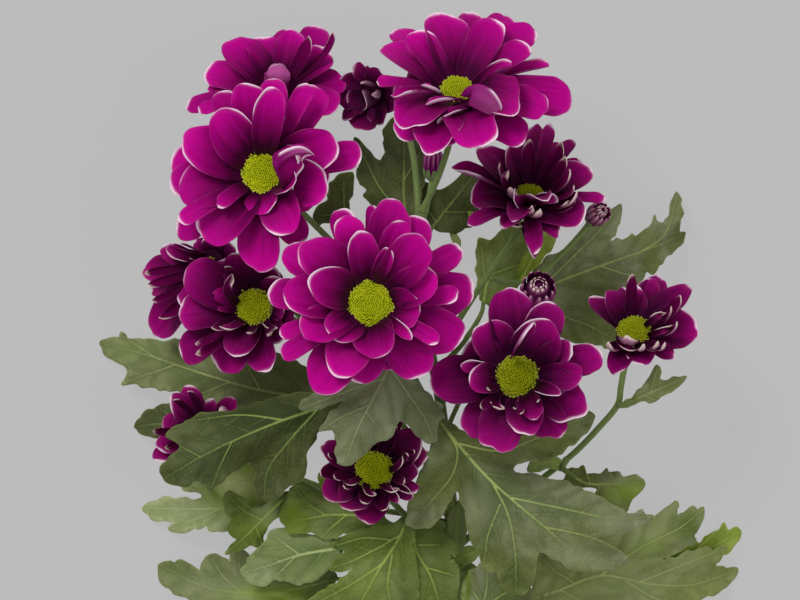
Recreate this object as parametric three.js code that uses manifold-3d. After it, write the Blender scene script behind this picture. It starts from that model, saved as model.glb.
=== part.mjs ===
// A cut spray chrysanthemum lying on its back: one main stem, twelve flower heads on their own
// stalks, three buds and lobed leaves. Millimetres, +Z up, +Y towards the flowers, -Y the cut end.
import * as THREE from 'three';
import { mergeVertices } from 'three/addons/utils/BufferGeometryUtils.js';
import Module from 'manifold-3d';

const wasm = await Module();
wasm.setup();

// ---------- driving dimensions (mm) ----------
const SHIFT = [-7.15, 121.703, 0];          // puts the origin under the middle of the whole spray
const PETAL_T = 0.6;              // ray petal thickness
const LEAF_T = 0.9;               // leaf blade thickness
const GAP = 0.3;                  // clearance kept between neighbouring pieces
const STEM_R_CUT = 3.05;          // main stem radius at the cut end
const STEM_R_TOP = 1.55;          // main stem radius among the flowers
const STALK_R = 1.15;             // flower stalk radius
const PETIOLE_R = 0.95;           // leaf stalk radius
const CUT_ANGLE = 35;             // slant of the cut end, degrees

// main stem axis from the cut end upwards
const MAIN = [[25.8, -345.4, 3.2], [24.4, -285.8, 5], [23, -229.5, 8], [21.8, -173.3, 13], [21.1, -131.3, 18], [20, -103.4, 22], [18.9, -82.4, 27], [16.8, -61.6, 32], [13.6, -34.1, 37], [9.5, -13.6, 40], [5.8, 3.4, 43], [5.8, 16.9, 47], [7.4, 29.7, 54]];
// flower heads: c disc centre, n facing direction, rd disc radius, open 0 full .. 2 half, disc shown or not,
// stalk from the calyx down to the main stem
// ray petals: azimuth, base radius, base height, length, width, base and tip elevation, curl power, cupping,
// roll about the petal's own length, row, kind
const HEADS = [
  { id: '06', c: [-9.76, -0.98, 104], n: [0.03, 0.03, 0.9991], rd: 7.81, open: 0, disc: 1, stalk: [[-8.9, -3, 86], [-6.7, -6.7, 70], [-1.3, -14.8, 55], [6.8, -29.8, 45], [14.8, -44.7, 35.1]],
    pet: [
      [109.3, 4.84, -2.2, 27.7, 8.1, 10, -16, 1, 0.45, 4.3, 0, 0],
      [107, 6.25, -1, 24.3, 9.1, 32, -2, 1, 0.6, 9.3, 1, 0],
      [89.3, 4.84, -2.2, 27.6, 4.2, 10, -16, 1, 0.45, 9.8, 0, 0],
      [75.8, 4.84, -2.2, 30.3, 12.7, 10, -16, 1, 0.45, 10.8, 0, 0],
      [56.3, 4.84, -2.2, 28.6, 10.4, 10, -16, 1, 0.45, 4.5, 0, 0],
      [68.2, 6.25, -1, 23.4, 8.8, 32, -2, 1, 0.6, 10.7, 1, 0],
      [49.2, 7.19, 0.2, 24.5, 14, 55, 12, 1, 0.8, 12.2, 2, 0],
      [30.8, 4.84, -2.2, 30.2, 7.8, 10, -16, 1, 0.45, 10.3, 0, 0],
      [20.5, 7.19, 0.2, 19.7, 12.4, 55, 12, 1, 0.8, 7.9, 2, 0],
      [5.7, 4.84, -2.2, 29.7, 13.7, 10, -16, 1, 0.45, 9.5, 0, 0],
      [5.6, 6.25, -1, 23.8, 6.2, 32, -2, 1, 0.6, 11.2, 1, 0],
      [353.7, 7.19, 0.2, 11.5, 13, 56, 13, 1, 0.8, 13.2, 2, 0],
      [337.8, 4.84, -2.2, 28, 14.3, 10, -16, 1, 0.45, 11, 0, 0],
      [331.8, 6.25, -1, 20.4, 5.5, 32, -2, 1, 0.6, 11.2, 1, 0],
      [307.6, 4.84, -2.2, 24.9, 13, 10, -16, 1, 0.45, 8.6, 0, 0],
      [315.4, 7.65, 0.8, 18.3, 5.9, 70, 40, 1, 2.2, 1.8, 3, 4],
      [278.5, 7.19, 0.2, 14.1, 14, 56, 13, 1, 0.8, 12.6, 2, 0],
      [263.8, 4.84, -2.2, 21.9, 13, 10, -16, 1, 0.45, 4.9, 0, 0],
      [248.1, 6.25, -1, 21.2, 13.7, 32, -2, 1, 0.6, 12.2, 1, 0],
      [238.8, 4.84, -2.2, 29.3, 14.3, 10, -16, 1, 0.45, 6.6, 0, 0],
      [224.4, 7.19, 0.2, 12.2, 12, 56, 13, 1, 0.8, 7.3, 2, 0],
      [206.8, 6.25, -1, 19.5, 12, 32, -2, 1, 0.6, 14, 1, 0],
      [211.5, 4.84, -2.2, 29, 6.5, 10, -16, 1, 0.45, 7.6, 0, 0],
      [198.9, 4.84, -2.2, 26.4, 5.5, 10, -16, 1, 0.45, 10.8, 0, 0],
      [176.4, 6.25, -1, 23.3, 13.7, 32, -2, 1, 0.6, 12.9, 1, 0],
      [173.7, 4.84, -2.2, 28.8, 9.1, 10, -16, 1, 0.45, 6.1, 0, 0],
      [157.9, 7.19, 0.2, 17.7, 13.3, 56, 13, 1, 0.8, 6.1, 2, 0],
      [135.9, 6.25, -1, 24, 14.3, 32, -2, 1, 0.6, 10.8, 1, 0],
      [148.9, 4.84, -2.2, 28.5, 10.4, 10, -16, 1, 0.45, 11.9, 0, 0],
      [100.2, 7.19, 0.2, 19.9, 10.1, 55, 12, 1, 0.8, 10.3, 2, 0],
      [73.2, 7.65, 0.8, 19.7, 6.2, 71, 41, 1, 0.9, 0.5, 3, 0],
    ] },
  { id: '02', c: [-45.16, 41.56, 96], n: [-0.08, -0.02, 0.9966], rd: 6.87, open: 0, disc: 1, stalk: [[-43.1, 39.4, 78], [-32.5, 29.1, 63], [-16.9, 13.5, 53], [9.6, -14, 40]],
    pet: [
      [117.6, 4.26, -2.2, 26, 8.2, 10, -16, 1, 0.45, 11.9, 0, 0],
      [98.9, 5.5, -1, 25.4, 10.8, 32, -2, 1, 0.6, 9.8, 1, 0],
      [82.8, 4.26, -2.2, 27.1, 8.8, 10, -16, 1, 0.45, 11.7, 0, 0],
      [80, 6.32, 0.2, 26.5, 9.8, 54, 11, 1, 0.8, 7.7, 2, 0],
      [61.3, 5.5, -1, 28.8, 6.5, 32, -2, 1, 0.6, 12.7, 1, 0],
      [55.2, 4.26, -2.2, 30, 10.1, 10, -16, 1, 0.45, 4.5, 0, 0],
      [72.5, 6.32, 0.2, 20.1, 5.6, 55, 12, 1, 0.8, 10.7, 2, 0],
      [27, 5.5, -1, 22.7, 13.7, 32, -2, 1, 0.6, 13.3, 1, 0],
      [12.6, 4.26, -2.2, 29, 8.8, 10, -16, 1, 0.45, 7.8, 0, 0],
      [350, 5.5, -1, 18.1, 14.4, 32, -2, 1, 0.6, 8.7, 1, 0],
      [301.3, 5.5, -1, 17.6, 13.1, 32, -2, 1, 0.6, 11.9, 1, 0],
      [298.5, 4.26, -2.2, 22.1, 9.2, 10, -16, 1, 0.45, 9.4, 0, 0],
      [266.9, 4.26, -2.2, 28.2, 12.8, 10, -16, 1, 0.45, 10.5, 0, 0],
      [276.6, 6.32, 0.2, 8.9, 11.1, 56, 13, 1, 0.8, 13.8, 2, 0],
      [233, 5.5, -1, 24.8, 14.7, 32, -2, 1, 0.6, 9.8, 1, 0],
      [214.2, 4.26, -2.2, 31, 9.2, 10, -16, 1, 0.45, 4.3, 0, 0],
      [210.8, 5.5, -1, 26.4, 6.2, 32, -2, 1, 0.6, 10.5, 1, 0],
      [193.1, 5.5, -1, 23.1, 14.4, 32, -2, 1, 0.6, 8.4, 1, 0],
      [184.8, 4.26, -2.2, 26.9, 11.1, 10, -16, 1, 0.45, 11.9, 0, 0],
      [169.4, 4.26, -2.2, 26.7, 11.1, 10, -16, 1, 0.45, 7.1, 0, 0],
      [155.5, 5.5, -1, 23.2, 14.4, 32, -2, 1, 0.6, 6.4, 1, 0],
      [128.1, 6.32, 0.2, 22, 14.4, 55, 12, 1, 0.8, 8.3, 2, 0],
      [217.9, 6.32, 0.2, 13.9, 5.6, 56, 13, 1, 0.8, 13.5, 2, 0],
      [346.7, 6.32, 0.2, 15.1, 13.7, 64, 60, 1, 0.8, 0.1, 2, 5],
      [25.5, 6.74, 0.8, 20.7, 9.8, 35, 113, 1.5, 0.9, 1.4, 3, 2],
    ] },
  { id: '09', c: [38.45, -24.98, 90], n: [-0.02, 0.08, 0.9966], rd: 7.23, open: 1, disc: 1, stalk: [[37.3, -27.9, 73], [32.2, -33.6, 60], [24.4, -43.4, 46], [16.1, -56.1, 33]],
    pet: [
      [98.8, 4.48, -2.2, 25.3, 13.5, 15, -12, 1, 0.45, 10.9, 0, 0],
      [84.1, 4.48, -2.2, 22, 8.5, 15, -12, 1, 0.45, 9.9, 0, 0],
      [63.8, 4.48, -2.2, 22.7, 11.8, 15, -12, 1, 0.45, 10.8, 0, 0],
      [59.4, 5.78, -1, 16.1, 15.1, 37, 2, 1, 0.6, 12.8, 1, 0],
      [29.6, 5.78, -1, 16.1, 8.9, 37, 2, 1, 0.6, 12.9, 1, 0],
      [15.9, 4.48, -2.2, 24.9, 9.5, 15, -12, 1, 0.45, 11.1, 0, 0],
      [357.4, 5.78, -1, 17.1, 8.5, 37, 2, 1, 0.6, 7.6, 1, 0],
      [337.9, 4.48, -2.2, 20.9, 15.1, 15, -12, 1, 0.45, 8.9, 0, 0],
      [332.5, 7.09, 0.8, 18.3, 6.4, 75, 44, 1, 2.2, 5.7, 3, 4],
      [304.5, 4.48, -2.2, 20, 11.2, 15, -12, 1, 0.45, 8.9, 0, 0],
      [283.8, 5.78, -1, 15.6, 11.5, 37, 2, 1, 0.6, 10.7, 1, 0],
      [291.9, 6.65, 0.2, 12.9, 7.9, 61, 17, 1, 0.8, 7.5, 2, 0],
      [276.4, 7.09, 0.8, 14.7, 3, 45, 148, 1.6, 1.1, 8, 3, 1],
      [307.2, 7.09, 0.8, 14.1, 3, 56, 159, 1.6, 1.1, 1.2, 3, 1],
      [252.8, 4.48, -2.2, 21.5, 13.5, 15, -12, 1, 0.45, 10.4, 0, 0],
      [228, 4.48, -2.2, 20.8, 10.5, 15, -12, 1, 0.45, 11.2, 0, 0],
      [223.7, 7.09, 0.8, 16.8, 4.6, 27, 130, 1.6, 1.1, 4.2, 3, 1],
      [185.6, 4.48, -2.2, 24.8, 14.8, 15, -12, 1, 0.45, 9.7, 0, 0],
      [186.4, 6.65, 0.2, 12.2, 10.2, 61, 17, 1, 0.8, 8.2, 2, 0],
      [171.6, 5.78, -1, 14.2, 6.9, 37, 2, 1, 2.2, 6.9, 1, 4],
      [207.2, 7.09, 0.8, 14, 3.3, 59, 162, 1.6, 1.1, 7.4, 3, 1],
      [149.6, 4.48, -2.2, 15.5, 11.5, 15, -12, 1, 0.45, 9.8, 0, 0],
      [123.3, 5.78, -1, 16.3, 13.1, 37, 2, 1, 0.6, 6.9, 1, 0],
    ] },
  { id: '03', c: [18.76, 69.12, 88], n: [0.05, 0.62, 0.783], rd: 6.58, open: 0, disc: 1, stalk: [[17.3, 55.8, 74], [13.4, 42.8, 64], [7.4, 29.7, 54]],
    pet: [
      [97.9, 5.27, -1, 25.7, 14.5, 32, -2, 1, 0.6, 8.1, 1, 0],
      [82.3, 4.08, -2.2, 32.9, 9.2, 10, -16, 1, 0.45, 4.9, 0, 0],
      [63.6, 5.27, -1, 24.1, 13.2, 32, -2, 1, 0.6, 8.4, 1, 0],
      [66.2, 4.08, -2.2, 39.2, 8.9, 11, -15, 1, 0.45, 10.8, 0, 0],
      [51.8, 4.08, -2.2, 35.5, 13.2, 11, -15, 1, 0.45, 5.2, 0, 0],
      [34.6, 5.27, -1, 25.1, 7.9, 32, -2, 1, 0.6, 11.4, 1, 0],
      [16.4, 6.06, 0.2, 15.2, 4.9, 55, 12, 1, 2.2, 9.3, 2, 4],
      [28.3, 4.08, -2.2, 31.1, 5.4, 10, -16, 1, 2.2, 7.3, 0, 4],
      [3, 4.08, -2.2, 34.6, 13.2, 10, -16, 1, 0.45, 9.5, 0, 0],
      [341.4, 5.27, -1, 27.7, 11.2, 32, -2, 1, 0.6, 8.6, 1, 0],
      [327.8, 6.06, 0.2, 24.1, 14.8, 54, 11, 1, 0.8, 7.6, 2, 0],
      [301.4, 6.45, 0.8, 19.5, 11.8, 25, 103, 1.5, 0.9, 3.6, 3, 2],
      [316.1, 4.08, -2.2, 24.4, 11.2, 10, -16, 1, 0.45, 6.9, 0, 0],
      [274.1, 5.27, -1, 27.8, 15.1, 32, -2, 1, 0.6, 8.3, 1, 0],
      [254.8, 5.27, -1, 29.6, 13.8, 32, -2, 1, 0.6, 10.2, 1, 0],
      [223.5, 4.08, -2.2, 22.3, 10.5, 10, -16, 1, 0.45, 11.2, 0, 0],
      [211.5, 5.27, -1, 26.1, 14.5, 32, -2, 1, 0.6, 10.5, 1, 0],
      [180.3, 5.27, -1, 22.4, 5.6, 32, -2, 1, 0.6, 11.3, 1, 0],
      [213.8, 6.06, 0.2, 24.3, 4.4, 52, 9, 1, 2.2, 6, 2, 4],
      [208.8, 6.45, 0.8, 15, 3.9, 28, 131, 1.6, 1.1, 2.3, 3, 1],
      [231.2, 6.45, 0.8, 16.7, 3.6, 6, 109, 1.6, 1.1, 2.2, 3, 1],
      [252.2, 6.45, 0.8, 20.5, 3.9, -3, 100, 1.6, 1.1, 0.3, 3, 1],
      [274.3, 6.45, 0.8, 15.1, 3.6, 14, 117, 1.6, 1.1, 5.3, 3, 1],
      [140.7, 4.08, -2.2, 27.5, 12.2, 10, -16, 1, 0.45, 7.5, 0, 0],
      [123.9, 4.08, -2.2, 33.2, 8.9, 10, -16, 1, 0.45, 6.8, 0, 0],
      [131.4, 5.27, -1, 20.4, 10.2, 32, -2, 1, 0.6, 6.6, 1, 0],
    ] },
  { id: '11', c: [-8.69, -56.83, 66], n: [0, 0.02, 0.9998], rd: 6.69, open: 1, disc: 1, stalk: [[-8.4, -59.7, 52], [-4.1, -66.6, 42], [4.1, -75.9, 33], [19.3, -90.1, 25.2]],
    pet: [
      [67.9, 5.35, -1, 17.2, 7, 37, 2, 1, 2.2, 9.8, 1, 4],
      [63, 6.55, 0.8, 17.4, 3, 24, 127, 1.6, 1.1, 0.7, 3, 1],
      [40.2, 4.14, -2.2, 16.2, 11.4, 15, -12, 1, 0.45, 7.9, 0, 0],
      [17.4, 4.14, -2.2, 14.9, 7.7, 15, -12, 1, 0.45, 9.1, 0, 0],
      [26.5, 6.55, 0.8, 16.3, 3, 31, 134, 1.6, 1.1, 7.4, 3, 1],
      [25.7, 6.55, 0.8, 14.8, 3.3, 45, 148, 1.6, 1.1, 6.3, 3, 1],
      [357.3, 4.14, -2.2, 10.7, 8, 15, -12, 1, 0.45, 7.2, 0, 0],
      [340.9, 6.55, 0.8, 14.2, 4.3, 56, 159, 1.6, 1.1, 0.2, 3, 1],
      [335.9, 4.14, -2.2, 12.5, 7, 15, -12, 1, 2.2, 7.7, 0, 4],
      [325.9, 4.14, -2.2, 12.1, 7, 15, -12, 1, 2.2, 9.8, 0, 4],
      [306.2, 5.35, -1, 8.9, 5.5, 37, 2, 1, 2.2, 12.3, 1, 4],
      [285.3, 5.35, -1, 16.2, 6.7, 33, 136, 1.6, 1.1, 2.3, 1, 1],
      [253.5, 6.15, 0.2, 14.5, 5.7, 50, 153, 1.6, 1.1, 6.7, 2, 1],
      [261.6, 4.14, -2.2, 14.3, 12.4, 15, -12, 1, 0.45, 6.3, 0, 0],
      [232.5, 4.14, -2.2, 12.5, 11.4, 15, -12, 1, 0.45, 5.2, 0, 0],
      [203, 4.14, -2.2, 14.9, 11.4, 15, -12, 1, 0.45, 6.4, 0, 0],
      [181.9, 5.35, -1, 19.8, 6.7, 14, 117, 1.6, 1.1, 7.3, 1, 1],
      [189.1, 6.55, 0.8, 15.3, 4.7, 40, 143, 1.6, 1.1, 2.7, 3, 1],
      [209.4, 6.15, 0.2, 14.5, 4.7, 50, 153, 1.6, 1.1, 0.7, 2, 1],
      [160.4, 6.55, 0.8, 17.2, 3.3, 26, 129, 1.6, 1.1, 6.5, 3, 1],
      [156.2, 5.35, -1, 15.8, 8.4, 37, 2, 1, 0.6, 14, 1, 0],
      [136.7, 4.14, -2.2, 13.5, 6, 15, -12, 1, 2.2, 9.8, 0, 4],
      [113.8, 4.14, -2.2, 14.2, 8.7, 15, -12, 1, 0.45, 5.5, 0, 0],
      [90, 4.14, -2.2, 13.3, 8.7, 15, -12, 1, 0.45, 11.3, 0, 0],
      [74, 5.35, -1, 10, 7.4, 37, 2, 1, 0.6, 7, 1, 0],
    ] },
  { id: '05', c: [43.33, 34.67, 70], n: [0.06, 0.66, 0.7489], rd: 5, open: 2, disc: 1, stalk: [[40, 22.8, 59], [33.7, 14.2, 53], [26.4, 3.4, 48], [17.6, -10.2, 44], [10.6, -19.1, 39.2]],
    pet: [
      [84.2, 3.1, -2.2, 29.3, 10.7, 22, -6, 1, 0.45, 9.5, 0, 0],
      [75.9, 3.1, -2.2, 28.6, 4.7, 22, -6, 1, 0.45, 8.6, 0, 0],
      [68.7, 3.1, -2.2, 24.6, 8, 22, -6, 1, 0.45, 9.6, 0, 0],
      [58.3, 3.1, -2.2, 25.2, 4.7, 22, -6, 1, 0.45, 4.1, 0, 0],
      [46, 3.1, -2.2, 22.5, 6, 22, -6, 1, 0.45, 8.4, 0, 0],
      [29.2, 3.1, -2.2, 21, 10.7, 22, -6, 1, 0.45, 9.7, 0, 0],
      [1.2, 3.1, -2.2, 22.7, 4.3, 22, -6, 1, 0.45, 7.5, 0, 0],
      [322.8, 3.1, -2.2, 19, 14, 23, -5, 1, 0.45, 4.7, 0, 0],
      [271.1, 3.1, -2.2, 27.2, 6, 22, -6, 1, 0.45, 10.4, 0, 0],
      [222.4, 3.1, -2.2, 25.9, 5.7, 22, -6, 1, 0.45, 7.2, 0, 0],
      [173.4, 3.1, -2.2, 17.4, 12, 22, -6, 1, 0.45, 11.6, 0, 0],
      [158.8, 3.1, -2.2, 25.4, 7, 22, -6, 1, 2.2, 4.3, 0, 4],
      [133.1, 3.1, -2.2, 19.5, 10, 22, -6, 1, 0.45, 8.6, 0, 0],
      [113.2, 4, -1, 15.1, 8.7, 44, 8, 1, 0.6, 11.8, 1, 0],
      [96.8, 4.6, 0.2, 17.5, 5.7, 45, 148, 1.6, 1.1, 2.9, 2, 1],
      [170.8, 4.9, 0.8, 15.2, 4.3, 42, 145, 1.6, 1.1, 5, 3, 1],
      [47.4, 4, -1, 20.7, 7.3, 34, 137, 1.6, 1.1, 4.8, 1, 1],
      [24.4, 4.6, 0.2, 16.8, 6.3, 41, 144, 1.6, 1.1, 4.3, 2, 1],
      [359.2, 4.9, 0.8, 16, 5.7, 37, 140, 1.6, 1.1, 6.6, 3, 1],
      [336.5, 4.9, 0.8, 16.7, 3, 20, 123, 1.6, 1.1, 5.6, 3, 1],
      [278.6, 4.6, 0.2, 25.4, 8, 76, 31, 1, 0.8, 7.6, 2, 0],
      [223.9, 4.6, 0.2, 13.5, 6.7, 42, 145, 1.6, 1.1, 5.9, 2, 1],
      [267.8, 4.9, 0.8, 15, 4.7, 14, 117, 1.6, 1.1, 0.7, 3, 1],
      [253.4, 4, -1, 21.4, 8.7, 46, 10, 1, 0.6, 6.9, 1, 0],
      [278.3, 4, -1, 16.8, 6, 1, 104, 1.6, 1.1, 6, 1, 1],
      [334, 4, -1, 19.2, 8, 4, 107, 1.6, 1.1, 8, 1, 1],
      [294.6, 3.1, -2.2, 17, 7.3, 23, -5, 1, 0.45, 9, 0, 0],
      [234.1, 3.1, -2.2, 14.7, 7.3, 23, -5, 1, 0.45, 4.5, 0, 0],
    ] },
  { id: '07', c: [-48.73, -2.34, 68], n: [-0.3, 0.02, 0.9537], rd: 6.34, open: 1, disc: 1, stalk: [[-41.1, -4, 55], [-28.8, -10.8, 47], [-11.9, -23.8, 39], [3.4, -40.1, 31], [15.7, -52.6, 33.6]],
    pet: [
      [183, 5.07, -1, 21.3, 12, 37, 2, 1, 0.6, 13.7, 1, 0],
      [151.9, 5.07, -1, 21.4, 13.4, 37, 2, 1, 0.6, 11.1, 1, 0],
      [104.2, 5.07, -1, 14.9, 11.7, 37, 2, 1, 0.6, 12.9, 1, 0],
      [129.5, 3.93, -2.2, 16.8, 8, 15, -12, 1, 0.45, 6.1, 0, 0],
      [67.4, 3.93, -2.2, 11, 8.3, 15, -12, 1, 0.45, 6.5, 0, 0],
      [111.5, 6.22, 0.8, 16.5, 3.7, 35, 138, 1.6, 1.1, 0.3, 3, 1],
      [164.4, 5.83, 0.2, 10, 8.3, 60, 16, 1, 0.8, 7.2, 2, 0],
      [172.5, 3.93, -2.2, 23.5, 9, 15, -12, 1, 0.45, 11, 0, 0],
      [203.4, 3.93, -2.2, 22.1, 9, 15, -12, 1, 0.45, 6.2, 0, 0],
      [213.7, 3.93, -2.2, 26.9, 11, 15, -12, 1, 0.45, 10.9, 0, 0],
      [227.1, 5.07, -1, 26, 6, -3, 100, 1.6, 1.1, 3.5, 1, 1],
      [219.9, 6.22, 0.8, 21.9, 3.3, 17, 120, 1.6, 1.1, 3.4, 3, 1],
      [239.3, 3.93, -2.2, 21.1, 15, 15, -12, 1, 0.45, 10.1, 0, 0],
      [257.7, 5.07, -1, 13.4, 11.7, 37, 2, 1, 0.6, 11.3, 1, 0],
      [280.5, 3.93, -2.2, 18.3, 10.3, 15, -12, 1, 0.45, 10.5, 0, 0],
      [217.7, 6.22, 0.8, 15.3, 5, 46, 149, 1.6, 1.1, 3.5, 3, 1],
      [285.9, 6.22, 0.8, 14, 3.7, 64, 167, 1.6, 1.1, 2.6, 3, 1],
      [315.2, 6.22, 0.8, 14.9, 3.7, 36, 139, 1.6, 1.1, 7.6, 3, 1],
      [311, 3.93, -2.2, 10.8, 8.3, 15, -12, 1, 0.45, 11.3, 0, 0],
      [1.5, 3.93, -2.2, 7, 8, 28, 1, 1, 0.45, 8.7, 0, 0],
      [43.2, 3.93, -2.2, 9.3, 8, 15, -12, 1, 0.45, 4.4, 0, 0],
      [92.6, 3.93, -2.2, 11.3, 8, 15, -12, 1, 0.45, 5.5, 0, 0],
    ] },
  { id: '10', c: [78.33, -10.38, 64], n: [0.02, 0.62, 0.7843], rd: 6.03, open: 2, disc: 1, stalk: [[76.2, -20.9, 54], [74.7, -29.1, 50], [73.8, -35.2, 47], [67.9, -42.8, 44], [59.5, -51.7, 41], [49.4, -60, 38], [35.9, -71.1, 34], [19, -85.2, 26.3]],
    pet: [
      [140.1, 3.74, -2.2, 16.2, 7.7, 22, -6, 1, 0.45, 6.9, 0, 0],
      [129.9, 4.82, -1, 12.1, 9, 44, 8, 1, 0.6, 9.9, 1, 0],
      [97.8, 3.74, -2.2, 16.5, 8, 21, -7, 1, 0.45, 11.6, 0, 0],
      [95.7, 5.54, 0.2, 17.2, 4.4, 44, 147, 1.6, 1.1, 1.3, 2, 1],
      [73.4, 3.74, -2.2, 19.3, 9.4, 21, -7, 1, 0.45, 7.9, 0, 0],
      [65.2, 3.74, -2.2, 22.7, 9.7, 22, -6, 1, 0.45, 11.4, 0, 0],
      [41.5, 3.74, -2.2, 22.6, 8.4, 22, -6, 1, 0.45, 10.2, 0, 0],
      [3.4, 3.74, -2.2, 18.8, 15.4, 22, -6, 1, 0.45, 7.9, 0, 0],
      [18.2, 4.82, -1, 19.5, 6.7, 26, 129, 1.6, 1.1, 2.8, 1, 1],
      [358.9, 5.9, 0.8, 14.8, 3.7, 47, 150, 1.6, 1.1, 1.1, 3, 1],
      [336.7, 5.9, 0.8, 16, 4.4, 27, 130, 1.6, 1.1, 2.3, 3, 1],
      [304.7, 5.9, 0.8, 16.2, 3.3, 13, 116, 1.6, 1.1, 6.5, 3, 1],
      [321.4, 3.74, -2.2, 13.6, 6.4, 23, -5, 1, 0.45, 7.4, 0, 0],
      [286.3, 3.74, -2.2, 11.5, 10, 23, -5, 1, 0.45, 11.1, 0, 0],
      [253.3, 5.54, 0.2, 13.5, 8.7, 40, 143, 1.6, 1.1, 2, 2, 1],
      [246.3, 3.74, -2.2, 16.4, 7.7, 23, -5, 1, 0.45, 4.1, 0, 0],
      [231.7, 4.82, -1, 16.6, 5.7, 8, 111, 1.6, 1.1, 0.6, 1, 1],
      [277.7, 5.9, 0.8, 14.6, 3.7, 23, 126, 1.6, 1.1, 4.3, 3, 1],
      [297.1, 5.9, 0.8, 15.1, 3.7, 21, 124, 1.6, 1.1, 1.2, 3, 1],
      [86.7, 4.82, -1, 13.2, 7.4, 44, 8, 1, 0.6, 7.4, 1, 0],
    ] },
  { id: '04', c: [-9.8, 69.63, 50], n: [-0.45, -0.12, 0.8849], rd: 4.06, open: 2, disc: 0, stalk: [[-0.7, 65.3, 42], [4.1, 51, 42], [5.8, 36.7, 44], [6.2, 20.3, 48.8]],
    pet: [
      [176.9, 2.51, -2.2, 11.8, 11.5, 22, -6, 1, 0.45, 11.4, 0, 0],
      [121.1, 2.51, -2.2, 9.6, 5.1, 22, -6, 1, 0.45, 11.9, 0, 0],
      [102.8, 2.51, -2.2, 7.2, 5.1, 22, -6, 1, 0.45, 7.4, 0, 0],
      [73.4, 2.51, -2.2, 7, 6.8, 26, -2, 1, 0.45, 10.7, 0, 0],
      [248.4, 2.51, -2.2, 11.1, 12.8, 22, -6, 1, 0.45, 11.4, 0, 0],
      [221.2, 2.51, -2.2, 11.8, 4.7, 22, -6, 1, 0.45, 8.1, 0, 0],
      [347.9, 3.73, 0.2, 30, 6.8, 98, 53, 1, 0.8, 9.8, 2, 0],
      [209.8, 3.24, -1, 7, 8.1, 31, -5, 1, 0.6, 8.6, 1, 0],
      [51.9, 3.97, 0.8, 14.5, 3.7, 71, 174, 1.6, 1.1, 2.6, 3, 1],
      [7.2, 3.97, 0.8, 13.9, 3.7, 60, 163, 1.6, 1.1, 6.4, 3, 1],
      [31.4, 2.51, -2.2, 7.2, 7.4, 22, -6, 1, 0.45, 4.1, 0, 0],
      [342.3, 2.51, -2.2, 7.8, 8.1, 22, -6, 1, 0.45, 6.1, 0, 0],
      [295.6, 2.51, -2.2, 8.8, 8.1, 22, -6, 1, 0.45, 7.7, 0, 0],
    ] },
  { id: '01', c: [-41.24, 71.66, 50], n: [-0.03, 0.52, 0.8536], rd: 6.08, open: 0, disc: 1, stalk: [[-39.2, 59.9, 39], [-26.6, 39.6, 37], [-10.2, 16.4, 38], [6.9, -1.7, 42.1]],
    pet: [
      [164.5, 3.77, -2.2, 22.5, 10.5, 10, -16, 1, 0.45, 6.1, 0, 0],
      [139.8, 4.87, -1, 19.2, 13.5, 32, -2, 1, 0.6, 8.1, 1, 0],
      [109.7, 4.87, -1, 16.5, 11.5, 32, -2, 1, 0.6, 10.7, 1, 0],
      [85.6, 3.77, -2.2, 24.2, 9.1, 10, -16, 1, 0.45, 9.3, 0, 0],
      [75.3, 4.87, -1, 16.9, 8.4, 32, -2, 1, 0.6, 11.8, 1, 0],
      [44.4, 5.6, 0.2, 19, 5.7, 31, 134, 1.6, 1.1, 7.1, 2, 1],
      [60.2, 3.77, -2.2, 25.6, 8.8, 10, -16, 1, 0.45, 11.7, 0, 0],
      [36, 4.87, -1, 17.8, 9.5, 32, -2, 1, 0.6, 7.4, 1, 0],
      [29.7, 5.6, 0.2, 26, 3, 4, 107, 1.6, 1.1, 5, 2, 1],
      [192.9, 3.77, -2.2, 28.2, 6.8, 10, -16, 1, 0.45, 8.7, 0, 0],
      [205, 4.87, -1, 25.1, 5.7, 32, -2, 1, 0.6, 8.7, 1, 0],
      [172.5, 3.77, -2.2, 20.6, 6.8, 10, -16, 1, 0.45, 7.7, 0, 0],
      [89.6, 5.96, 0.8, 13.2, 8.1, 76, 186, 1.2, 1.3, 2.2, 3, 3],
      [12.6, 3.77, -2.2, 19.5, 8.8, 10, -16, 1, 0.45, 8.5, 0, 0],
      [338.2, 3.77, -2.2, 18.2, 9.5, 10, -16, 1, 0.45, 11, 0, 0],
      [296, 3.77, -2.2, 13.4, 10.1, 11, -15, 1, 0.45, 4.5, 0, 0],
      [251.5, 3.77, -2.2, 13.1, 10.1, 11, -15, 1, 0.45, 11.3, 0, 0],
      [219.5, 3.77, -2.2, 18.2, 10.1, 10, -16, 1, 0.45, 7, 0, 0],
    ] },
  { id: '08', c: [-63.72, 12.2, 46], n: [-0.62, -0.12, 0.7754], rd: 5.08, open: 2, disc: 0, stalk: [[-53.9, 10.6, 36], [-39.4, -0.7, 32], [-18.9, -21.3, 29], [1.7, -43.9, 29], [17.1, -65.1, 31.2]],
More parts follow.
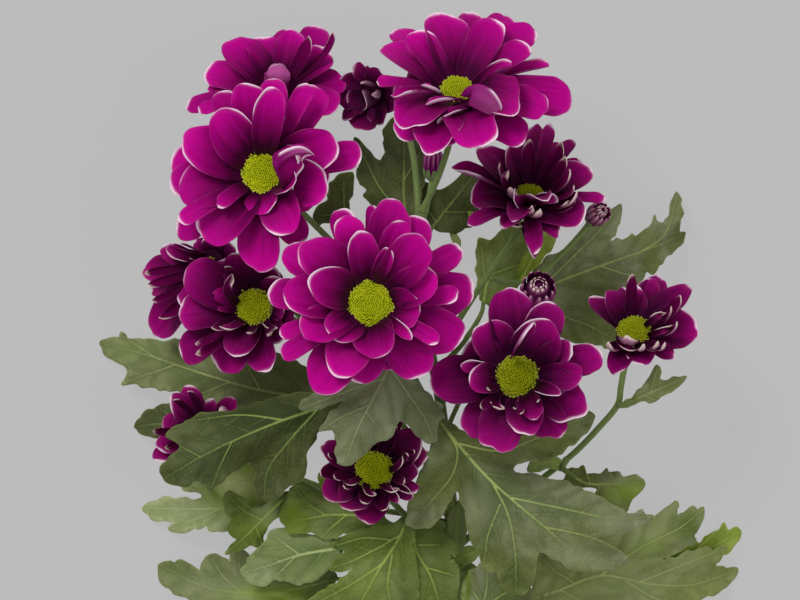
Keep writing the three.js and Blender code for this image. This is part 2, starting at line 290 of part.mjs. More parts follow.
    pet: [
      [170.5, 4.07, -1, 17, 6.8, 44, 8, 1, 0.6, 8.2, 1, 0],
      [155.2, 4.07, -1, 12.8, 6.6, 44, 8, 1, 2.2, 8.3, 1, 4],
      [158.4, 4.68, 0.2, 13, 5.6, 67, 22, 1, 2.2, 12.1, 2, 4],
      [151.4, 4.07, -1, 10.1, 6.1, 44, 8, 1, 2.2, 10.7, 1, 4],
      [189.6, 3.15, -2.2, 26.5, 9.2, 22, -6, 1, 0.45, 4.2, 0, 0],
      [189.5, 4.68, 0.2, 21.5, 3.7, 35, 138, 1.6, 1.1, 1.8, 2, 1],
      [205.5, 4.98, 0.8, 20.9, 4.1, 36, 139, 1.6, 1.1, 0.9, 3, 1],
      [203.2, 3.15, -2.2, 28, 10.8, 22, -6, 1, 0.45, 9.9, 0, 0],
      [225.4, 4.98, 0.8, 22.3, 3.7, 31, 134, 1.6, 1.1, 4.7, 3, 1],
      [229.4, 3.15, -2.2, 32.2, 12.9, 22, -6, 1, 0.45, 7.7, 0, 0],
      [239.5, 4.07, -1, 26, 6.1, 11, 114, 1.6, 1.1, 6.7, 1, 1],
      [134.9, 3.15, -2.2, 8.4, 6.8, 22, -6, 1, 0.45, 8.7, 0, 0],
      [89.7, 3.15, -2.2, 7.8, 7.5, 22, -6, 1, 0.45, 5.5, 0, 0],
      [42.5, 3.15, -2.2, 8.1, 6.8, 23, -5, 1, 0.45, 10.7, 0, 0],
      [353.6, 3.15, -2.2, 7.8, 6.8, 23, -5, 1, 0.45, 6.9, 0, 0],
      [301.1, 3.15, -2.2, 9.3, 6.8, 22, -6, 1, 0.45, 9, 0, 0],
      [260, 3.15, -2.2, 16.3, 8.1, 22, -6, 1, 0.45, 8.1, 0, 0],
      [248.2, 3.15, -2.2, 22.6, 8.1, 22, -6, 1, 0.45, 10.9, 0, 0],
    ] },
  { id: '12', c: [-66.36, -44.92, 40], n: [-0.3, 0.05, 0.9526], rd: 5.45, open: 2, disc: 0, stalk: [[-57.6, -48.7, 29], [-43.9, -57, 27], [-23.4, -68.9, 23], [0, -84.5, 21], [20, -104.7, 21.8]],
    pet: [
      [113.6, 3.38, -2.2, 14.4, 7.1, 22, -6, 1, 0.45, 5.4, 0, 0],
      [131.9, 3.38, -2.2, 14, 8.5, 22, -6, 1, 0.45, 5.6, 0, 0],
      [96.5, 5.01, 0.2, 16.7, 3.7, 31, 134, 1.6, 1.1, 6.9, 2, 1],
      [120.3, 5.34, 0.8, 15.9, 3.1, 40, 143, 1.6, 1.1, 5.8, 3, 1],
      [162.4, 3.38, -2.2, 13.1, 9.9, 22, -6, 1, 0.45, 10.5, 0, 0],
      [180.5, 4.36, -1, 18.4, 3.7, 31, 134, 1.6, 1.1, 4.4, 1, 1],
      [196.3, 3.38, -2.2, 14.8, 7.8, 22, -6, 1, 0.45, 11.1, 0, 0],
      [211.9, 5.34, 0.8, 15.1, 3.7, 49, 152, 1.6, 1.1, 6.1, 3, 1],
      [206.7, 3.38, -2.2, 18, 6.8, 22, -6, 1, 0.45, 6.7, 0, 0],
      [36, 4.36, -1, 17.7, 6.8, 11, 121, 1.2, 1.3, 5.2, 1, 3],
      [72.9, 4.36, -1, 8.7, 4.8, 44, 8, 1, 0.6, 10.2, 1, 0],
      [304.8, 3.38, -2.2, 13.9, 4.1, 22, -6, 1, 0.45, 6, 0, 0],
      [234.5, 3.38, -2.2, 12.7, 8.2, 22, -6, 1, 0.45, 5.3, 0, 0],
      [269.6, 3.38, -2.2, 12.5, 8.2, 22, -6, 1, 0.45, 9.6, 0, 0],
      [331.2, 3.38, -2.2, 13.3, 7.5, 22, -6, 1, 0.45, 9.5, 0, 0],
      [4.7, 3.38, -2.2, 12.3, 7.5, 23, -5, 1, 0.45, 7.4, 0, 0],
      [42.5, 3.38, -2.2, 12.9, 6.8, 22, -6, 1, 0.45, 11.4, 0, 0],
    ] },
];
// unopened buds: c middle, n direction, r radius, h half height
const BUDS = [
  {
    id: '13',
    c: [46.2, 2.7, 63],
    n: [0.02, 0.45, 0.8928],
    r: 5.6,
    h: 11.5,
    stalk: [[45.1, -2, 56], [40.1, -7.4, 53], [31.8, -17.6, 49], [22.4, -30.5, 44], [15, -46.5, 34.8]],
  },
  {
    id: '14',
    c: [66.2, 28.6, 58],
    n: [0.45, 0.4, 0.7984],
    r: 3.5,
    h: 8,
    stalk: [[62.7, 24.3, 53], [54.7, 15.5, 51], [43.3, 4.7, 50], [31.2, -6.8, 45], [13, -30.7, 37.5]],
  },
  {
    id: '15',
    c: [11.2, 45.7, 47],
    n: [0.05, 0.97, 0.2379],
    r: 2.7,
    h: 9.5,
    stalk: [[10.2, 38, 46], [9.2, 31.9, 46], [6.5, 23, 50.3]],
  },
];
// leaves: o outline, v veins from the base outwards (first is the midrib), p stalk from the blade to its stem
const LEAVES = [
  {
    id: '01',
    o: [[-105.1, -14.7, -2.4], [-97.5, -11.2, 1.3], [-95, -12.9, 2.2], [-82.5, -14.2, 13], [-67.2, -13.1, 21.8], [-42.8, -17.8, 29.8], [-32.5, -22.6, 32], [-24.6, -30.1, 34.9], [-21.8, -34.5, 35.9], [-27.3, -37.6, 34.9], [-49.7, -41.1, 30.2], [-60.1, -39.1, 27.1], [-74, -31.7, 22.8], [-96.8, -29.2, 7], [-95.7, -23.3, 7.3], [-102, -20.3, 2.1]],
    v: [[[-22.5, -34.5, 36], [-47.8, -30.8, 34], [-68.6, -25, 28], [-86.6, -19.4, 14], [-104.8, -15.1, -3]], [[-47.8, -30.8, 34], [-53.1, -21.2, 30]], [[-58.2, -28.1, 31], [-68.8, -32.3, 24]], [[-77.6, -22.4, 21], [-94, -27.9, 6]], [[-83, -20.8, 16], [-96.5, -12.9, 0]]],
    p: [[-22.5, -34.5, 36], [-10.3, -40.3, 34], [16.3, -57.5, 32.8]],
  },
  {
    id: '02',
    o: [[-92.9, -44.7, 1], [-88.5, -38.7, 5.6], [-77.5, -35.4, 9.9], [-71.1, -37.5, 12], [-64, -43.2, 17], [-60.4, -48.3, 19.5], [-65.7, -50.5, 17.6], [-86.3, -48, 6.3]],
    v: [[[-61.4, -48.3, 20], [-72.6, -45, 16], [-83.5, -43.1, 8], [-92.7, -44.4, 0]], [[-74.4, -44.3, 15], [-83.5, -37.6, 8]], [[-78, -44.4, 12], [-83.6, -48.1, 6]]],
    p: [[-61.4, -48.3, 20], [-41.5, -58.8, 16], [-13.8, -70.9, 16], [19.5, -95, 24]],
  },
  {
    id: '03',
    o: [[-19.5, -32.2, 60.3], [-35.2, -31.1, 63.2], [-57.7, -37.2, 61.8], [-68.2, -38.3, 59], [-77.2, -43.3, 60.7], [-78.5, -45.6, 61.2], [-73.7, -48.9, 62.3], [-78.9, -54, 60.2], [-80.3, -58.8, 58.3], [-79, -60.8, 58.2], [-72.2, -62.8, 59.9], [-67.2, -60.8, 59.5], [-63.5, -63.9, 57.5], [-50.3, -54.4, 60.3], [-47.9, -66.4, 53], [-42.1, -67.4, 53.5], [-37, -62.2, 56.5], [-33.6, -61.2, 57.6], [-31.2, -56.4, 59.5], [-31.5, -52, 60.8], [-20.1, -36.2, 60.8]],
    v: [[[-19.8, -33.6, 60], [-30.1, -37.1, 65], [-43.4, -41.8, 67], [-63.5, -50.8, 66], [-79, -59.8, 58]], [[-27.5, -36.5, 63], [-36.9, -46.9, 62], [-44.4, -57.1, 58], [-45.9, -66.8, 52]], [[-38.4, -40.1, 66], [-53.6, -38.5, 63], [-70.6, -40.7, 58]], [[-56.2, -47.5, 66], [-59.7, -54.3, 62], [-63.2, -62.9, 57]], [[-66.9, -52.5, 65], [-73.7, -48.9, 62]]],
    p: [[-19.8, -33.6, 60], [-9.5, -35.2, 50], [1.7, -36.5, 38], [8.2, -36.9, 34.5], [14, -37.5, 36.4]],
  },
  {
    id: '04',
    o: [[-2.6, -19.2, 80.2], [10.6, -32.2, 76.1], [15.3, -39.2, 73.8], [12.6, -40.2, 73.6], [12, -46.9, 72.3], [9.7, -47.9, 72.4], [0, -40.1, 78.9], [-3.6, -46.3, 82.5], [-6.9, -46.5, 83.7], [-15.8, -53.9, 89.5], [-18.1, -54.9, 89.7], [-20.4, -53.3, 89.2], [-22.1, -43.2, 85.9], [-26.7, -43.2, 85.1], [-18.1, -33, 84.5], [-26.4, -36, 82.3], [-33.4, -36.4, 80.2], [-33.1, -34.4, 80.3], [-30.4, -31.8, 81.1]],
    v: [[[-2.6, -19.9, 80], [-6.6, -28.1, 84], [-10.5, -35.6, 87], [-14.8, -44.4, 90], [-17.7, -53.9, 90]], [[-3.3, -22.5, 80], [0.7, -28.2, 79], [4.6, -33.8, 77], [9, -40.6, 74], [11, -46.6, 72]], [[-5.3, -25.8, 82], [-18.2, -30.4, 84], [-32.4, -35.7, 80]], [[-9.9, -34.6, 86], [-18.1, -37.9, 88], [-26.1, -42.9, 85]], [[-11.2, -36.9, 86], [-6.6, -43, 82]]],
    p: [[-2.6, -19.9, 80], [0.7, -18, 71], [5.4, -18.8, 56], [11.4, -22.8, 38.6]],
  },
  {
    id: '05',
    o: [[12, -38.5, 64.2], [22.1, -44.1, 66.3], [47.2, -37.4, 53.5], [57.6, -36.6, 47.1], [66.2, -39.4, 43.6], [62.7, -45.4, 46.7], [53.2, -52.2, 55.2], [48.7, -54.4, 59], [40.2, -54.3, 62.8], [37.8, -56.2, 65.7], [38.7, -58.4, 67.3], [54.3, -60.7, 62.4], [76.3, -71.5, 52.5], [79.8, -72.3, 49.9], [82.2, -70.7, 48.4], [83.3, -72.8, 47.4], [86.4, -73.5, 46.6], [75.9, -78.3, 52.7], [66.2, -80, 57.8], [76.7, -86.9, 49.6], [73.1, -90.7, 48], [59.9, -91.2, 56.6], [46.3, -84.5, 62], [45.1, -93.5, 56.8], [42.8, -98.1, 53.9], [39.1, -99.5, 52.6], [35.7, -98.1, 53.8], [32.6, -91.1, 57.5], [29.6, -91.5, 57.2], [27.6, -89.5, 56.6], [19.1, -64.5, 59.1], [10.8, -76.3, 51.7], [2.7, -76.4, 49.7], [3.4, -66.5, 52.6], [11, -46.8, 64.9]],
    v: [[[12.4, -39.5, 64], [20, -49, 70], [29.9, -59.8, 74], [46.7, -74.4, 69], [60.5, -85.7, 58], [74.9, -89.8, 46]], [[15.7, -43.8, 66], [19.1, -50.2, 65], [17.5, -58.8, 59], [10.8, -67.5, 53], [5.1, -75.1, 49]], [[30.6, -60.5, 74], [36.1, -71.8, 68], [38.5, -83.8, 62], [39.2, -97.9, 52]], [[18.4, -47.7, 68], [33.4, -50.5, 66], [43.7, -47.4, 58], [54.1, -42.9, 50], [64.5, -39.4, 43]], [[37.3, -65.9, 72], [53.5, -69.5, 66], [70.6, -73.3, 57], [84.7, -73.5, 46]], [[48.4, -75.8, 68], [63.8, -79.6, 60], [75, -85.2, 50]], [[33.3, -68.3, 70], [29.5, -78.8, 62], [28.3, -88.2, 56]]],
    p: [[12.4, -39.5, 64], [10.8, -37, 58], [12.2, -35.2, 48], [14, -36.8, 36.5]],
  },
  {
    id: '06',
    o: [[47.3, -86.3, 31], [60, -92.8, 30.3], [65.1, -93.1, 30.9], [70.2, -89.8, 30.3], [67.3, -81.7, 27.5], [82.5, -77.3, 25.8], [95.2, -69.7, 20.5], [95.4, -74.8, 22.1], [101.1, -71.4, 19.2], [102.5, -72.8, 19.1], [104.6, -71.8, 18.4], [104.6, -74.6, 18.8], [101.4, -80.7, 19.9], [102, -83.3, 16.7], [90.3, -89.6, 21.4], [95, -89.1, 18.6], [113.8, -85.9, 7.5], [110, -92.6, 6.8], [117.6, -93.8, -0.9], [116, -97.8, 1.3], [109.5, -101.9, 8.6], [96.9, -105.9, 15], [77.4, -109.4, 23.7], [65.3, -108.5, 26.6], [42.9, -103.1, 26.3], [45.7, -99.6, 27.1]],
    v: [[[44.7, -103.1, 26], [54.8, -99.4, 30], [68.4, -94.4, 32], [86, -97.7, 24], [100.5, -98.7, 14], [117.3, -94.9, -2]], [[68.4, -94.4, 32], [82.2, -85, 30], [96.3, -78.4, 24], [104.3, -72.5, 18]], [[82.5, -96.9, 26], [96.7, -91.9, 18], [112.1, -86.7, 7]], [[59.9, -97.2, 31], [50.6, -90.7, 32], [47.6, -87, 31]], [[77.2, -96.4, 29], [89.7, -103.5, 20], [100.6, -104.1, 12]], [[54.8, -99.4, 30], [65.3, -105.1, 26]]],
    p: [[44.7, -103.1, 26], [34.4, -105.3, 24], [20.1, -107.5, 21.4]],
  },
  {
    id: '07',
    o: [[86.9, -92.4, 9.6], [102.5, -83.7, 4.7], [104.6, -84.7, 4.7], [113.2, -77.9, 1], [115, -80.4, 0], [117.9, -79.1, -1.2], [119.4, -80.9, -1.6], [118.6, -84, -0.7], [112.4, -89.7, 2.5], [97.4, -94.6, 7.3], [88.6, -94.5, 9.4]],
    v: [[[87.5, -93.1, 10], [97.4, -90.4, 8], [108.1, -86.5, 4], [119, -80.9, -2]], [[100.9, -89.1, 7], [112.5, -79, 1]]],
    p: [[87.5, -93.1, 10], [69.4, -101.3, 11], [48.5, -109.5, 14], [20.5, -117.3, 20]],
  },
  {
    id: '08',
    o: [[56.3, -57.6, 45.5], [62.1, -56, 44.7], [63.4, -58.6, 45.7], [67.9, -58.7, 44.1], [70.3, -57.1, 42.1], [75.8, -59.8, 42.3], [82.4, -60.3, 39.1], [83.5, -62.7, 38.6], [77.1, -72.3, 37.3], [65.8, -67.2, 44.5], [66.8, -64.1, 45.3], [56.3, -63.4, 45.4]],
    v: [[[55.3, -57, 45], [62.6, -61.9, 48], [71.2, -62.4, 45], [82.8, -62.4, 38]], [[64.3, -61.9, 48], [62.4, -56.7, 44]], [[67.8, -62.4, 46], [66.5, -66.9, 44]], [[73, -62.4, 44], [70.7, -57.8, 41]], [[74, -62.4, 44], [77.8, -71, 36]]],
    p: [[55.3, -57, 44.5], [56.7, -54, 42.2]],
  },
  {
    id: '09',
    o: [[75.7, -34.5, 50.5], [86.4, -21.6, 51.9], [88.1, -26.3, 52], [93, -26, 49.2], [97.2, -25.7, 46.9], [86.8, -34.5, 51.1], [81, -34.4, 52], [75.7, -36.5, 50.3]],
    v: [[[75.7, -35.5, 50], [84.3, -31.3, 54], [90.5, -28.7, 52], [96.9, -26.1, 46]], [[84.3, -31.3, 54], [87.1, -22.6, 52]], [[82.6, -32.4, 53], [86.9, -34.1, 50]]],
    p: [[75.8, -35.5, 49], [74, -35.4, 47.2]],
  },
  {
    id: '10',
    o: [[43.6, 1.4, 38.1], [43.3, 6.1, 38.3], [48, 12.9, 39.4], [54.4, 16.3, 41.2], [71.6, 30.7, 36.3], [75.5, 33.1, 34.2], [75.8, 29.4, 35.1], [72.3, 20.5, 37], [75.2, 20.5, 33.5], [79.6, 23, 28.5], [81, 22, 26.9], [88.2, 29.4, 15.7], [91.1, 26.7, 14.6], [94.3, 34.5, 7], [96.5, 38, 4.9], [97.9, 34.8, 6.1], [97.6, 23.7, 4.1], [99.9, 23.8, 1.1], [99, 20.2, 4.1], [86.6, 8.6, 25.3], [84.9, 9.6, 25.9], [83.4, 6.9, 27.5], [74.5, 1.4, 33.2], [72.4, -2.1, 34.2], [74.2, -6.8, 33.8], [73.9, -15.1, 32.6], [70.4, -16.4, 33.3], [54.5, -12.6, 37.6], [46.3, -4.1, 38.1]],
    v: [[[45, 2.7, 38], [56.1, 7.1, 42], [68.1, 11.6, 40], [82.2, 16.4, 30], [99.4, 22.8, -2]], [[49.3, 5.4, 40], [61.1, 17, 44], [68, 23.8, 42], [75.2, 32.1, 34]], [[82.2, 16.4, 30], [91.5, 22.5, 18], [96.6, 36.6, 4]], [[47.7, 1.4, 38], [54.5, -4.8, 40], [64.8, -8.9, 38], [72.5, -13, 32]], [[68.1, 11.6, 40], [78.7, 8.6, 32], [86, 9.6, 24]]],
    p: [[45, 2.7, 38], [36.8, -7.5, 38], [25.2, -21.1, 37], [13.8, -35.5, 36.8]],
  },
  {
    id: '11',
    o: [[-16.1, 56.7, -1.4], [-6.6, 48.4, 16.2], [-5.9, 59, 10.8], [-2.8, 63.3, 7.8], [1.7, 64.5, 5.2], [5.6, 62.6, 8.5], [9.6, 48.2, 23.2], [8.6, 41.2, 26.5], [4.8, 25.6, 34.8], [1.4, 23.2, 35.1], [-2.7, 25.7, 32.7], [-12.7, 35.8, 23.8], [-11.7, 37.9, 22.9], [-14.9, 41.5, 17.3]],
    v: [[[3.4, 21.8, 36], [1.4, 34.2, 34], [1.4, 46.4, 24], [1.4, 62.8, 4]], [[2, 30.1, 35], [-5.1, 36, 30], [-11.1, 46.8, 14], [-15.8, 56.1, -3]], [[1.4, 41.1, 30], [7.6, 51.7, 22]]],
    p: [[3.4, 21.8, 36], [4.1, 12.9, 40], [5.8, 5.1, 43.5]],
  },
  {
    id: '12',
    o: [[-1.7, 45.8, 12.4], [1.7, 46.8, 12.7], [13.8, 38, 18.5], [24.9, 46.7, 17], [29.7, 42.2, 17.2], [29, 36.3, 17.5], [24.2, 25.2, 18.1], [19, 23.1, 19.2], [13.8, 23.4, 20.8], [0, 38.1, 14.4]],
    v: [[[11, 24.8, 22], [17.2, 32.8, 21], [26.3, 44.2, 17]], [[12.4, 26.9, 21], [6.2, 36.3, 17], [0, 44.4, 12]], [[15.5, 30.3, 21], [25.9, 30.4, 17]]],
    p: [[11, 24.8, 22], [8.9, 18.5, 33], [5.8, 10.9, 45.2]],
  },
  {
    id: '13',
    o: [[27.3, 1.4, 33.6], [27.1, 21.2, 29.7], [30.9, 20.2, 29.3], [36.5, 26.8, 23.8], [41.3, 26.9, 22.9], [44.7, 23.4, 25], [46, 17.2, 27.8], [37.7, 0, 31.4], [32.5, -3.4, 33.1]],
    v: [[[28, -4.1, 34], [30.1, 6.8, 34], [36, 17.1, 30], [39.6, 26.2, 22]], [[29.4, 3.4, 34], [27.8, 18.8, 30]], [[31.5, 8.9, 33], [43.2, 13, 28]]],
    p: [[28, -4.1, 34], [22.2, -13.7, 36], [11.9, -25.2, 38.3]],
  },
  {
    id: '14',
    o: [[46.1, 25.1, 45], [53.2, 20.7, 45.5], [44.1, 9.2, 43.6], [41.5, 5.4, 42.3], [40.1, 8.2, 42.6]],
    v: [[[41.1, 6.5, 42], [45.1, 14.2, 46], [50.5, 21.7, 46]]],
    p: [[41.1, 6.5, 43], [35.6, 5.8, 45], [30.1, 7.8, 50]],
  },
  {
    id: '15',
    o: [[-89.7, -72.8, -2.5], [-82.7, -69.1, 3.3], [-68.3, -69, 13.4], [-68.3, -67.3, 12.9], [-75.4, -64.9, 10.3], [-69.4, -62.4, 11.9], [-65.1, -66.1, 14.7], [-51.2, -56, 17.1], [-49.4, -63.9, 18.9], [-44.1, -71.6, 23.6], [-51.8, -79.4, 19.7], [-65.1, -79.7, 14.1], [-67.2, -78.3, 13.1], [-79.5, -80.5, 4.5], [-80.5, -79.5, 4.5], [-78, -77.3, 6.2], [-84.5, -76.8, 2.4]],
    v: [[[-44.7, -71.6, 24], [-55.1, -71.7, 22], [-69.3, -72.4, 13], [-89, -72.9, -3]], [[-55.1, -71.7, 22], [-58, -66.2, 20], [-52.9, -58.1, 17]], [[-65, -72.3, 16], [-72.9, -64.9, 10]], [[-62.2, -72.2, 18], [-79.5, -79.9, 4]]],
    p: [[-44.7, -71.6, 24], [-27.6, -80.8, 19], [0, -95, 18], [20.3, -110.3, 21]],
  },
  {
    id: '16',
    o: [[-38.3, -65.6, 34], [-47.1, -71.1, 34.3], [-51.3, -71.1, 33.1], [-58.3, -65.8, 29.7], [-60.3, -67.9, 29.6], [-57.5, -75.3, 31.6], [-58.9, -79.1, 30.4], [-55.8, -81.5, 30.3], [-59.8, -87.2, 26.8], [-51.4, -83.9, 31.3], [-46.2, -83.9, 30.9], [-47.2, -80.4, 32.4], [-41, -73.1, 34.7]],
    v: [[[-38.6, -67, 34], [-44.4, -72.3, 36], [-51.3, -79.3, 34], [-58.8, -86.2, 26]], [[-47.1, -75.1, 35], [-53.7, -71.8, 33], [-58.6, -67.5, 29]], [[-49.2, -77.5, 35], [-47.3, -83.3, 30]]],
    p: [[-38.6, -67, 34], [-27.4, -68.4, 33], [-6.9, -71.9, 30.5], [8.6, -74.7, 29.5], [18.5, -78.9, 27.8]],
  },
  {
    id: '17',
    o: [[-20.1, -83.3, 35.9], [-38.6, -78.6, 34.7], [-44.1, -79.6, 34.1], [-53.9, -92.7, 26.9], [-52.9, -95.1, 27.2], [-46.2, -97.2, 31.2], [-42.8, -95.1, 31.8], [-30.1, -95.6, 34.7], [-22.2, -89.1, 35.9]],
    v: [[[-20.5, -84.6, 36], [-34.1, -86.9, 38], [-44.4, -90.6, 34], [-53.3, -93.5, 26]], [[-34.1, -86.9, 38], [-42.7, -81, 34]], [[-35.8, -87.6, 38], [-42.8, -94.9, 31]]],
    p: [[-20.5, -84.6, 36], [-6.8, -86.3, 31], [6.9, -91.4, 26], [19.8, -99.9, 22.8]],
  },
  {
    id: '18',
    o: [[-83.7, -92.1, -2.4], [-76.8, -91.2, 1.8], [-69.6, -94.3, 7.8], [-67.4, -89.7, 8.6], [-65.4, -89, 8.6], [-58.6, -91.2, 11.6], [-58.3, -87.8, 10.8], [-56.2, -86.4, 10.6], [-53.1, -88.5, 11.2], [-50.2, -95.9, 15.5], [-45.6, -98.2, 17.4], [-30.3, -97.2, 20.8], [-24.1, -93.4, 21.1], [-22.1, -95.8, 21.9], [-26.9, -100.7, 20.7], [-34.5, -104.6, 19.1], [-45, -107.9, 16.4], [-55.4, -108.4, 14], [-82.1, -99.6, 1.2], [-84, -96.2, -1.2]],
    v: [[[-22, -96.1, 22], [-41.4, -100.7, 20], [-58.8, -101.1, 15], [-71.3, -98.5, 7], [-83, -93.2, -3]], [[-55.3, -101, 16], [-61.7, -95.4, 12], [-65.4, -89.7, 8]], [[-48.4, -100.9, 18], [-55.4, -93.5, 14], [-55.6, -87.9, 10]]],
    p: [[-24.1, -95.1, 22], [-6.9, -100, 20], [6.9, -106.3, 20], [20.5, -115.9, 20.2]],
  },
  {
    id: '19',
    o: [[2, -72.6, 44.4], [-1.7, -75.9, 45.5], [-12.9, -78.1, 42.5], [-23.2, -83.2, 37.9], [-18.7, -85.4, 39.6], [-23.9, -91.7, 37.1], [-16.3, -91.1, 41.4], [-18.7, -94.2, 40.5], [-30.1, -101.8, 35], [-34.8, -107.9, 35.6], [-28, -113.4, 35.2], [-18.8, -116.4, 31], [-8.5, -116, 36.8], [-0.7, -112.5, 36.9], [4.1, -106.3, 38.7], [6.1, -98.5, 42.2], [3.7, -76.3, 45]],
    v: [[[2.7, -73.6, 44], [-0.7, -81.2, 48], [-6.8, -90.7, 48], [-12.9, -102, 42], [-18.8, -114.4, 30]], [[0, -79.6, 47], [-7.5, -84.1, 46], [-17, -89, 42], [-22.9, -91.1, 36]], [[-3.4, -81.3, 46], [-11.9, -80.8, 43], [-21.5, -83.6, 37]], [[-5.1, -88.7, 48], [-17, -96.9, 42], [-30.1, -104.2, 34]], [[-2.7, -86.3, 48], [-4.1, -98.4, 44], [0, -109.9, 36]]],
    p: [[2.7, -73.6, 44], [6.8, -72.1, 40], [11.6, -71.7, 36], [17.9, -72.7, 29.3]],
  },
  {
    id: '20',
    o: [[4.1, -74.3, 38.3], [17.7, -81.7, 39.8], [19.7, -84.4, 39.7], [15, -87.5, 40.2], [18.7, -90.5, 40], [19.7, -95.3, 39.9], [15, -109.2, 36.3], [10.2, -111.9, 37], [6.8, -106.3, 37.7], [4.4, -97, 40]],
    v: [[[4.4, -75.7, 38], [5.4, -85, 42], [10.2, -93.5, 42], [14.3, -106.5, 36]], [[6.1, -83.3, 41], [13.6, -83.4, 40]], [[9.5, -91.1, 42], [17.7, -93.6, 40]]],
    p: [[4.4, -75.7, 38], [8.2, -75.1, 35.5], [18.2, -76.1, 28.5]],
  },
  {
    id: '21',
    o: [[-24.3, 34.5, 50.7], [-23.7, 39.6, 49.3], [-20.3, 42.6, 48.4], [-15.9, 43.3, 48.6], [-16.9, 28.3, 53.4], [-16.2, 20.2, 54], [-18.9, 23.9, 53.6], [-23.6, 26.3, 51.6], [-27.7, 25, 50.7], [-29.7, 28.4, 50.3]],
    v: [[[-16.2, 20.2, 54], [-18.5, 28.7, 54], [-19, 40.6, 48]], [[-18.5, 28.7, 54], [-27, 28.7, 50]]],
    p: [[-16.2, 20.2, 54], [-6.8, 6.8, 50], [8.3, -8.2, 41]],
  },
  {
    id: '22',
    o: [[-4.8, -76.3, 38.1], [-9.5, -79, 38.5], [-22.5, -81.1, 38.5], [-26.6, -81.4, 38.4], [-30, -79, 38.7], [-37.8, -79.1, 37.6], [-40.6, -75.7, 37.3], [-40.6, -71.2, 37.6], [-37.5, -64.1, 38.2], [-35.1, -62.7, 38.2], [-29.3, -66.1, 39.2], [-27.2, -63.7, 39], [-27.9, -59.9, 38.9], [-25.9, -56.5, 38.9], [-22.5, -55.2, 38.9], [-5.5, -71.9, 38.3]],
    v: [[[-5.1, -75.7, 38], [-13.6, -73.5, 40], [-23.8, -73.1, 41], [-34.1, -74.9, 39], [-39.6, -75, 37]], [[-13.6, -73.5, 40], [-19.7, -66.3, 41], [-23.8, -57.9, 39]], [[-25.5, -73.1, 41], [-32, -68.7, 40], [-35.4, -64.4, 38]], [[-18.7, -73.5, 40], [-25.2, -79.1, 38]]],
    p: [[-5.1, -75.7, 38], [-0.7, -77.6, 33], [4.1, -79.2, 28.5], [11, -81.4, 26], [19, -84.5, 26.5]],
  },
  {
    id: '24',
    o: [[24, -119.5, 27.4], [20.6, -110.3, 29.9], [22.6, -95.2, 31.2], [29.4, -89.6, 32.8], [38.3, -93.8, 31.9], [45.2, -100, 31.3], [44.5, -104.8, 31.3], [41.1, -106.8, 31.2], [39.7, -112.4, 30.3]],
    v: [[[24.4, -119.1, 27], [26.7, -109.6, 31], [29.4, -99.8, 34], [30.1, -91.3, 33]], [[27.4, -106.8, 32], [36.9, -99.8, 34], [43.1, -100.7, 31]], [[26.7, -110.3, 31], [34.3, -110.3, 30]], [[28, -104, 33], [22.6, -96.6, 31]]],
    p: [[24.4, -119.1, 27], [23.4, -122.3, 22.5], [20.9, -125.7, 18.8]],
  },
];

// ---------- helpers ----------
const V = (a) => new THREE.Vector3(a[0], a[1], a[2]);
const rad = THREE.MathUtils.degToRad;

function cleaned(geometry) {
  const g = geometry.index ? geometry.clone() : geometry;
  g.deleteAttribute('normal');
  g.deleteAttribute('uv');
  const m = mergeVertices(g, 1e-4);
  const p = m.attributes.position;
  const idx = [];
  const src = m.index.array;
  let vol = 0;
  const a = new THREE.Vector3(), b = new THREE.Vector3(), c = new THREE.Vector3();
  for (let i = 0; i < src.length; i += 3) {
    const [i0, i1, i2] = [src[i], src[i + 1], src[i + 2]];
    if (i0 === i1 || i1 === i2 || i2 === i0) continue;
    idx.push(i0, i1, i2);
    a.fromBufferAttribute(p, i0); b.fromBufferAttribute(p, i1); c.fromBufferAttribute(p, i2);
    vol += a.dot(b.cross(c));
  }
  if (vol < 0) for (let i = 0; i < idx.length; i += 3) [idx[i + 1], idx[i + 2]] = [idx[i + 2], idx[i + 1]];
  return { pos: new Float32Array(p.array), idx: new Uint32Array(idx) };
}
function solid(geometry) {
  const { pos, idx } = cleaned(geometry);
  return new wasm.Manifold(new wasm.Mesh({ numProp: 3, vertProperties: pos, triVerts: idx }));
}
function join(list) {
  let s = list[0];
  for (let i = 1; i < list.length; i++) s = s.add(list[i]);
  return s;
}
function biggest(s) {
  let best = null;
  for (const d of s.decompose()) if (!best || d.volume() > best.volume()) best = d;
  return best ?? s;
}

// round bar along a smooth curve, with a radius that changes along it
function bar(points, r0, r1, steps, sides) {
  const curve = new THREE.CatmullRomCurve3(points.map(V), false, 'centripetal');
  const shape = new THREE.Shape();
  for (let i = 0; i < sides; i++) {
    const a = (i / sides) * Math.PI * 2;
    if (i === 0) shape.moveTo(Math.cos(a), Math.sin(a)); else shape.lineTo(Math.cos(a), Math.sin(a));
  }
  shape.closePath();
  const g = new THREE.ExtrudeGeometry(shape, { steps, bevelEnabled: false, extrudePath: curve });
  const axis = [];
  for (let i = 0; i <= steps; i++) axis.push(curve.getPointAt(i / steps));
  const p = g.attributes.position, v = new THREE.Vector3();
  for (let i = 0; i < p.count; i++) {
    v.fromBufferAttribute(p, i);
    let k = 0, dk = 1e9;
    for (let j = 0; j <= steps; j++) {
      const d = Math.abs(v.distanceTo(axis[j]) - 1);
      if (d < dk && v.distanceTo(axis[j]) < 1.01) { dk = d; k = j; }
    }
    const r = r0 + (r1 - r0) * (k / steps);
    v.sub(axis[k]).multiplyScalar(r).add(axis[k]);
    p.setXYZ(i, v.x, v.y, v.z);
  }
  return g;
}

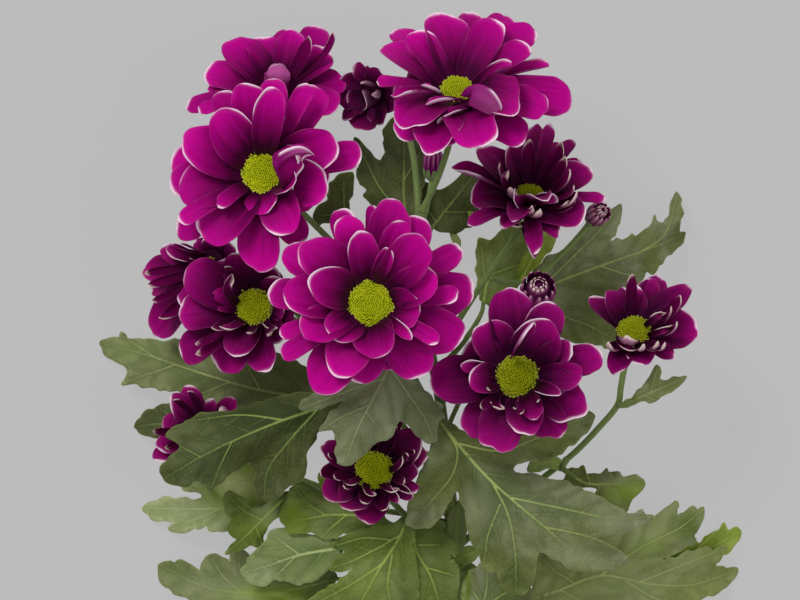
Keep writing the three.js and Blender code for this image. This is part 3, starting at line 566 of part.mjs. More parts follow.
// turned piece about a head's axis; profile is [radius, height above the disc centre]
function turned(profile, c, n, sides) {
  const g = new THREE.LatheGeometry(profile.map(([r, h]) => new THREE.Vector2(r, h)), sides);
  g.applyQuaternion(new THREE.Quaternion().setFromUnitVectors(new THREE.Vector3(0, 1, 0), n));
  g.translate(c.x, c.y, c.z);
  return g;
}

function headFrame(h) {
  const n = V(h.n).normalize();
  const u = new THREE.Vector3(1, 0, 0).addScaledVector(n, -n.x).normalize();
  const v = new THREE.Vector3().crossVectors(n, u);
  return { c: V(h.c), n, u, v };
}

// one ray petal: a strip with an elevation that changes along it
function petal(f, q, grow) {
  const [phi, r0, h0, L, W, e0, e1, pw, , roll, row, kind] = q;
  const curled = kind >= 1 && kind <= 3;
  const S = curled ? [-0.08, 0.45, 1] : row === 0 ? [-0.05, 1] : [-0.05, 0.6, 1];
  const width = (s) => (s < 0.1 ? 0.14 : s < 0.9 ? 1 : row === 0 ? 0.85 : 0.55);
  const a = new THREE.Vector3().addScaledVector(f.u, Math.cos(rad(phi))).addScaledVector(f.v, Math.sin(rad(phi)));
  const b = new THREE.Vector3().crossVectors(f.n, a);
  const at = (s) => {
    const N = 16, p = f.c.clone().addScaledVector(a, r0).addScaledVector(f.n, h0);
    if (s <= 0) return [p.addScaledVector(a, s * L * Math.cos(rad(e0))).addScaledVector(f.n, s * L * Math.sin(rad(e0))), rad(e0)];
    let e = 0;
    for (let i = 0; i < N; i++) {
      e = rad(e0 + (e1 - e0) * Math.pow(((i + 0.5) / N) * s, pw));
      p.addScaledVector(a, (L * s / N) * Math.cos(e)).addScaledVector(f.n, (L * s / N) * Math.sin(e));
    }
    return [p, rad(e0 + (e1 - e0) * Math.pow(s, pw))];
  };
  const g = new THREE.BoxGeometry(1, 1, 1, 1, 1, S.length - 1);
  const P = g.attributes.position;
  for (let i = 0; i < P.count; i++) {
    const k = Math.round((P.getZ(i) + 0.5) * (S.length - 1));
    const s = S[k], [c, e] = at(s);
    const up = a.clone().multiplyScalar(-Math.sin(e)).addScaledVector(f.n, Math.cos(e));
    const w = (kind === 4 ? 0.6 : 0.92) * W * width(s) + 2 * grow;
    const t = PETAL_T + 2 * grow;
    const x = P.getX(i) * w, y = P.getY(i) * t, cr = Math.cos(rad(roll)), sr = Math.sin(rad(roll));
    c.addScaledVector(b, x * cr - y * sr).addScaledVector(up, x * sr + y * cr);
    P.setXYZ(i, c.x, c.y, c.z);
  }
  return g;
}

// leaf blade from its outline and midrib, joined to its stalk and the raised midrib
function blade(l, grow) {
  const t = LEAF_T / 2 + grow;
  const o = l.o.map((p) => [p[0], p[1], Math.max(p[2], LEAF_T / 2)]);
  const mid = l.v[0];
  const near = (q) => o.reduce((best, p, i) => (Math.hypot(p[0] - q[0], p[1] - q[1]) < Math.hypot(o[best][0] - q[0], o[best][1] - q[1]) ? i : best), 0);
  const ib = near(mid[0]), it = near(mid[mid.length - 1]), n = o.length;
  const inner = mid.slice(1, -1).map((p) => [p[0], p[1], Math.max(p[2], LEAF_T / 2)]);
  const verts = o.concat(inner);
  const A = [], B = [];
  for (let i = ib; ; i = (i + 1) % n) { A.push(i); if (i === it) break; }
  for (let i = inner.length - 1; i >= 0; i--) A.push(n + i);
  for (let i = it; ; i = (i + 1) % n) { B.push(i); if (i === ib) break; }
  for (let i = 0; i < inner.length; i++) B.push(n + i);
  const tris = [];
  for (const ring of [A, B]) {
    const c = ring.map((i) => new THREE.Vector2(verts[i][0], verts[i][1]));
    const faces = THREE.ShapeUtils.triangulateShape(c, []);
    const area = faces.reduce((t, f) => t + THREE.ShapeUtils.area(f.map((q) => c[q])), 0);
    for (const f of faces) {
      const [x, y, z] = f.map((q) => ring[q]);
      tris.push(area > 0 ? [x, y, z] : [x, z, y]);
    }
  }
  const ccw = THREE.ShapeUtils.area(o.map((p) => new THREE.Vector2(p[0], p[1]))) > 0;
  const m = verts.length, pos = [], idx = [];
  for (const sgn of [1, -1]) for (const p of verts) pos.push(p[0], p[1], p[2] + sgn * t);
  for (const [x, y, z] of tris) idx.push(x, y, z, x + m, z + m, y + m);
  for (let i = 0; i < n; i++) {
    const j = (i + 1) % n;
    if (ccw) idx.push(i, i + m, j + m, i, j + m, j); else idx.push(i, j + m, i + m, i, j, j + m);
  }
  const g = new THREE.BufferGeometry();
  g.setAttribute('position', new THREE.Float32BufferAttribute(pos, 3));
  g.setIndex(idx);
  return g;
}
function petiolePath(l) {
  const [a, b] = l.v[0];
  const path = l.p.slice().reverse();
  path[path.length - 1] = [a[0], a[1], a[2] - 0.3];
  const d = V(b).sub(V(a)).setLength(4);
  path.push([a[0] + d.x, a[1] + d.y, a[2] + d.z - 0.2]);
  return path;
}

// ---------- pieces: each has its solid and the same shape grown by a margin, which trims its neighbours ----------
const pieces = [];
const box3 = (s) => s.boundingBox();
const meet = (a, b) => {
  const p = box3(a), q = box3(b);
  for (let k = 0; k < 3; k++) if (p.max[k] < q.min[k] || q.max[k] < p.min[k]) return false;
  return true;
};
function piece(name, body, cutters, material) {
  pieces.push({ name, body, cutters, material });
}

const green = (hex) => new THREE.MeshStandardMaterial({ color: hex, roughness: 0.75, metalness: 0 });
const petalMat = (hex) => new THREE.MeshStandardMaterial({ color: hex, roughness: 0.6, metalness: 0 });
const discMat = new THREE.MeshStandardMaterial({ color: 0x8a9a12, roughness: 0.9, metalness: 0 });

// main stem with a slanted cut end
{
  const make = (grow) => solid(bar(MAIN, STEM_R_CUT + grow, STEM_R_TOP + grow, 14, 8));
  const [x, y, z] = MAIN[0];
  const wedge = new THREE.BoxGeometry(30, 30, 30);
  wedge.translate(0, -15, 0);
  wedge.rotateX(-rad(CUT_ANGLE));
  wedge.translate(x, y + 5, z);
  piece('main_stem', make(0).subtract(solid(wedge)), [make(0.12)], green(0x5f7436));
}

const RAY_TONE = { '04': 0x4a0a34, '11': 0x8e1860, '09': 0xa01268, '12': 0x9a1e6c };
for (const h of HEADS) {
  const k = h.id;
  const f = headFrame(h), rd = h.rd;
  const hub = solid(turned([[0, -3.4], [0.6 * rd, -3.3], [1.03 * rd, -1.2], [1.03 * rd, 0.5], [0.88 * rd, 0.5], [0.87 * rd, -0.8], [0, -0.8]], f.c, f.n, 9));
  const list = h.pet.map((q) => solid(petal(f, q, 0)));
  const discCut = solid(turned([[0, -0.8], [0.86 * rd, -0.8], [0.86 * rd, 0.9], [0.45 * rd, 2.3], [0, 2.5]], f.c, f.n, 9));
  const underCut = solid(turned([[0, -14], [0.9 * rd, -14], [1.2 * rd, -5.6], [0.62 * rd, -3.65], [0, -3.65]], f.c, f.n, 9));
  const rays = join([hub, ...list]).subtract(h.disc ? join([discCut, underCut]) : underCut);
  piece(`head_${k}_rays`, rays, [hub, ...h.pet.map((q) => solid(petal(f, q, GAP)))], petalMat(RAY_TONE[k] ?? 0xa8086f));
  if (h.disc) {
    piece(`head_${k}_disc`, solid(turned([[0, -0.5], [0.8 * rd, -0.5], [0.8 * rd, 0.6], [0.42 * rd, 1.8], [0, 2.1]], f.c, f.n, 9)), [discCut], discMat);
  }
}
for (const h of HEADS) {
  const k = h.id;
  const f = headFrame(h), rd = h.rd;
  const make = (g) => {
    const top = f.c.clone().addScaledVector(f.n, -7.0), dn = f.c.clone().addScaledVector(f.n, -11.5);
    const path = [[top.x, top.y, top.z], [dn.x, dn.y, dn.z], ...h.stalk];
    const calyx = turned([[0, -8.4 - g], [0.5 * rd + g, -6.5 - g], [0.84 * rd + g, -4.6 - g], [0.55 * rd, -3.95 + g], [0, -3.95 + g]], f.c, f.n, 9);
    return join([solid(calyx), solid(bar(path, STALK_R + g, STALK_R + 0.1 + g, path.length + 3, 5))]);
  };
  piece(`head_${k}_stalk`, make(0), [make(0.2)], green(0x66803a));
}
for (const q of BUDS) {
  const k = q.id;
  const f = headFrame({ c: q.c, n: q.n });
  const make = (g) => {
    const ball = turned([[0, -q.h * 0.55], [q.r * 0.62 + g, -q.h * 0.46], [q.r + g, -q.h * 0.15], [q.r * 0.98 + g, q.h * 0.12], [q.r * 0.7 + g, q.h * 0.38 + g], [0, q.h * 0.5 + g]], f.c, f.n, 8);
    const low = f.c.clone().addScaledVector(f.n, -q.h * 0.4);
    const path = [[low.x, low.y, low.z], ...q.stalk];
    return join([solid(ball), solid(bar(path, 0.85 + g, 0.95 + g, 2 * path.length, 5))]);
  };
  piece(`bud_${k}`, make(0), [make(0.2)], petalMat(0x8c2a6c));
}
const LEAF_TONE = { '01': 0x7d8650, '02': 0x3c4a26, '03': 0x46502a, '04': 0x6a7458, '05': 0x66723f, '06': 0x86964e, '07': 0x96ad3c, '08': 0x44552a, '09': 0x66783a, '10': 0x687444, '11': 0x42502c, '12': 0x3a4a26, '13': 0x5a7234, '14': 0x88a03a, '15': 0x8f9a6a, '16': 0x76845a, '17': 0x8c9766, '18': 0x7e8b5c, '19': 0x66744e, '20': 0x48582e, '21': 0x5c6a3a, '22': 0x60703a, '24': 0x60703a };
for (const l of LEAVES) {
  const k = l.id;
  const path = petiolePath(l);
  const stalk = (g) => solid(bar(path, PETIOLE_R + g, PETIOLE_R * 0.8 + g, Math.max(4, 2 * path.length - 2), 5));
  piece(`leaf_${k}`, join([solid(blade(l, 0)), stalk(0)]), [solid(blade(l, GAP)), stalk(0.2)], green(LEAF_TONE[k] ?? 0x4c5a2c));
}

// ---------- trim: a piece gives way to those before it ----------
const group = new THREE.Group();
group.name = 'alamos_chrysanthemum';
pieces.forEach((p, j) => {
  let s = p.body;
  for (let i = 0; i < j; i++) {
    const q = pieces[i];
    if (!meet(s, q.body)) continue;
    for (const c of q.cutters) {
      if (!meet(s, c)) continue;
      const r = s.subtract(c);
      if (Math.abs(r.volume() - s.volume()) > 1e-6) s = r;
    }
  }
  const whole = s.volume();
  s = biggest(s);
  p.body = s;
  const m = s.getMesh();
  const g = new THREE.BufferGeometry();
  const pos = new Float32Array(m.vertProperties);
  for (let i = 0; i < pos.length; i += 3) { pos[i] += SHIFT[0]; pos[i + 1] += SHIFT[1]; pos[i + 2] += SHIFT[2]; }
  g.setAttribute('position', new THREE.BufferAttribute(pos, 3));
  g.setIndex(new THREE.BufferAttribute(new Uint32Array(m.triVerts), 1));
  g.computeVertexNormals();
  const mesh = new THREE.Mesh(g, p.material);
  mesh.name = p.name;
  group.add(mesh);
});

export default group;
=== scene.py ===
# Cut spray chrysanthemum lying on its back: procedural petals, discs, calyces, stalks and leaves.
# Tables are millimetres in the object's own frame before SHIFT; every mesh is built in metres.
import bpy, bmesh, math, random
import numpy as np
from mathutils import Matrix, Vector
from mathutils.geometry import delaunay_2d_cdt
from mathutils.kdtree import KDTree


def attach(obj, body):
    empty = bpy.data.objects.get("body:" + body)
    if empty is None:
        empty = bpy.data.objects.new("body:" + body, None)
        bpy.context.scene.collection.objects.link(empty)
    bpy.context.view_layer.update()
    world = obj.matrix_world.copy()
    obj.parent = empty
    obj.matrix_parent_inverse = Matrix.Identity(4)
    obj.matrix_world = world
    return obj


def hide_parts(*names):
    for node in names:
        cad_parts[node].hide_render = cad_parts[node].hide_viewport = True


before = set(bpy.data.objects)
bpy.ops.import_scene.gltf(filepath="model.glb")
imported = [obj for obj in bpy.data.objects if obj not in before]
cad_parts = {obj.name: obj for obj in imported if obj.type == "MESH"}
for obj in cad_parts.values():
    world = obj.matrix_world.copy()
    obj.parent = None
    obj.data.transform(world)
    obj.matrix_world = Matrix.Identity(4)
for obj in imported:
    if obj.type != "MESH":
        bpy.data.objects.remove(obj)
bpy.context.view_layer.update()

SHIFT = np.array([-7.15, 121.703, 0])
MM = 0.001
CAM_H = 1500.0
FOCAL_PX = 4290.0
PETAL_T = 0.34
LEAF_T = 0.42

MAIN = [[25.8, -345.4, 3.2], [24.4, -285.8, 5], [23, -229.5, 8], [21.8, -173.3, 13], [21.1, -131.3, 18], [20, -103.4, 22], [18.9, -82.4, 27], [16.8, -61.6, 32], [13.6, -34.1, 37], [9.5, -13.6, 40], [5.8, 3.4, 43], [5.8, 16.9, 47], [7.4, 29.7, 54]]
# head: c disc centre, n facing, rd disc radius, open 0 full .. 2 half, tone colour group, stalk points
# petal: azimuth, base radius, base height, length, width, base and tip elevation, curl power, cupping, roll, row, kind
HEADS = [
    {"id": "06",
     "c": [-9.76, -0.98, 104],
     "n": [0.03, 0.03, 0.9991],
     "rd": 7.81,
     "open": 0,
     "disc": 1,
     "pet": [
         [109.3, 4.84, -2.2, 27.7, 8.1, 10, -16, 1, 0.45, 4.3, 0, 0],
         [107, 6.25, -1, 24.3, 9.1, 32, -2, 1, 0.6, 9.3, 1, 0],
         [89.3, 4.84, -2.2, 27.6, 4.2, 10, -16, 1, 0.45, 9.8, 0, 0],
         [75.8, 4.84, -2.2, 30.3, 12.7, 10, -16, 1, 0.45, 10.8, 0, 0],
         [56.3, 4.84, -2.2, 28.6, 10.4, 10, -16, 1, 0.45, 4.5, 0, 0],
         [68.2, 6.25, -1, 23.4, 8.8, 32, -2, 1, 0.6, 10.7, 1, 0],
         [49.2, 7.19, 0.2, 24.5, 14, 55, 12, 1, 0.8, 12.2, 2, 0],
         [30.8, 4.84, -2.2, 30.2, 7.8, 10, -16, 1, 0.45, 10.3, 0, 0],
         [20.5, 7.19, 0.2, 19.7, 12.4, 55, 12, 1, 0.8, 7.9, 2, 0],
         [5.7, 4.84, -2.2, 29.7, 13.7, 10, -16, 1, 0.45, 9.5, 0, 0],
         [5.6, 6.25, -1, 23.8, 6.2, 32, -2, 1, 0.6, 11.2, 1, 0],
         [353.7, 7.19, 0.2, 11.5, 13, 56, 13, 1, 0.8, 13.2, 2, 0],
         [337.8, 4.84, -2.2, 28, 14.3, 10, -16, 1, 0.45, 11, 0, 0],
         [331.8, 6.25, -1, 20.4, 5.5, 32, -2, 1, 0.6, 11.2, 1, 0],
         [307.6, 4.84, -2.2, 24.9, 13, 10, -16, 1, 0.45, 8.6, 0, 0],
         [315.4, 7.65, 0.8, 18.3, 5.9, 70, 40, 1, 2.2, 1.8, 3, 4],
         [278.5, 7.19, 0.2, 14.1, 14, 56, 13, 1, 0.8, 12.6, 2, 0],
         [263.8, 4.84, -2.2, 21.9, 13, 10, -16, 1, 0.45, 4.9, 0, 0],
         [248.1, 6.25, -1, 21.2, 13.7, 32, -2, 1, 0.6, 12.2, 1, 0],
         [238.8, 4.84, -2.2, 29.3, 14.3, 10, -16, 1, 0.45, 6.6, 0, 0],
         [224.4, 7.19, 0.2, 12.2, 12, 56, 13, 1, 0.8, 7.3, 2, 0],
         [206.8, 6.25, -1, 19.5, 12, 32, -2, 1, 0.6, 14, 1, 0],
         [211.5, 4.84, -2.2, 29, 6.5, 10, -16, 1, 0.45, 7.6, 0, 0],
         [198.9, 4.84, -2.2, 26.4, 5.5, 10, -16, 1, 0.45, 10.8, 0, 0],
         [176.4, 6.25, -1, 23.3, 13.7, 32, -2, 1, 0.6, 12.9, 1, 0],
         [173.7, 4.84, -2.2, 28.8, 9.1, 10, -16, 1, 0.45, 6.1, 0, 0],
         [157.9, 7.19, 0.2, 17.7, 13.3, 56, 13, 1, 0.8, 6.1, 2, 0],
         [135.9, 6.25, -1, 24, 14.3, 32, -2, 1, 0.6, 10.8, 1, 0],
         [148.9, 4.84, -2.2, 28.5, 10.4, 10, -16, 1, 0.45, 11.9, 0, 0],
         [100.2, 7.19, 0.2, 19.9, 10.1, 55, 12, 1, 0.8, 10.3, 2, 0],
         [73.2, 7.65, 0.8, 19.7, 6.2, 71, 41, 1, 0.9, 0.5, 3, 0],
     ],
     "stalk": [[-8.9, -3, 86], [-6.7, -6.7, 70], [-1.3, -14.8, 55], [6.8, -29.8, 45], [14.8, -44.7, 35.1]],
    },
    {"id": "02",
     "c": [-45.16, 41.56, 96],
     "n": [-0.08, -0.02, 0.9966],
     "rd": 6.87,
     "open": 0,
     "disc": 1,
     "pet": [
         [117.6, 4.26, -2.2, 26, 8.2, 10, -16, 1, 0.45, 11.9, 0, 0],
         [98.9, 5.5, -1, 25.4, 10.8, 32, -2, 1, 0.6, 9.8, 1, 0],
         [82.8, 4.26, -2.2, 27.1, 8.8, 10, -16, 1, 0.45, 11.7, 0, 0],
         [80, 6.32, 0.2, 26.5, 9.8, 54, 11, 1, 0.8, 7.7, 2, 0],
         [61.3, 5.5, -1, 28.8, 6.5, 32, -2, 1, 0.6, 12.7, 1, 0],
         [55.2, 4.26, -2.2, 30, 10.1, 10, -16, 1, 0.45, 4.5, 0, 0],
         [72.5, 6.32, 0.2, 20.1, 5.6, 55, 12, 1, 0.8, 10.7, 2, 0],
         [27, 5.5, -1, 22.7, 13.7, 32, -2, 1, 0.6, 13.3, 1, 0],
         [12.6, 4.26, -2.2, 29, 8.8, 10, -16, 1, 0.45, 7.8, 0, 0],
         [350, 5.5, -1, 18.1, 14.4, 32, -2, 1, 0.6, 8.7, 1, 0],
         [301.3, 5.5, -1, 17.6, 13.1, 32, -2, 1, 0.6, 11.9, 1, 0],
         [298.5, 4.26, -2.2, 22.1, 9.2, 10, -16, 1, 0.45, 9.4, 0, 0],
         [266.9, 4.26, -2.2, 28.2, 12.8, 10, -16, 1, 0.45, 10.5, 0, 0],
         [276.6, 6.32, 0.2, 8.9, 11.1, 56, 13, 1, 0.8, 13.8, 2, 0],
         [233, 5.5, -1, 24.8, 14.7, 32, -2, 1, 0.6, 9.8, 1, 0],
         [214.2, 4.26, -2.2, 31, 9.2, 10, -16, 1, 0.45, 4.3, 0, 0],
         [210.8, 5.5, -1, 26.4, 6.2, 32, -2, 1, 0.6, 10.5, 1, 0],
         [193.1, 5.5, -1, 23.1, 14.4, 32, -2, 1, 0.6, 8.4, 1, 0],
         [184.8, 4.26, -2.2, 26.9, 11.1, 10, -16, 1, 0.45, 11.9, 0, 0],
         [169.4, 4.26, -2.2, 26.7, 11.1, 10, -16, 1, 0.45, 7.1, 0, 0],
         [155.5, 5.5, -1, 23.2, 14.4, 32, -2, 1, 0.6, 6.4, 1, 0],
         [128.1, 6.32, 0.2, 22, 14.4, 55, 12, 1, 0.8, 8.3, 2, 0],
         [217.9, 6.32, 0.2, 13.9, 5.6, 56, 13, 1, 0.8, 13.5, 2, 0],
         [346.7, 6.32, 0.2, 15.1, 13.7, 64, 60, 1, 0.8, 0.1, 2, 5],
         [25.5, 6.74, 0.8, 20.7, 9.8, 35, 113, 1.5, 0.9, 1.4, 3, 2],
     ],
     "stalk": [[-43.1, 39.4, 78], [-32.5, 29.1, 63], [-16.9, 13.5, 53], [9.6, -14, 40]],
    },
    {"id": "09",
     "c": [38.45, -24.98, 90],
     "n": [-0.02, 0.08, 0.9966],
     "rd": 7.23,
     "open": 1,
     "disc": 1,
     "pet": [
         [98.8, 4.48, -2.2, 25.3, 13.5, 15, -12, 1, 0.45, 10.9, 0, 0],
         [84.1, 4.48, -2.2, 22, 8.5, 15, -12, 1, 0.45, 9.9, 0, 0],
         [63.8, 4.48, -2.2, 22.7, 11.8, 15, -12, 1, 0.45, 10.8, 0, 0],
         [59.4, 5.78, -1, 16.1, 15.1, 37, 2, 1, 0.6, 12.8, 1, 0],
         [29.6, 5.78, -1, 16.1, 8.9, 37, 2, 1, 0.6, 12.9, 1, 0],
         [15.9, 4.48, -2.2, 24.9, 9.5, 15, -12, 1, 0.45, 11.1, 0, 0],
         [357.4, 5.78, -1, 17.1, 8.5, 37, 2, 1, 0.6, 7.6, 1, 0],
         [337.9, 4.48, -2.2, 20.9, 15.1, 15, -12, 1, 0.45, 8.9, 0, 0],
         [332.5, 7.09, 0.8, 18.3, 6.4, 75, 44, 1, 2.2, 5.7, 3, 4],
         [304.5, 4.48, -2.2, 20, 11.2, 15, -12, 1, 0.45, 8.9, 0, 0],
         [283.8, 5.78, -1, 15.6, 11.5, 37, 2, 1, 0.6, 10.7, 1, 0],
         [291.9, 6.65, 0.2, 12.9, 7.9, 61, 17, 1, 0.8, 7.5, 2, 0],
         [276.4, 7.09, 0.8, 14.7, 3, 45, 148, 1.6, 1.1, 8, 3, 1],
         [307.2, 7.09, 0.8, 14.1, 3, 56, 159, 1.6, 1.1, 1.2, 3, 1],
         [252.8, 4.48, -2.2, 21.5, 13.5, 15, -12, 1, 0.45, 10.4, 0, 0],
         [228, 4.48, -2.2, 20.8, 10.5, 15, -12, 1, 0.45, 11.2, 0, 0],
         [223.7, 7.09, 0.8, 16.8, 4.6, 27, 130, 1.6, 1.1, 4.2, 3, 1],
         [185.6, 4.48, -2.2, 24.8, 14.8, 15, -12, 1, 0.45, 9.7, 0, 0],
         [186.4, 6.65, 0.2, 12.2, 10.2, 61, 17, 1, 0.8, 8.2, 2, 0],
         [171.6, 5.78, -1, 14.2, 6.9, 37, 2, 1, 2.2, 6.9, 1, 4],
         [207.2, 7.09, 0.8, 14, 3.3, 59, 162, 1.6, 1.1, 7.4, 3, 1],
         [149.6, 4.48, -2.2, 15.5, 11.5, 15, -12, 1, 0.45, 9.8, 0, 0],
         [123.3, 5.78, -1, 16.3, 13.1, 37, 2, 1, 0.6, 6.9, 1, 0],
     ],
     "stalk": [[37.3, -27.9, 73], [32.2, -33.6, 60], [24.4, -43.4, 46], [16.1, -56.1, 33]],
    },
    {"id": "03",
     "c": [18.76, 69.12, 88],
     "n": [0.05, 0.62, 0.783],
     "rd": 6.58,
     "open": 0,
     "disc": 1,
     "pet": [
         [97.9, 5.27, -1, 25.7, 14.5, 32, -2, 1, 0.6, 8.1, 1, 0],
         [82.3, 4.08, -2.2, 32.9, 9.2, 10, -16, 1, 0.45, 4.9, 0, 0],
         [63.6, 5.27, -1, 24.1, 13.2, 32, -2, 1, 0.6, 8.4, 1, 0],
         [66.2, 4.08, -2.2, 39.2, 8.9, 11, -15, 1, 0.45, 10.8, 0, 0],
         [51.8, 4.08, -2.2, 35.5, 13.2, 11, -15, 1, 0.45, 5.2, 0, 0],
         [34.6, 5.27, -1, 25.1, 7.9, 32, -2, 1, 0.6, 11.4, 1, 0],
         [16.4, 6.06, 0.2, 15.2, 4.9, 55, 12, 1, 2.2, 9.3, 2, 4],
         [28.3, 4.08, -2.2, 31.1, 5.4, 10, -16, 1, 2.2, 7.3, 0, 4],
         [3, 4.08, -2.2, 34.6, 13.2, 10, -16, 1, 0.45, 9.5, 0, 0],
         [341.4, 5.27, -1, 27.7, 11.2, 32, -2, 1, 0.6, 8.6, 1, 0],
         [327.8, 6.06, 0.2, 24.1, 14.8, 54, 11, 1, 0.8, 7.6, 2, 0],
         [301.4, 6.45, 0.8, 19.5, 11.8, 25, 103, 1.5, 0.9, 3.6, 3, 2],
         [316.1, 4.08, -2.2, 24.4, 11.2, 10, -16, 1, 0.45, 6.9, 0, 0],
         [274.1, 5.27, -1, 27.8, 15.1, 32, -2, 1, 0.6, 8.3, 1, 0],
         [254.8, 5.27, -1, 29.6, 13.8, 32, -2, 1, 0.6, 10.2, 1, 0],
         [223.5, 4.08, -2.2, 22.3, 10.5, 10, -16, 1, 0.45, 11.2, 0, 0],
         [211.5, 5.27, -1, 26.1, 14.5, 32, -2, 1, 0.6, 10.5, 1, 0],
         [180.3, 5.27, -1, 22.4, 5.6, 32, -2, 1, 0.6, 11.3, 1, 0],
         [213.8, 6.06, 0.2, 24.3, 4.4, 52, 9, 1, 2.2, 6, 2, 4],
         [208.8, 6.45, 0.8, 15, 3.9, 28, 131, 1.6, 1.1, 2.3, 3, 1],
         [231.2, 6.45, 0.8, 16.7, 3.6, 6, 109, 1.6, 1.1, 2.2, 3, 1],
         [252.2, 6.45, 0.8, 20.5, 3.9, -3, 100, 1.6, 1.1, 0.3, 3, 1],
         [274.3, 6.45, 0.8, 15.1, 3.6, 14, 117, 1.6, 1.1, 5.3, 3, 1],
         [140.7, 4.08, -2.2, 27.5, 12.2, 10, -16, 1, 0.45, 7.5, 0, 0],
         [123.9, 4.08, -2.2, 33.2, 8.9, 10, -16, 1, 0.45, 6.8, 0, 0],
         [131.4, 5.27, -1, 20.4, 10.2, 32, -2, 1, 0.6, 6.6, 1, 0],
     ],
     "stalk": [[17.3, 55.8, 74], [13.4, 42.8, 64], [7.4, 29.7, 54]],
    },
    {"id": "11",
     "c": [-8.69, -56.83, 66],
     "n": [0, 0.02, 0.9998],
     "rd": 6.69,
     "open": 1,
     "disc": 1,
     "pet": [
         [67.9, 5.35, -1, 17.2, 7, 37, 2, 1, 2.2, 9.8, 1, 4],
         [63, 6.55, 0.8, 17.4, 3, 24, 127, 1.6, 1.1, 0.7, 3, 1],
         [40.2, 4.14, -2.2, 16.2, 11.4, 15, -12, 1, 0.45, 7.9, 0, 0],
         [17.4, 4.14, -2.2, 14.9, 7.7, 15, -12, 1, 0.45, 9.1, 0, 0],
         [26.5, 6.55, 0.8, 16.3, 3, 31, 134, 1.6, 1.1, 7.4, 3, 1],
         [25.7, 6.55, 0.8, 14.8, 3.3, 45, 148, 1.6, 1.1, 6.3, 3, 1],
         [357.3, 4.14, -2.2, 10.7, 8, 15, -12, 1, 0.45, 7.2, 0, 0],
         [340.9, 6.55, 0.8, 14.2, 4.3, 56, 159, 1.6, 1.1, 0.2, 3, 1],
         [335.9, 4.14, -2.2, 12.5, 7, 15, -12, 1, 2.2, 7.7, 0, 4],
         [325.9, 4.14, -2.2, 12.1, 7, 15, -12, 1, 2.2, 9.8, 0, 4],
         [306.2, 5.35, -1, 8.9, 5.5, 37, 2, 1, 2.2, 12.3, 1, 4],
         [285.3, 5.35, -1, 16.2, 6.7, 33, 136, 1.6, 1.1, 2.3, 1, 1],
         [253.5, 6.15, 0.2, 14.5, 5.7, 50, 153, 1.6, 1.1, 6.7, 2, 1],
         [261.6, 4.14, -2.2, 14.3, 12.4, 15, -12, 1, 0.45, 6.3, 0, 0],
         [232.5, 4.14, -2.2, 12.5, 11.4, 15, -12, 1, 0.45, 5.2, 0, 0],
         [203, 4.14, -2.2, 14.9, 11.4, 15, -12, 1, 0.45, 6.4, 0, 0],
         [181.9, 5.35, -1, 19.8, 6.7, 14, 117, 1.6, 1.1, 7.3, 1, 1],
         [189.1, 6.55, 0.8, 15.3, 4.7, 40, 143, 1.6, 1.1, 2.7, 3, 1],
         [209.4, 6.15, 0.2, 14.5, 4.7, 50, 153, 1.6, 1.1, 0.7, 2, 1],
         [160.4, 6.55, 0.8, 17.2, 3.3, 26, 129, 1.6, 1.1, 6.5, 3, 1],
         [156.2, 5.35, -1, 15.8, 8.4, 37, 2, 1, 0.6, 14, 1, 0],
         [136.7, 4.14, -2.2, 13.5, 6, 15, -12, 1, 2.2, 9.8, 0, 4],
         [113.8, 4.14, -2.2, 14.2, 8.7, 15, -12, 1, 0.45, 5.5, 0, 0],
         [90, 4.14, -2.2, 13.3, 8.7, 15, -12, 1, 0.45, 11.3, 0, 0],
         [74, 5.35, -1, 10, 7.4, 37, 2, 1, 0.6, 7, 1, 0],
     ],
     "stalk": [[-8.4, -59.7, 52], [-4.1, -66.6, 42], [4.1, -75.9, 33], [19.3, -90.1, 25.2]],
    },
    {"id": "05",
     "c": [43.33, 34.67, 70],
     "n": [0.06, 0.66, 0.7489],
     "rd": 5,
     "open": 2,
     "disc": 1,
     "pet": [
         [84.2, 3.1, -2.2, 29.3, 10.7, 22, -6, 1, 0.45, 9.5, 0, 0],
         [75.9, 3.1, -2.2, 28.6, 4.7, 22, -6, 1, 0.45, 8.6, 0, 0],
         [68.7, 3.1, -2.2, 24.6, 8, 22, -6, 1, 0.45, 9.6, 0, 0],
         [58.3, 3.1, -2.2, 25.2, 4.7, 22, -6, 1, 0.45, 4.1, 0, 0],
         [46, 3.1, -2.2, 22.5, 6, 22, -6, 1, 0.45, 8.4, 0, 0],
         [29.2, 3.1, -2.2, 21, 10.7, 22, -6, 1, 0.45, 9.7, 0, 0],
         [1.2, 3.1, -2.2, 22.7, 4.3, 22, -6, 1, 0.45, 7.5, 0, 0],
         [322.8, 3.1, -2.2, 19, 14, 23, -5, 1, 0.45, 4.7, 0, 0],
         [271.1, 3.1, -2.2, 27.2, 6, 22, -6, 1, 0.45, 10.4, 0, 0],
         [222.4, 3.1, -2.2, 25.9, 5.7, 22, -6, 1, 0.45, 7.2, 0, 0],
         [173.4, 3.1, -2.2, 17.4, 12, 22, -6, 1, 0.45, 11.6, 0, 0],
         [158.8, 3.1, -2.2, 25.4, 7, 22, -6, 1, 2.2, 4.3, 0, 4],
         [133.1, 3.1, -2.2, 19.5, 10, 22, -6, 1, 0.45, 8.6, 0, 0],
         [113.2, 4, -1, 15.1, 8.7, 44, 8, 1, 0.6, 11.8, 1, 0],
         [96.8, 4.6, 0.2, 17.5, 5.7, 45, 148, 1.6, 1.1, 2.9, 2, 1],
         [170.8, 4.9, 0.8, 15.2, 4.3, 42, 145, 1.6, 1.1, 5, 3, 1],
         [47.4, 4, -1, 20.7, 7.3, 34, 137, 1.6, 1.1, 4.8, 1, 1],
         [24.4, 4.6, 0.2, 16.8, 6.3, 41, 144, 1.6, 1.1, 4.3, 2, 1],
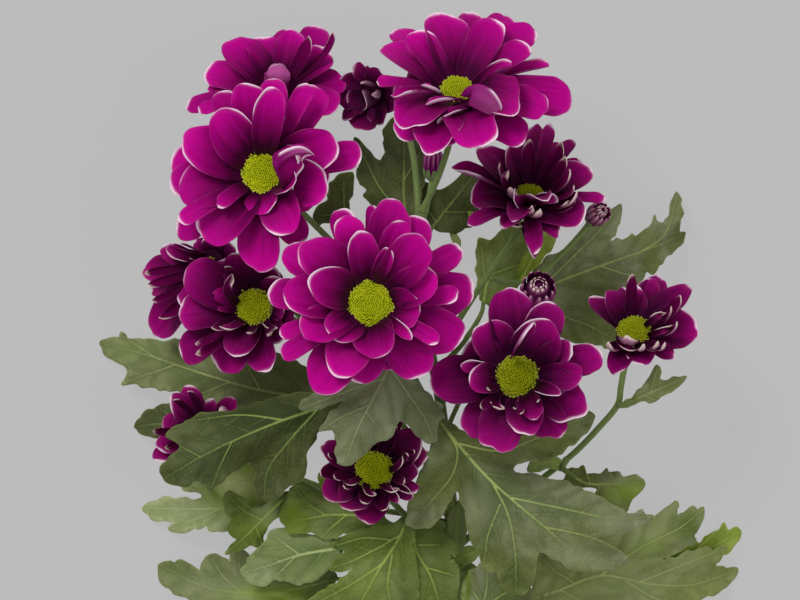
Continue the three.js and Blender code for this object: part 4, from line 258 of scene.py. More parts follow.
         [359.2, 4.9, 0.8, 16, 5.7, 37, 140, 1.6, 1.1, 6.6, 3, 1],
         [336.5, 4.9, 0.8, 16.7, 3, 20, 123, 1.6, 1.1, 5.6, 3, 1],
         [278.6, 4.6, 0.2, 25.4, 8, 76, 31, 1, 0.8, 7.6, 2, 0],
         [223.9, 4.6, 0.2, 13.5, 6.7, 42, 145, 1.6, 1.1, 5.9, 2, 1],
         [267.8, 4.9, 0.8, 15, 4.7, 14, 117, 1.6, 1.1, 0.7, 3, 1],
         [253.4, 4, -1, 21.4, 8.7, 46, 10, 1, 0.6, 6.9, 1, 0],
         [278.3, 4, -1, 16.8, 6, 1, 104, 1.6, 1.1, 6, 1, 1],
         [334, 4, -1, 19.2, 8, 4, 107, 1.6, 1.1, 8, 1, 1],
         [294.6, 3.1, -2.2, 17, 7.3, 23, -5, 1, 0.45, 9, 0, 0],
         [234.1, 3.1, -2.2, 14.7, 7.3, 23, -5, 1, 0.45, 4.5, 0, 0],
     ],
     "stalk": [[40, 22.8, 59], [33.7, 14.2, 53], [26.4, 3.4, 48], [17.6, -10.2, 44], [10.6, -19.1, 39.2]],
    },
    {"id": "07",
     "c": [-48.73, -2.34, 68],
     "n": [-0.3, 0.02, 0.9537],
     "rd": 6.34,
     "open": 1,
     "disc": 1,
     "pet": [
         [183, 5.07, -1, 21.3, 12, 37, 2, 1, 0.6, 13.7, 1, 0],
         [151.9, 5.07, -1, 21.4, 13.4, 37, 2, 1, 0.6, 11.1, 1, 0],
         [104.2, 5.07, -1, 14.9, 11.7, 37, 2, 1, 0.6, 12.9, 1, 0],
         [129.5, 3.93, -2.2, 16.8, 8, 15, -12, 1, 0.45, 6.1, 0, 0],
         [67.4, 3.93, -2.2, 11, 8.3, 15, -12, 1, 0.45, 6.5, 0, 0],
         [111.5, 6.22, 0.8, 16.5, 3.7, 35, 138, 1.6, 1.1, 0.3, 3, 1],
         [164.4, 5.83, 0.2, 10, 8.3, 60, 16, 1, 0.8, 7.2, 2, 0],
         [172.5, 3.93, -2.2, 23.5, 9, 15, -12, 1, 0.45, 11, 0, 0],
         [203.4, 3.93, -2.2, 22.1, 9, 15, -12, 1, 0.45, 6.2, 0, 0],
         [213.7, 3.93, -2.2, 26.9, 11, 15, -12, 1, 0.45, 10.9, 0, 0],
         [227.1, 5.07, -1, 26, 6, -3, 100, 1.6, 1.1, 3.5, 1, 1],
         [219.9, 6.22, 0.8, 21.9, 3.3, 17, 120, 1.6, 1.1, 3.4, 3, 1],
         [239.3, 3.93, -2.2, 21.1, 15, 15, -12, 1, 0.45, 10.1, 0, 0],
         [257.7, 5.07, -1, 13.4, 11.7, 37, 2, 1, 0.6, 11.3, 1, 0],
         [280.5, 3.93, -2.2, 18.3, 10.3, 15, -12, 1, 0.45, 10.5, 0, 0],
         [217.7, 6.22, 0.8, 15.3, 5, 46, 149, 1.6, 1.1, 3.5, 3, 1],
         [285.9, 6.22, 0.8, 14, 3.7, 64, 167, 1.6, 1.1, 2.6, 3, 1],
         [315.2, 6.22, 0.8, 14.9, 3.7, 36, 139, 1.6, 1.1, 7.6, 3, 1],
         [311, 3.93, -2.2, 10.8, 8.3, 15, -12, 1, 0.45, 11.3, 0, 0],
         [1.5, 3.93, -2.2, 7, 8, 28, 1, 1, 0.45, 8.7, 0, 0],
         [43.2, 3.93, -2.2, 9.3, 8, 15, -12, 1, 0.45, 4.4, 0, 0],
         [92.6, 3.93, -2.2, 11.3, 8, 15, -12, 1, 0.45, 5.5, 0, 0],
     ],
     "stalk": [[-41.1, -4, 55], [-28.8, -10.8, 47], [-11.9, -23.8, 39], [3.4, -40.1, 31], [15.7, -52.6, 33.6]],
    },
    {"id": "10",
     "c": [78.33, -10.38, 64],
     "n": [0.02, 0.62, 0.7843],
     "rd": 6.03,
     "open": 2,
     "disc": 1,
     "pet": [
         [140.1, 3.74, -2.2, 16.2, 7.7, 22, -6, 1, 0.45, 6.9, 0, 0],
         [129.9, 4.82, -1, 12.1, 9, 44, 8, 1, 0.6, 9.9, 1, 0],
         [97.8, 3.74, -2.2, 16.5, 8, 21, -7, 1, 0.45, 11.6, 0, 0],
         [95.7, 5.54, 0.2, 17.2, 4.4, 44, 147, 1.6, 1.1, 1.3, 2, 1],
         [73.4, 3.74, -2.2, 19.3, 9.4, 21, -7, 1, 0.45, 7.9, 0, 0],
         [65.2, 3.74, -2.2, 22.7, 9.7, 22, -6, 1, 0.45, 11.4, 0, 0],
         [41.5, 3.74, -2.2, 22.6, 8.4, 22, -6, 1, 0.45, 10.2, 0, 0],
         [3.4, 3.74, -2.2, 18.8, 15.4, 22, -6, 1, 0.45, 7.9, 0, 0],
         [18.2, 4.82, -1, 19.5, 6.7, 26, 129, 1.6, 1.1, 2.8, 1, 1],
         [358.9, 5.9, 0.8, 14.8, 3.7, 47, 150, 1.6, 1.1, 1.1, 3, 1],
         [336.7, 5.9, 0.8, 16, 4.4, 27, 130, 1.6, 1.1, 2.3, 3, 1],
         [304.7, 5.9, 0.8, 16.2, 3.3, 13, 116, 1.6, 1.1, 6.5, 3, 1],
         [321.4, 3.74, -2.2, 13.6, 6.4, 23, -5, 1, 0.45, 7.4, 0, 0],
         [286.3, 3.74, -2.2, 11.5, 10, 23, -5, 1, 0.45, 11.1, 0, 0],
         [253.3, 5.54, 0.2, 13.5, 8.7, 40, 143, 1.6, 1.1, 2, 2, 1],
         [246.3, 3.74, -2.2, 16.4, 7.7, 23, -5, 1, 0.45, 4.1, 0, 0],
         [231.7, 4.82, -1, 16.6, 5.7, 8, 111, 1.6, 1.1, 0.6, 1, 1],
         [277.7, 5.9, 0.8, 14.6, 3.7, 23, 126, 1.6, 1.1, 4.3, 3, 1],
         [297.1, 5.9, 0.8, 15.1, 3.7, 21, 124, 1.6, 1.1, 1.2, 3, 1],
         [86.7, 4.82, -1, 13.2, 7.4, 44, 8, 1, 0.6, 7.4, 1, 0],
     ],
     "stalk": [[76.2, -20.9, 54], [74.7, -29.1, 50], [73.8, -35.2, 47], [67.9, -42.8, 44], [59.5, -51.7, 41], [49.4, -60, 38], [35.9, -71.1, 34], [19, -85.2, 26.3]],
    },
    {"id": "04",
     "c": [-9.8, 69.63, 50],
     "n": [-0.45, -0.12, 0.8849],
     "rd": 4.06,
     "open": 2,
     "disc": 0,
     "pet": [
         [176.9, 2.51, -2.2, 11.8, 11.5, 22, -6, 1, 0.45, 11.4, 0, 0],
         [121.1, 2.51, -2.2, 9.6, 5.1, 22, -6, 1, 0.45, 11.9, 0, 0],
         [102.8, 2.51, -2.2, 7.2, 5.1, 22, -6, 1, 0.45, 7.4, 0, 0],
         [73.4, 2.51, -2.2, 7, 6.8, 26, -2, 1, 0.45, 10.7, 0, 0],
         [248.4, 2.51, -2.2, 11.1, 12.8, 22, -6, 1, 0.45, 11.4, 0, 0],
         [221.2, 2.51, -2.2, 11.8, 4.7, 22, -6, 1, 0.45, 8.1, 0, 0],
         [347.9, 3.73, 0.2, 30, 6.8, 98, 53, 1, 0.8, 9.8, 2, 0],
         [209.8, 3.24, -1, 7, 8.1, 31, -5, 1, 0.6, 8.6, 1, 0],
         [51.9, 3.97, 0.8, 14.5, 3.7, 71, 174, 1.6, 1.1, 2.6, 3, 1],
         [7.2, 3.97, 0.8, 13.9, 3.7, 60, 163, 1.6, 1.1, 6.4, 3, 1],
         [31.4, 2.51, -2.2, 7.2, 7.4, 22, -6, 1, 0.45, 4.1, 0, 0],
         [342.3, 2.51, -2.2, 7.8, 8.1, 22, -6, 1, 0.45, 6.1, 0, 0],
         [295.6, 2.51, -2.2, 8.8, 8.1, 22, -6, 1, 0.45, 7.7, 0, 0],
     ],
     "stalk": [[-0.7, 65.3, 42], [4.1, 51, 42], [5.8, 36.7, 44], [6.2, 20.3, 48.8]],
    },
    {"id": "01",
     "c": [-41.24, 71.66, 50],
     "n": [-0.03, 0.52, 0.8536],
     "rd": 6.08,
     "open": 0,
     "disc": 1,
     "pet": [
         [164.5, 3.77, -2.2, 22.5, 10.5, 10, -16, 1, 0.45, 6.1, 0, 0],
         [139.8, 4.87, -1, 19.2, 13.5, 32, -2, 1, 0.6, 8.1, 1, 0],
         [109.7, 4.87, -1, 16.5, 11.5, 32, -2, 1, 0.6, 10.7, 1, 0],
         [85.6, 3.77, -2.2, 24.2, 9.1, 10, -16, 1, 0.45, 9.3, 0, 0],
         [75.3, 4.87, -1, 16.9, 8.4, 32, -2, 1, 0.6, 11.8, 1, 0],
         [44.4, 5.6, 0.2, 19, 5.7, 31, 134, 1.6, 1.1, 7.1, 2, 1],
         [60.2, 3.77, -2.2, 25.6, 8.8, 10, -16, 1, 0.45, 11.7, 0, 0],
         [36, 4.87, -1, 17.8, 9.5, 32, -2, 1, 0.6, 7.4, 1, 0],
         [29.7, 5.6, 0.2, 26, 3, 4, 107, 1.6, 1.1, 5, 2, 1],
         [192.9, 3.77, -2.2, 28.2, 6.8, 10, -16, 1, 0.45, 8.7, 0, 0],
         [205, 4.87, -1, 25.1, 5.7, 32, -2, 1, 0.6, 8.7, 1, 0],
         [172.5, 3.77, -2.2, 20.6, 6.8, 10, -16, 1, 0.45, 7.7, 0, 0],
         [89.6, 5.96, 0.8, 13.2, 8.1, 76, 186, 1.2, 1.3, 2.2, 3, 3],
         [12.6, 3.77, -2.2, 19.5, 8.8, 10, -16, 1, 0.45, 8.5, 0, 0],
         [338.2, 3.77, -2.2, 18.2, 9.5, 10, -16, 1, 0.45, 11, 0, 0],
         [296, 3.77, -2.2, 13.4, 10.1, 11, -15, 1, 0.45, 4.5, 0, 0],
         [251.5, 3.77, -2.2, 13.1, 10.1, 11, -15, 1, 0.45, 11.3, 0, 0],
         [219.5, 3.77, -2.2, 18.2, 10.1, 10, -16, 1, 0.45, 7, 0, 0],
     ],
     "stalk": [[-39.2, 59.9, 39], [-26.6, 39.6, 37], [-10.2, 16.4, 38], [6.9, -1.7, 42.1]],
    },
    {"id": "08",
     "c": [-63.72, 12.2, 46],
     "n": [-0.62, -0.12, 0.7754],
     "rd": 5.08,
     "open": 2,
     "disc": 0,
     "pet": [
         [170.5, 4.07, -1, 17, 6.8, 44, 8, 1, 0.6, 8.2, 1, 0],
         [155.2, 4.07, -1, 12.8, 6.6, 44, 8, 1, 2.2, 8.3, 1, 4],
         [158.4, 4.68, 0.2, 13, 5.6, 67, 22, 1, 2.2, 12.1, 2, 4],
         [151.4, 4.07, -1, 10.1, 6.1, 44, 8, 1, 2.2, 10.7, 1, 4],
         [189.6, 3.15, -2.2, 26.5, 9.2, 22, -6, 1, 0.45, 4.2, 0, 0],
         [189.5, 4.68, 0.2, 21.5, 3.7, 35, 138, 1.6, 1.1, 1.8, 2, 1],
         [205.5, 4.98, 0.8, 20.9, 4.1, 36, 139, 1.6, 1.1, 0.9, 3, 1],
         [203.2, 3.15, -2.2, 28, 10.8, 22, -6, 1, 0.45, 9.9, 0, 0],
         [225.4, 4.98, 0.8, 22.3, 3.7, 31, 134, 1.6, 1.1, 4.7, 3, 1],
         [229.4, 3.15, -2.2, 32.2, 12.9, 22, -6, 1, 0.45, 7.7, 0, 0],
         [239.5, 4.07, -1, 26, 6.1, 11, 114, 1.6, 1.1, 6.7, 1, 1],
         [134.9, 3.15, -2.2, 8.4, 6.8, 22, -6, 1, 0.45, 8.7, 0, 0],
         [89.7, 3.15, -2.2, 7.8, 7.5, 22, -6, 1, 0.45, 5.5, 0, 0],
         [42.5, 3.15, -2.2, 8.1, 6.8, 23, -5, 1, 0.45, 10.7, 0, 0],
         [353.6, 3.15, -2.2, 7.8, 6.8, 23, -5, 1, 0.45, 6.9, 0, 0],
         [301.1, 3.15, -2.2, 9.3, 6.8, 22, -6, 1, 0.45, 9, 0, 0],
         [260, 3.15, -2.2, 16.3, 8.1, 22, -6, 1, 0.45, 8.1, 0, 0],
         [248.2, 3.15, -2.2, 22.6, 8.1, 22, -6, 1, 0.45, 10.9, 0, 0],
     ],
     "stalk": [[-53.9, 10.6, 36], [-39.4, -0.7, 32], [-18.9, -21.3, 29], [1.7, -43.9, 29], [17.1, -65.1, 31.2]],
    },
    {"id": "12",
     "c": [-66.36, -44.92, 40],
     "n": [-0.3, 0.05, 0.9526],
     "rd": 5.45,
     "open": 2,
     "disc": 0,
     "pet": [
         [113.6, 3.38, -2.2, 14.4, 7.1, 22, -6, 1, 0.45, 5.4, 0, 0],
         [131.9, 3.38, -2.2, 14, 8.5, 22, -6, 1, 0.45, 5.6, 0, 0],
         [96.5, 5.01, 0.2, 16.7, 3.7, 31, 134, 1.6, 1.1, 6.9, 2, 1],
         [120.3, 5.34, 0.8, 15.9, 3.1, 40, 143, 1.6, 1.1, 5.8, 3, 1],
         [162.4, 3.38, -2.2, 13.1, 9.9, 22, -6, 1, 0.45, 10.5, 0, 0],
         [180.5, 4.36, -1, 18.4, 3.7, 31, 134, 1.6, 1.1, 4.4, 1, 1],
         [196.3, 3.38, -2.2, 14.8, 7.8, 22, -6, 1, 0.45, 11.1, 0, 0],
         [211.9, 5.34, 0.8, 15.1, 3.7, 49, 152, 1.6, 1.1, 6.1, 3, 1],
         [206.7, 3.38, -2.2, 18, 6.8, 22, -6, 1, 0.45, 6.7, 0, 0],
         [36, 4.36, -1, 17.7, 6.8, 11, 121, 1.2, 1.3, 5.2, 1, 3],
         [72.9, 4.36, -1, 8.7, 4.8, 44, 8, 1, 0.6, 10.2, 1, 0],
         [304.8, 3.38, -2.2, 13.9, 4.1, 22, -6, 1, 0.45, 6, 0, 0],
         [234.5, 3.38, -2.2, 12.7, 8.2, 22, -6, 1, 0.45, 5.3, 0, 0],
         [269.6, 3.38, -2.2, 12.5, 8.2, 22, -6, 1, 0.45, 9.6, 0, 0],
         [331.2, 3.38, -2.2, 13.3, 7.5, 22, -6, 1, 0.45, 9.5, 0, 0],
         [4.7, 3.38, -2.2, 12.3, 7.5, 23, -5, 1, 0.45, 7.4, 0, 0],
         [42.5, 3.38, -2.2, 12.9, 6.8, 22, -6, 1, 0.45, 11.4, 0, 0],
     ],
     "stalk": [[-57.6, -48.7, 29], [-43.9, -57, 27], [-23.4, -68.9, 23], [0, -84.5, 21], [20, -104.7, 21.8]],
    },
]
BUDS = [
    {"id": "13",
     "c": [46.2, 2.7, 63],
     "n": [0.02, 0.45, 0.8928],
     "r": 5.6,
     "h": 11.5,
     "stalk": [[45.1, -2, 56], [40.1, -7.4, 53], [31.8, -17.6, 49], [22.4, -30.5, 44], [15, -46.5, 34.8]],
    },
    {"id": "14",
     "c": [66.2, 28.6, 58],
     "n": [0.45, 0.4, 0.7984],
     "r": 3.5,
     "h": 8,
     "stalk": [[62.7, 24.3, 53], [54.7, 15.5, 51], [43.3, 4.7, 50], [31.2, -6.8, 45], [13, -30.7, 37.5]],
    },
    {"id": "15",
     "c": [11.2, 45.7, 47],
     "n": [0.05, 0.97, 0.2379],
     "r": 2.7,
     "h": 9.5,
     "stalk": [[10.2, 38, 46], [9.2, 31.9, 46], [6.5, 23, 50.3]],
    },
]
LEAVES = [
    {"id": "01",
     "o": [[-105.1, -14.7, -2.4], [-102.1, -13.3, -0.3], [-98.5, -12.6, 1.4], [-97.5, -11.2, 1.3], [-95, -12.9, 2.2], [-91.3, -13.6, 5.7], [-86.9, -13.2, 9.4], [-82.5, -14.2, 13], [-77.8, -13.5, 15.7], [-67.2, -13.1, 21.8], [-54.9, -15.4, 28.9], [-42.8, -17.8, 29.8], [-32.5, -22.6, 32], [-24.6, -30.1, 34.9], [-21.8, -34.5, 35.9], [-27.3, -37.6, 34.9], [-37.6, -39.3, 33], [-49.7, -41.1, 30.2], [-60.1, -39.1, 27.1], [-68.8, -35.1, 24.6], [-74, -31.7, 22.8], [-83.1, -31.5, 14.7], [-84.5, -30.5, 13.6], [-89.3, -30.6, 10.1], [-91.1, -29.5, 8.6], [-96.8, -29.2, 7], [-95, -25.4, 7.3], [-95.7, -23.3, 7.3], [-102, -20.3, 2.1], [-103.9, -18.2, -0.4]],
     "v": [
         [[-22.5, -34.5, 36], [-47.8, -30.8, 34], [-68.6, -25, 28], [-86.6, -19.4, 14], [-104.8, -15.1, -3]],
         [[-47.8, -30.8, 34], [-53.1, -21.2, 30]],
         [[-58.2, -28.1, 31], [-68.8, -32.3, 24]],
         [[-77.6, -22.4, 21], [-94, -27.9, 6]],
         [[-83, -20.8, 16], [-96.5, -12.9, 0]],
     ],
     "p": [[-22.5, -34.5, 36], [-10.3, -40.3, 34], [16.3, -57.5, 32.8]],
    },
    {"id": "02",
     "o": [[-92.9, -44.7, 1], [-91.4, -41.2, 2.7], [-88.5, -38.7, 5.6], [-83.4, -36.5, 8.3], [-77.5, -35.4, 9.9], [-71.1, -37.5, 12], [-64, -43.2, 17], [-60.4, -48.3, 19.5], [-65.7, -50.5, 17.6], [-72.8, -49.9, 13.7], [-81.7, -48.7, 7.8], [-86.3, -48, 6.3], [-90, -46.8, 3.1]],
     "v": [
         [[-61.4, -48.3, 20], [-72.6, -45, 16], [-83.5, -43.1, 8], [-92.7, -44.4, 0]],
         [[-74.4, -44.3, 15], [-83.5, -37.6, 8]],
         [[-78, -44.4, 12], [-83.6, -48.1, 6]],
     ],
     "p": [[-61.4, -48.3, 20], [-41.5, -58.8, 16], [-13.8, -70.9, 16], [19.5, -95, 24]],
    },
    {"id": "03",
     "o": [[-19.5, -32.2, 60.3], [-26.1, -30.8, 62], [-35.2, -31.1, 63.2], [-45.2, -33.5, 63.7], [-53.6, -36.2, 62.8], [-57.7, -37.2, 61.8], [-63.1, -37.6, 60.3], [-68.2, -38.3, 59], [-70.6, -40.3, 58.3], [-77.2, -43.3, 60.7], [-78.5, -45.6, 61.2], [-75.8, -47.3, 61.9], [-73.7, -48.9, 62.3], [-75.1, -50.9, 62.1], [-78.9, -54, 60.2], [-80.3, -56.1, 59.2], [-80.3, -58.8, 58.3], [-79, -60.8, 58.2], [-76.2, -62.1, 59], [-72.2, -62.8, 59.9], [-68.8, -61.1, 60], [-67.2, -60.8, 59.5], [-65.5, -62.5, 58.1], [-63.5, -63.9, 57.5], [-59.8, -61.1, 58.8], [-56.4, -58, 60.6], [-53.7, -56.4, 60.9], [-50.3, -54.4, 60.3], [-49.1, -56.5, 58.2], [-49.2, -64, 54.3], [-47.9, -66.4, 53], [-45.5, -67.8, 52.5], [-42.1, -67.4, 53.5], [-39.1, -64.7, 55.2], [-37, -62.2, 56.5], [-33.6, -61.2, 57.6], [-31.2, -56.4, 59.5], [-31.5, -52, 60.8], [-29.5, -48.6, 61.6], [-27.5, -44.9, 62.2], [-24.1, -40.2, 62.2], [-20.1, -36.2, 60.8]],
     "v": [
         [[-19.8, -33.6, 60], [-30.1, -37.1, 65], [-43.4, -41.8, 67], [-63.5, -50.8, 66], [-79, -59.8, 58]],
         [[-27.5, -36.5, 63], [-36.9, -46.9, 62], [-44.4, -57.1, 58], [-45.9, -66.8, 52]],
         [[-38.4, -40.1, 66], [-53.6, -38.5, 63], [-70.6, -40.7, 58]],
         [[-56.2, -47.5, 66], [-59.7, -54.3, 62], [-63.2, -62.9, 57]],
         [[-66.9, -52.5, 65], [-73.7, -48.9, 62]],
     ],
     "p": [[-19.8, -33.6, 60], [-9.5, -35.2, 50], [1.7, -36.5, 38], [8.2, -36.9, 34.5], [14, -37.5, 36.4]],
    },
    {"id": "04",
     "o": [[-2.6, -19.2, 80.2], [1.7, -23.2, 79.4], [6.6, -28.2, 77.8], [10.6, -32.2, 76.1], [13.3, -35.9, 74.8], [15.3, -39.2, 73.8], [12.6, -40.2, 73.6], [12.6, -43.2, 72.8], [12, -46.9, 72.3], [9.7, -47.9, 72.4], [6, -45.6, 73.6], [2.7, -41.8, 76.2], [0, -40.1, 78.9], [-1.7, -43, 81.2], [-3.6, -46.3, 82.5], [-6.9, -46.5, 83.7], [-9.6, -48.8, 85.9], [-12.8, -52, 88.4], [-15.8, -53.9, 89.5], [-18.1, -54.9, 89.7], [-20.4, -53.3, 89.2], [-21.4, -50.4, 88.2], [-21.1, -46.4, 86.9], [-22.1, -43.2, 85.9], [-26.7, -43.2, 85.1], [-24.7, -39.6, 85.5], [-22.4, -36.6, 85.2], [-18.1, -33, 84.5], [-21.5, -34, 83.7], [-26.4, -36, 82.3], [-33.4, -36.4, 80.2], [-33.1, -34.4, 80.3], [-30.4, -31.8, 81.1], [-23.1, -28.4, 82.8], [-16.5, -25.4, 83.1], [-9.3, -22.5, 81.6], [-5.3, -19.9, 80.5]],
     "v": [
         [[-2.6, -19.9, 80], [-6.6, -28.1, 84], [-10.5, -35.6, 87], [-14.8, -44.4, 90], [-17.7, -53.9, 90]],
         [[-3.3, -22.5, 80], [0.7, -28.2, 79], [4.6, -33.8, 77], [9, -40.6, 74], [11, -46.6, 72]],
         [[-5.3, -25.8, 82], [-18.2, -30.4, 84], [-32.4, -35.7, 80]],
         [[-9.9, -34.6, 86], [-18.1, -37.9, 88], [-26.1, -42.9, 85]],
         [[-11.2, -36.9, 86], [-6.6, -43, 82]],
     ],
     "p": [[-2.6, -19.9, 80], [0.7, -18, 71], [5.4, -18.8, 56], [11.4, -22.8, 38.6]],
    },
    {"id": "05",
     "o": [[12, -38.5, 64.2], [17.4, -41.5, 65.7], [22.1, -44.1, 66.3], [28.4, -42.5, 65], [36.9, -39.3, 60.4], [47.2, -37.4, 53.5], [57.6, -36.6, 47.1], [63.5, -37.7, 44], [66.2, -39.4, 43.6], [65.1, -42.1, 44.3], [62.7, -45.4, 46.7], [57.4, -49.3, 51.2], [53.2, -52.2, 55.2], [48.7, -54.4, 59], [44.3, -54, 60.6], [40.2, -54.3, 62.8], [37.8, -56.2, 65.7], [38.7, -58.4, 67.3], [43.5, -59.2, 65.6], [48.5, -60.2, 64.4], [54.3, -60.7, 62.4], [58.7, -62.7, 61.6], [65.5, -65.2, 59], [70.7, -68.3, 56.2], [76.3, -71.5, 52.5], [79.8, -72.3, 49.9], [82.2, -70.7, 48.4], [83.3, -72.8, 47.4], [86.4, -73.5, 46.6], [81.9, -76.1, 48.8], [75.9, -78.3, 52.7], [70.7, -78.8, 55], [66.2, -80, 57.8], [70.1, -82.2, 54.5], [73.3, -84.1, 51.8], [75, -85.5, 50.5], [76.7, -86.9, 49.6], [76.2, -88.7, 47.8], [73.1, -90.7, 48], [67.5, -91.5, 52], [59.9, -91.2, 56.6], [55.8, -89.4, 58.8], [52, -86.9, 60.9], [48.6, -85.1, 62], [46.3, -84.5, 62], [45.7, -87.9, 59.9], [45.1, -93.5, 56.8], [42.8, -98.1, 53.9], [39.1, -99.5, 52.6], [35.7, -98.1, 53.8], [33.3, -94.6, 56.1], [32.6, -91.1, 57.5], [29.6, -91.5, 57.2], [27.6, -89.5, 56.6], [26.9, -85, 58.1], [25.5, -83.3, 59], [23.5, -79.9, 60.6], [22.5, -75.4, 61.8], [21.5, -69.7, 61.5], [19.1, -64.5, 59.1], [17.5, -65.6, 57.3], [15.5, -70.1, 55], [13.5, -73.2, 53.3], [10.8, -76.3, 51.7], [7.4, -77.1, 50.1], [2.7, -76.4, 49.7], [2.4, -72.3, 50.2], [3.4, -66.5, 52.6], [6.4, -59.2, 57.3], [9, -52.3, 62.3], [11, -46.8, 64.9], [10.7, -41.8, 64.7]],
     "v": [
         [[12.4, -39.5, 64], [20, -49, 70], [29.9, -59.8, 74], [46.7, -74.4, 69], [60.5, -85.7, 58], [74.9, -89.8, 46]],
         [[15.7, -43.8, 66], [19.1, -50.2, 65], [17.5, -58.8, 59], [10.8, -67.5, 53], [5.1, -75.1, 49]],
         [[30.6, -60.5, 74], [36.1, -71.8, 68], [38.5, -83.8, 62], [39.2, -97.9, 52]],
         [[18.4, -47.7, 68], [33.4, -50.5, 66], [43.7, -47.4, 58], [54.1, -42.9, 50], [64.5, -39.4, 43]],
         [[37.3, -65.9, 72], [53.5, -69.5, 66], [70.6, -73.3, 57], [84.7, -73.5, 46]],
         [[48.4, -75.8, 68], [63.8, -79.6, 60], [75, -85.2, 50]],
         [[33.3, -68.3, 70], [29.5, -78.8, 62], [28.3, -88.2, 56]],
     ],
     "p": [[12.4, -39.5, 64], [10.8, -37, 58], [12.2, -35.2, 48], [14, -36.8, 36.5]],
    },
    {"id": "06",
     "o": [[47.3, -86.3, 31], [50.7, -87.7, 31.2], [54.8, -89.7, 30.9], [60, -92.8, 30.3], [65.1, -93.1, 30.9], [70.2, -89.8, 30.3], [68.6, -85.1, 28.6], [67.3, -81.7, 27.5], [72.8, -80.3, 27.1], [77.3, -79.3, 26.8], [82.5, -77.3, 25.8], [87.7, -74.7, 23.8], [92.4, -71.3, 21.6], [95.2, -69.7, 20.5], [95.4, -74.8, 22.1], [97.9, -73.4, 20.9], [101.1, -71.4, 19.2], [102.5, -72.8, 19.1], [104.6, -71.8, 18.4], [104.6, -74.6, 18.8], [103.2, -77.6, 19.8], [101.4, -80.7, 19.9], [102, -83.3, 16.7], [98.5, -85.3, 18], [93.1, -88, 20.3], [90.3, -89.6, 21.4], [95, -89.1, 18.6], [100.4, -87.2, 15.2], [107.3, -86.1, 10.2], [108.4, -87.5, 9.6], [112, -85.6, 7.6], [113.8, -85.9, 7.5], [112, -88.7, 7.8], [110.2, -90.8, 8.2], [110, -92.6, 6.8], [113.9, -93.9, 1.8], [117.6, -93.8, -0.9], [117.6, -95.5, -1], [116, -97.8, 1.3], [113.3, -100, 4.8], [109.5, -101.9, 8.6], [104, -103.3, 12.6], [96.9, -105.9, 15], [88, -108, 19.9], [77.4, -109.4, 23.7], [65.3, -108.5, 26.6], [54.9, -106.4, 28.1], [46.4, -103.7, 26.7], [42.9, -103.1, 26.3], [45.7, -99.6, 27.1], [45.9, -94.3, 29.6], [46.6, -90.1, 30.9]],
     "v": [
         [[44.7, -103.1, 26], [54.8, -99.4, 30], [68.4, -94.4, 32], [86, -97.7, 24], [100.5, -98.7, 14], [117.3, -94.9, -2]],
         [[68.4, -94.4, 32], [82.2, -85, 30], [96.3, -78.4, 24], [104.3, -72.5, 18]],
         [[82.5, -96.9, 26], [96.7, -91.9, 18], [112.1, -86.7, 7]],
         [[59.9, -97.2, 31], [50.6, -90.7, 32], [47.6, -87, 31]],
         [[77.2, -96.4, 29], [89.7, -103.5, 20], [100.6, -104.1, 12]],
         [[54.8, -99.4, 30], [65.3, -105.1, 26]],
     ],
     "p": [[44.7, -103.1, 26], [34.4, -105.3, 24], [20.1, -107.5, 21.4]],
    },
    {"id": "07",
     "o": [[86.9, -92.4, 9.6], [90.7, -90, 8.8], [97.5, -86.3, 6.4], [102.5, -83.7, 4.7], [104.6, -84.7, 4.7], [106.4, -82.3, 3.4], [108.2, -81.3, 2.8], [110.3, -81, 2.1], [113.2, -77.9, 1], [115, -80.4, 0], [117.9, -79.1, -1.2], [119.4, -80.9, -1.6], [118.6, -84, -0.7], [116.4, -86.7, 0.6], [112.4, -89.7, 2.5], [104.5, -92.7, 5.3], [97.4, -94.6, 7.3], [88.6, -94.5, 9.4]],
     "v": [
         [[87.5, -93.1, 10], [97.4, -90.4, 8], [108.1, -86.5, 4], [119, -80.9, -2]],
         [[100.9, -89.1, 7], [112.5, -79, 1]],
     ],
     "p": [[87.5, -93.1, 10], [69.4, -101.3, 11], [48.5, -109.5, 14], [20.5, -117.3, 20]],
    },
    {"id": "08",
     "o": [[56.3, -57.6, 45.5], [59.3, -57, 45.4], [62.1, -56, 44.7], [63.4, -58.6, 45.7], [67.9, -58.7, 44.1], [70.3, -57.1, 42.1], [71, -58.4, 42.2], [74.1, -58.1, 42.3], [75.8, -59.8, 42.3], [80, -59.5, 40.3], [82.4, -60.3, 39.1], [83.5, -62.7, 38.6], [82.1, -65.4, 39.4], [79.3, -67.8, 39], [78.4, -70.6, 37.2], [77.1, -72.3, 37.3], [72.1, -70, 41.4], [65.8, -67.2, 44.5], [66.8, -64.1, 45.3], [61, -63.4, 46.5], [56.3, -63.4, 45.4], [55.6, -60.4, 45.5]],
     "v": [
         [[55.3, -57, 45], [62.6, -61.9, 48], [71.2, -62.4, 45], [82.8, -62.4, 38]],
         [[64.3, -61.9, 48], [62.4, -56.7, 44]],
         [[67.8, -62.4, 46], [66.5, -66.9, 44]],
         [[73, -62.4, 44], [70.7, -57.8, 41]],
         [[74, -62.4, 44], [77.8, -71, 36]],
     ],
     "p": [[55.3, -57, 44.5], [56.7, -54, 42.2]],
    },
    {"id": "09",
     "o": [[75.7, -34.5, 50.5], [78.3, -32.4, 51.5], [81, -29.7, 52.3], [84.4, -25.3, 52.4], [86.4, -21.6, 51.9], [87.8, -22.6, 52], [88.1, -26.3, 52], [90.5, -27, 51.1], [93, -26, 49.2], [97.2, -25.7, 46.9], [94.7, -29.1, 49], [91.2, -31.4, 51.3], [87.8, -32.7, 51.6], [86.8, -34.5, 51.1], [81, -34.4, 52], [77.7, -36.1, 50.8], [75.7, -36.5, 50.3]],
     "v": [
         [[75.7, -35.5, 50], [84.3, -31.3, 54], [90.5, -28.7, 52], [96.9, -26.1, 46]],
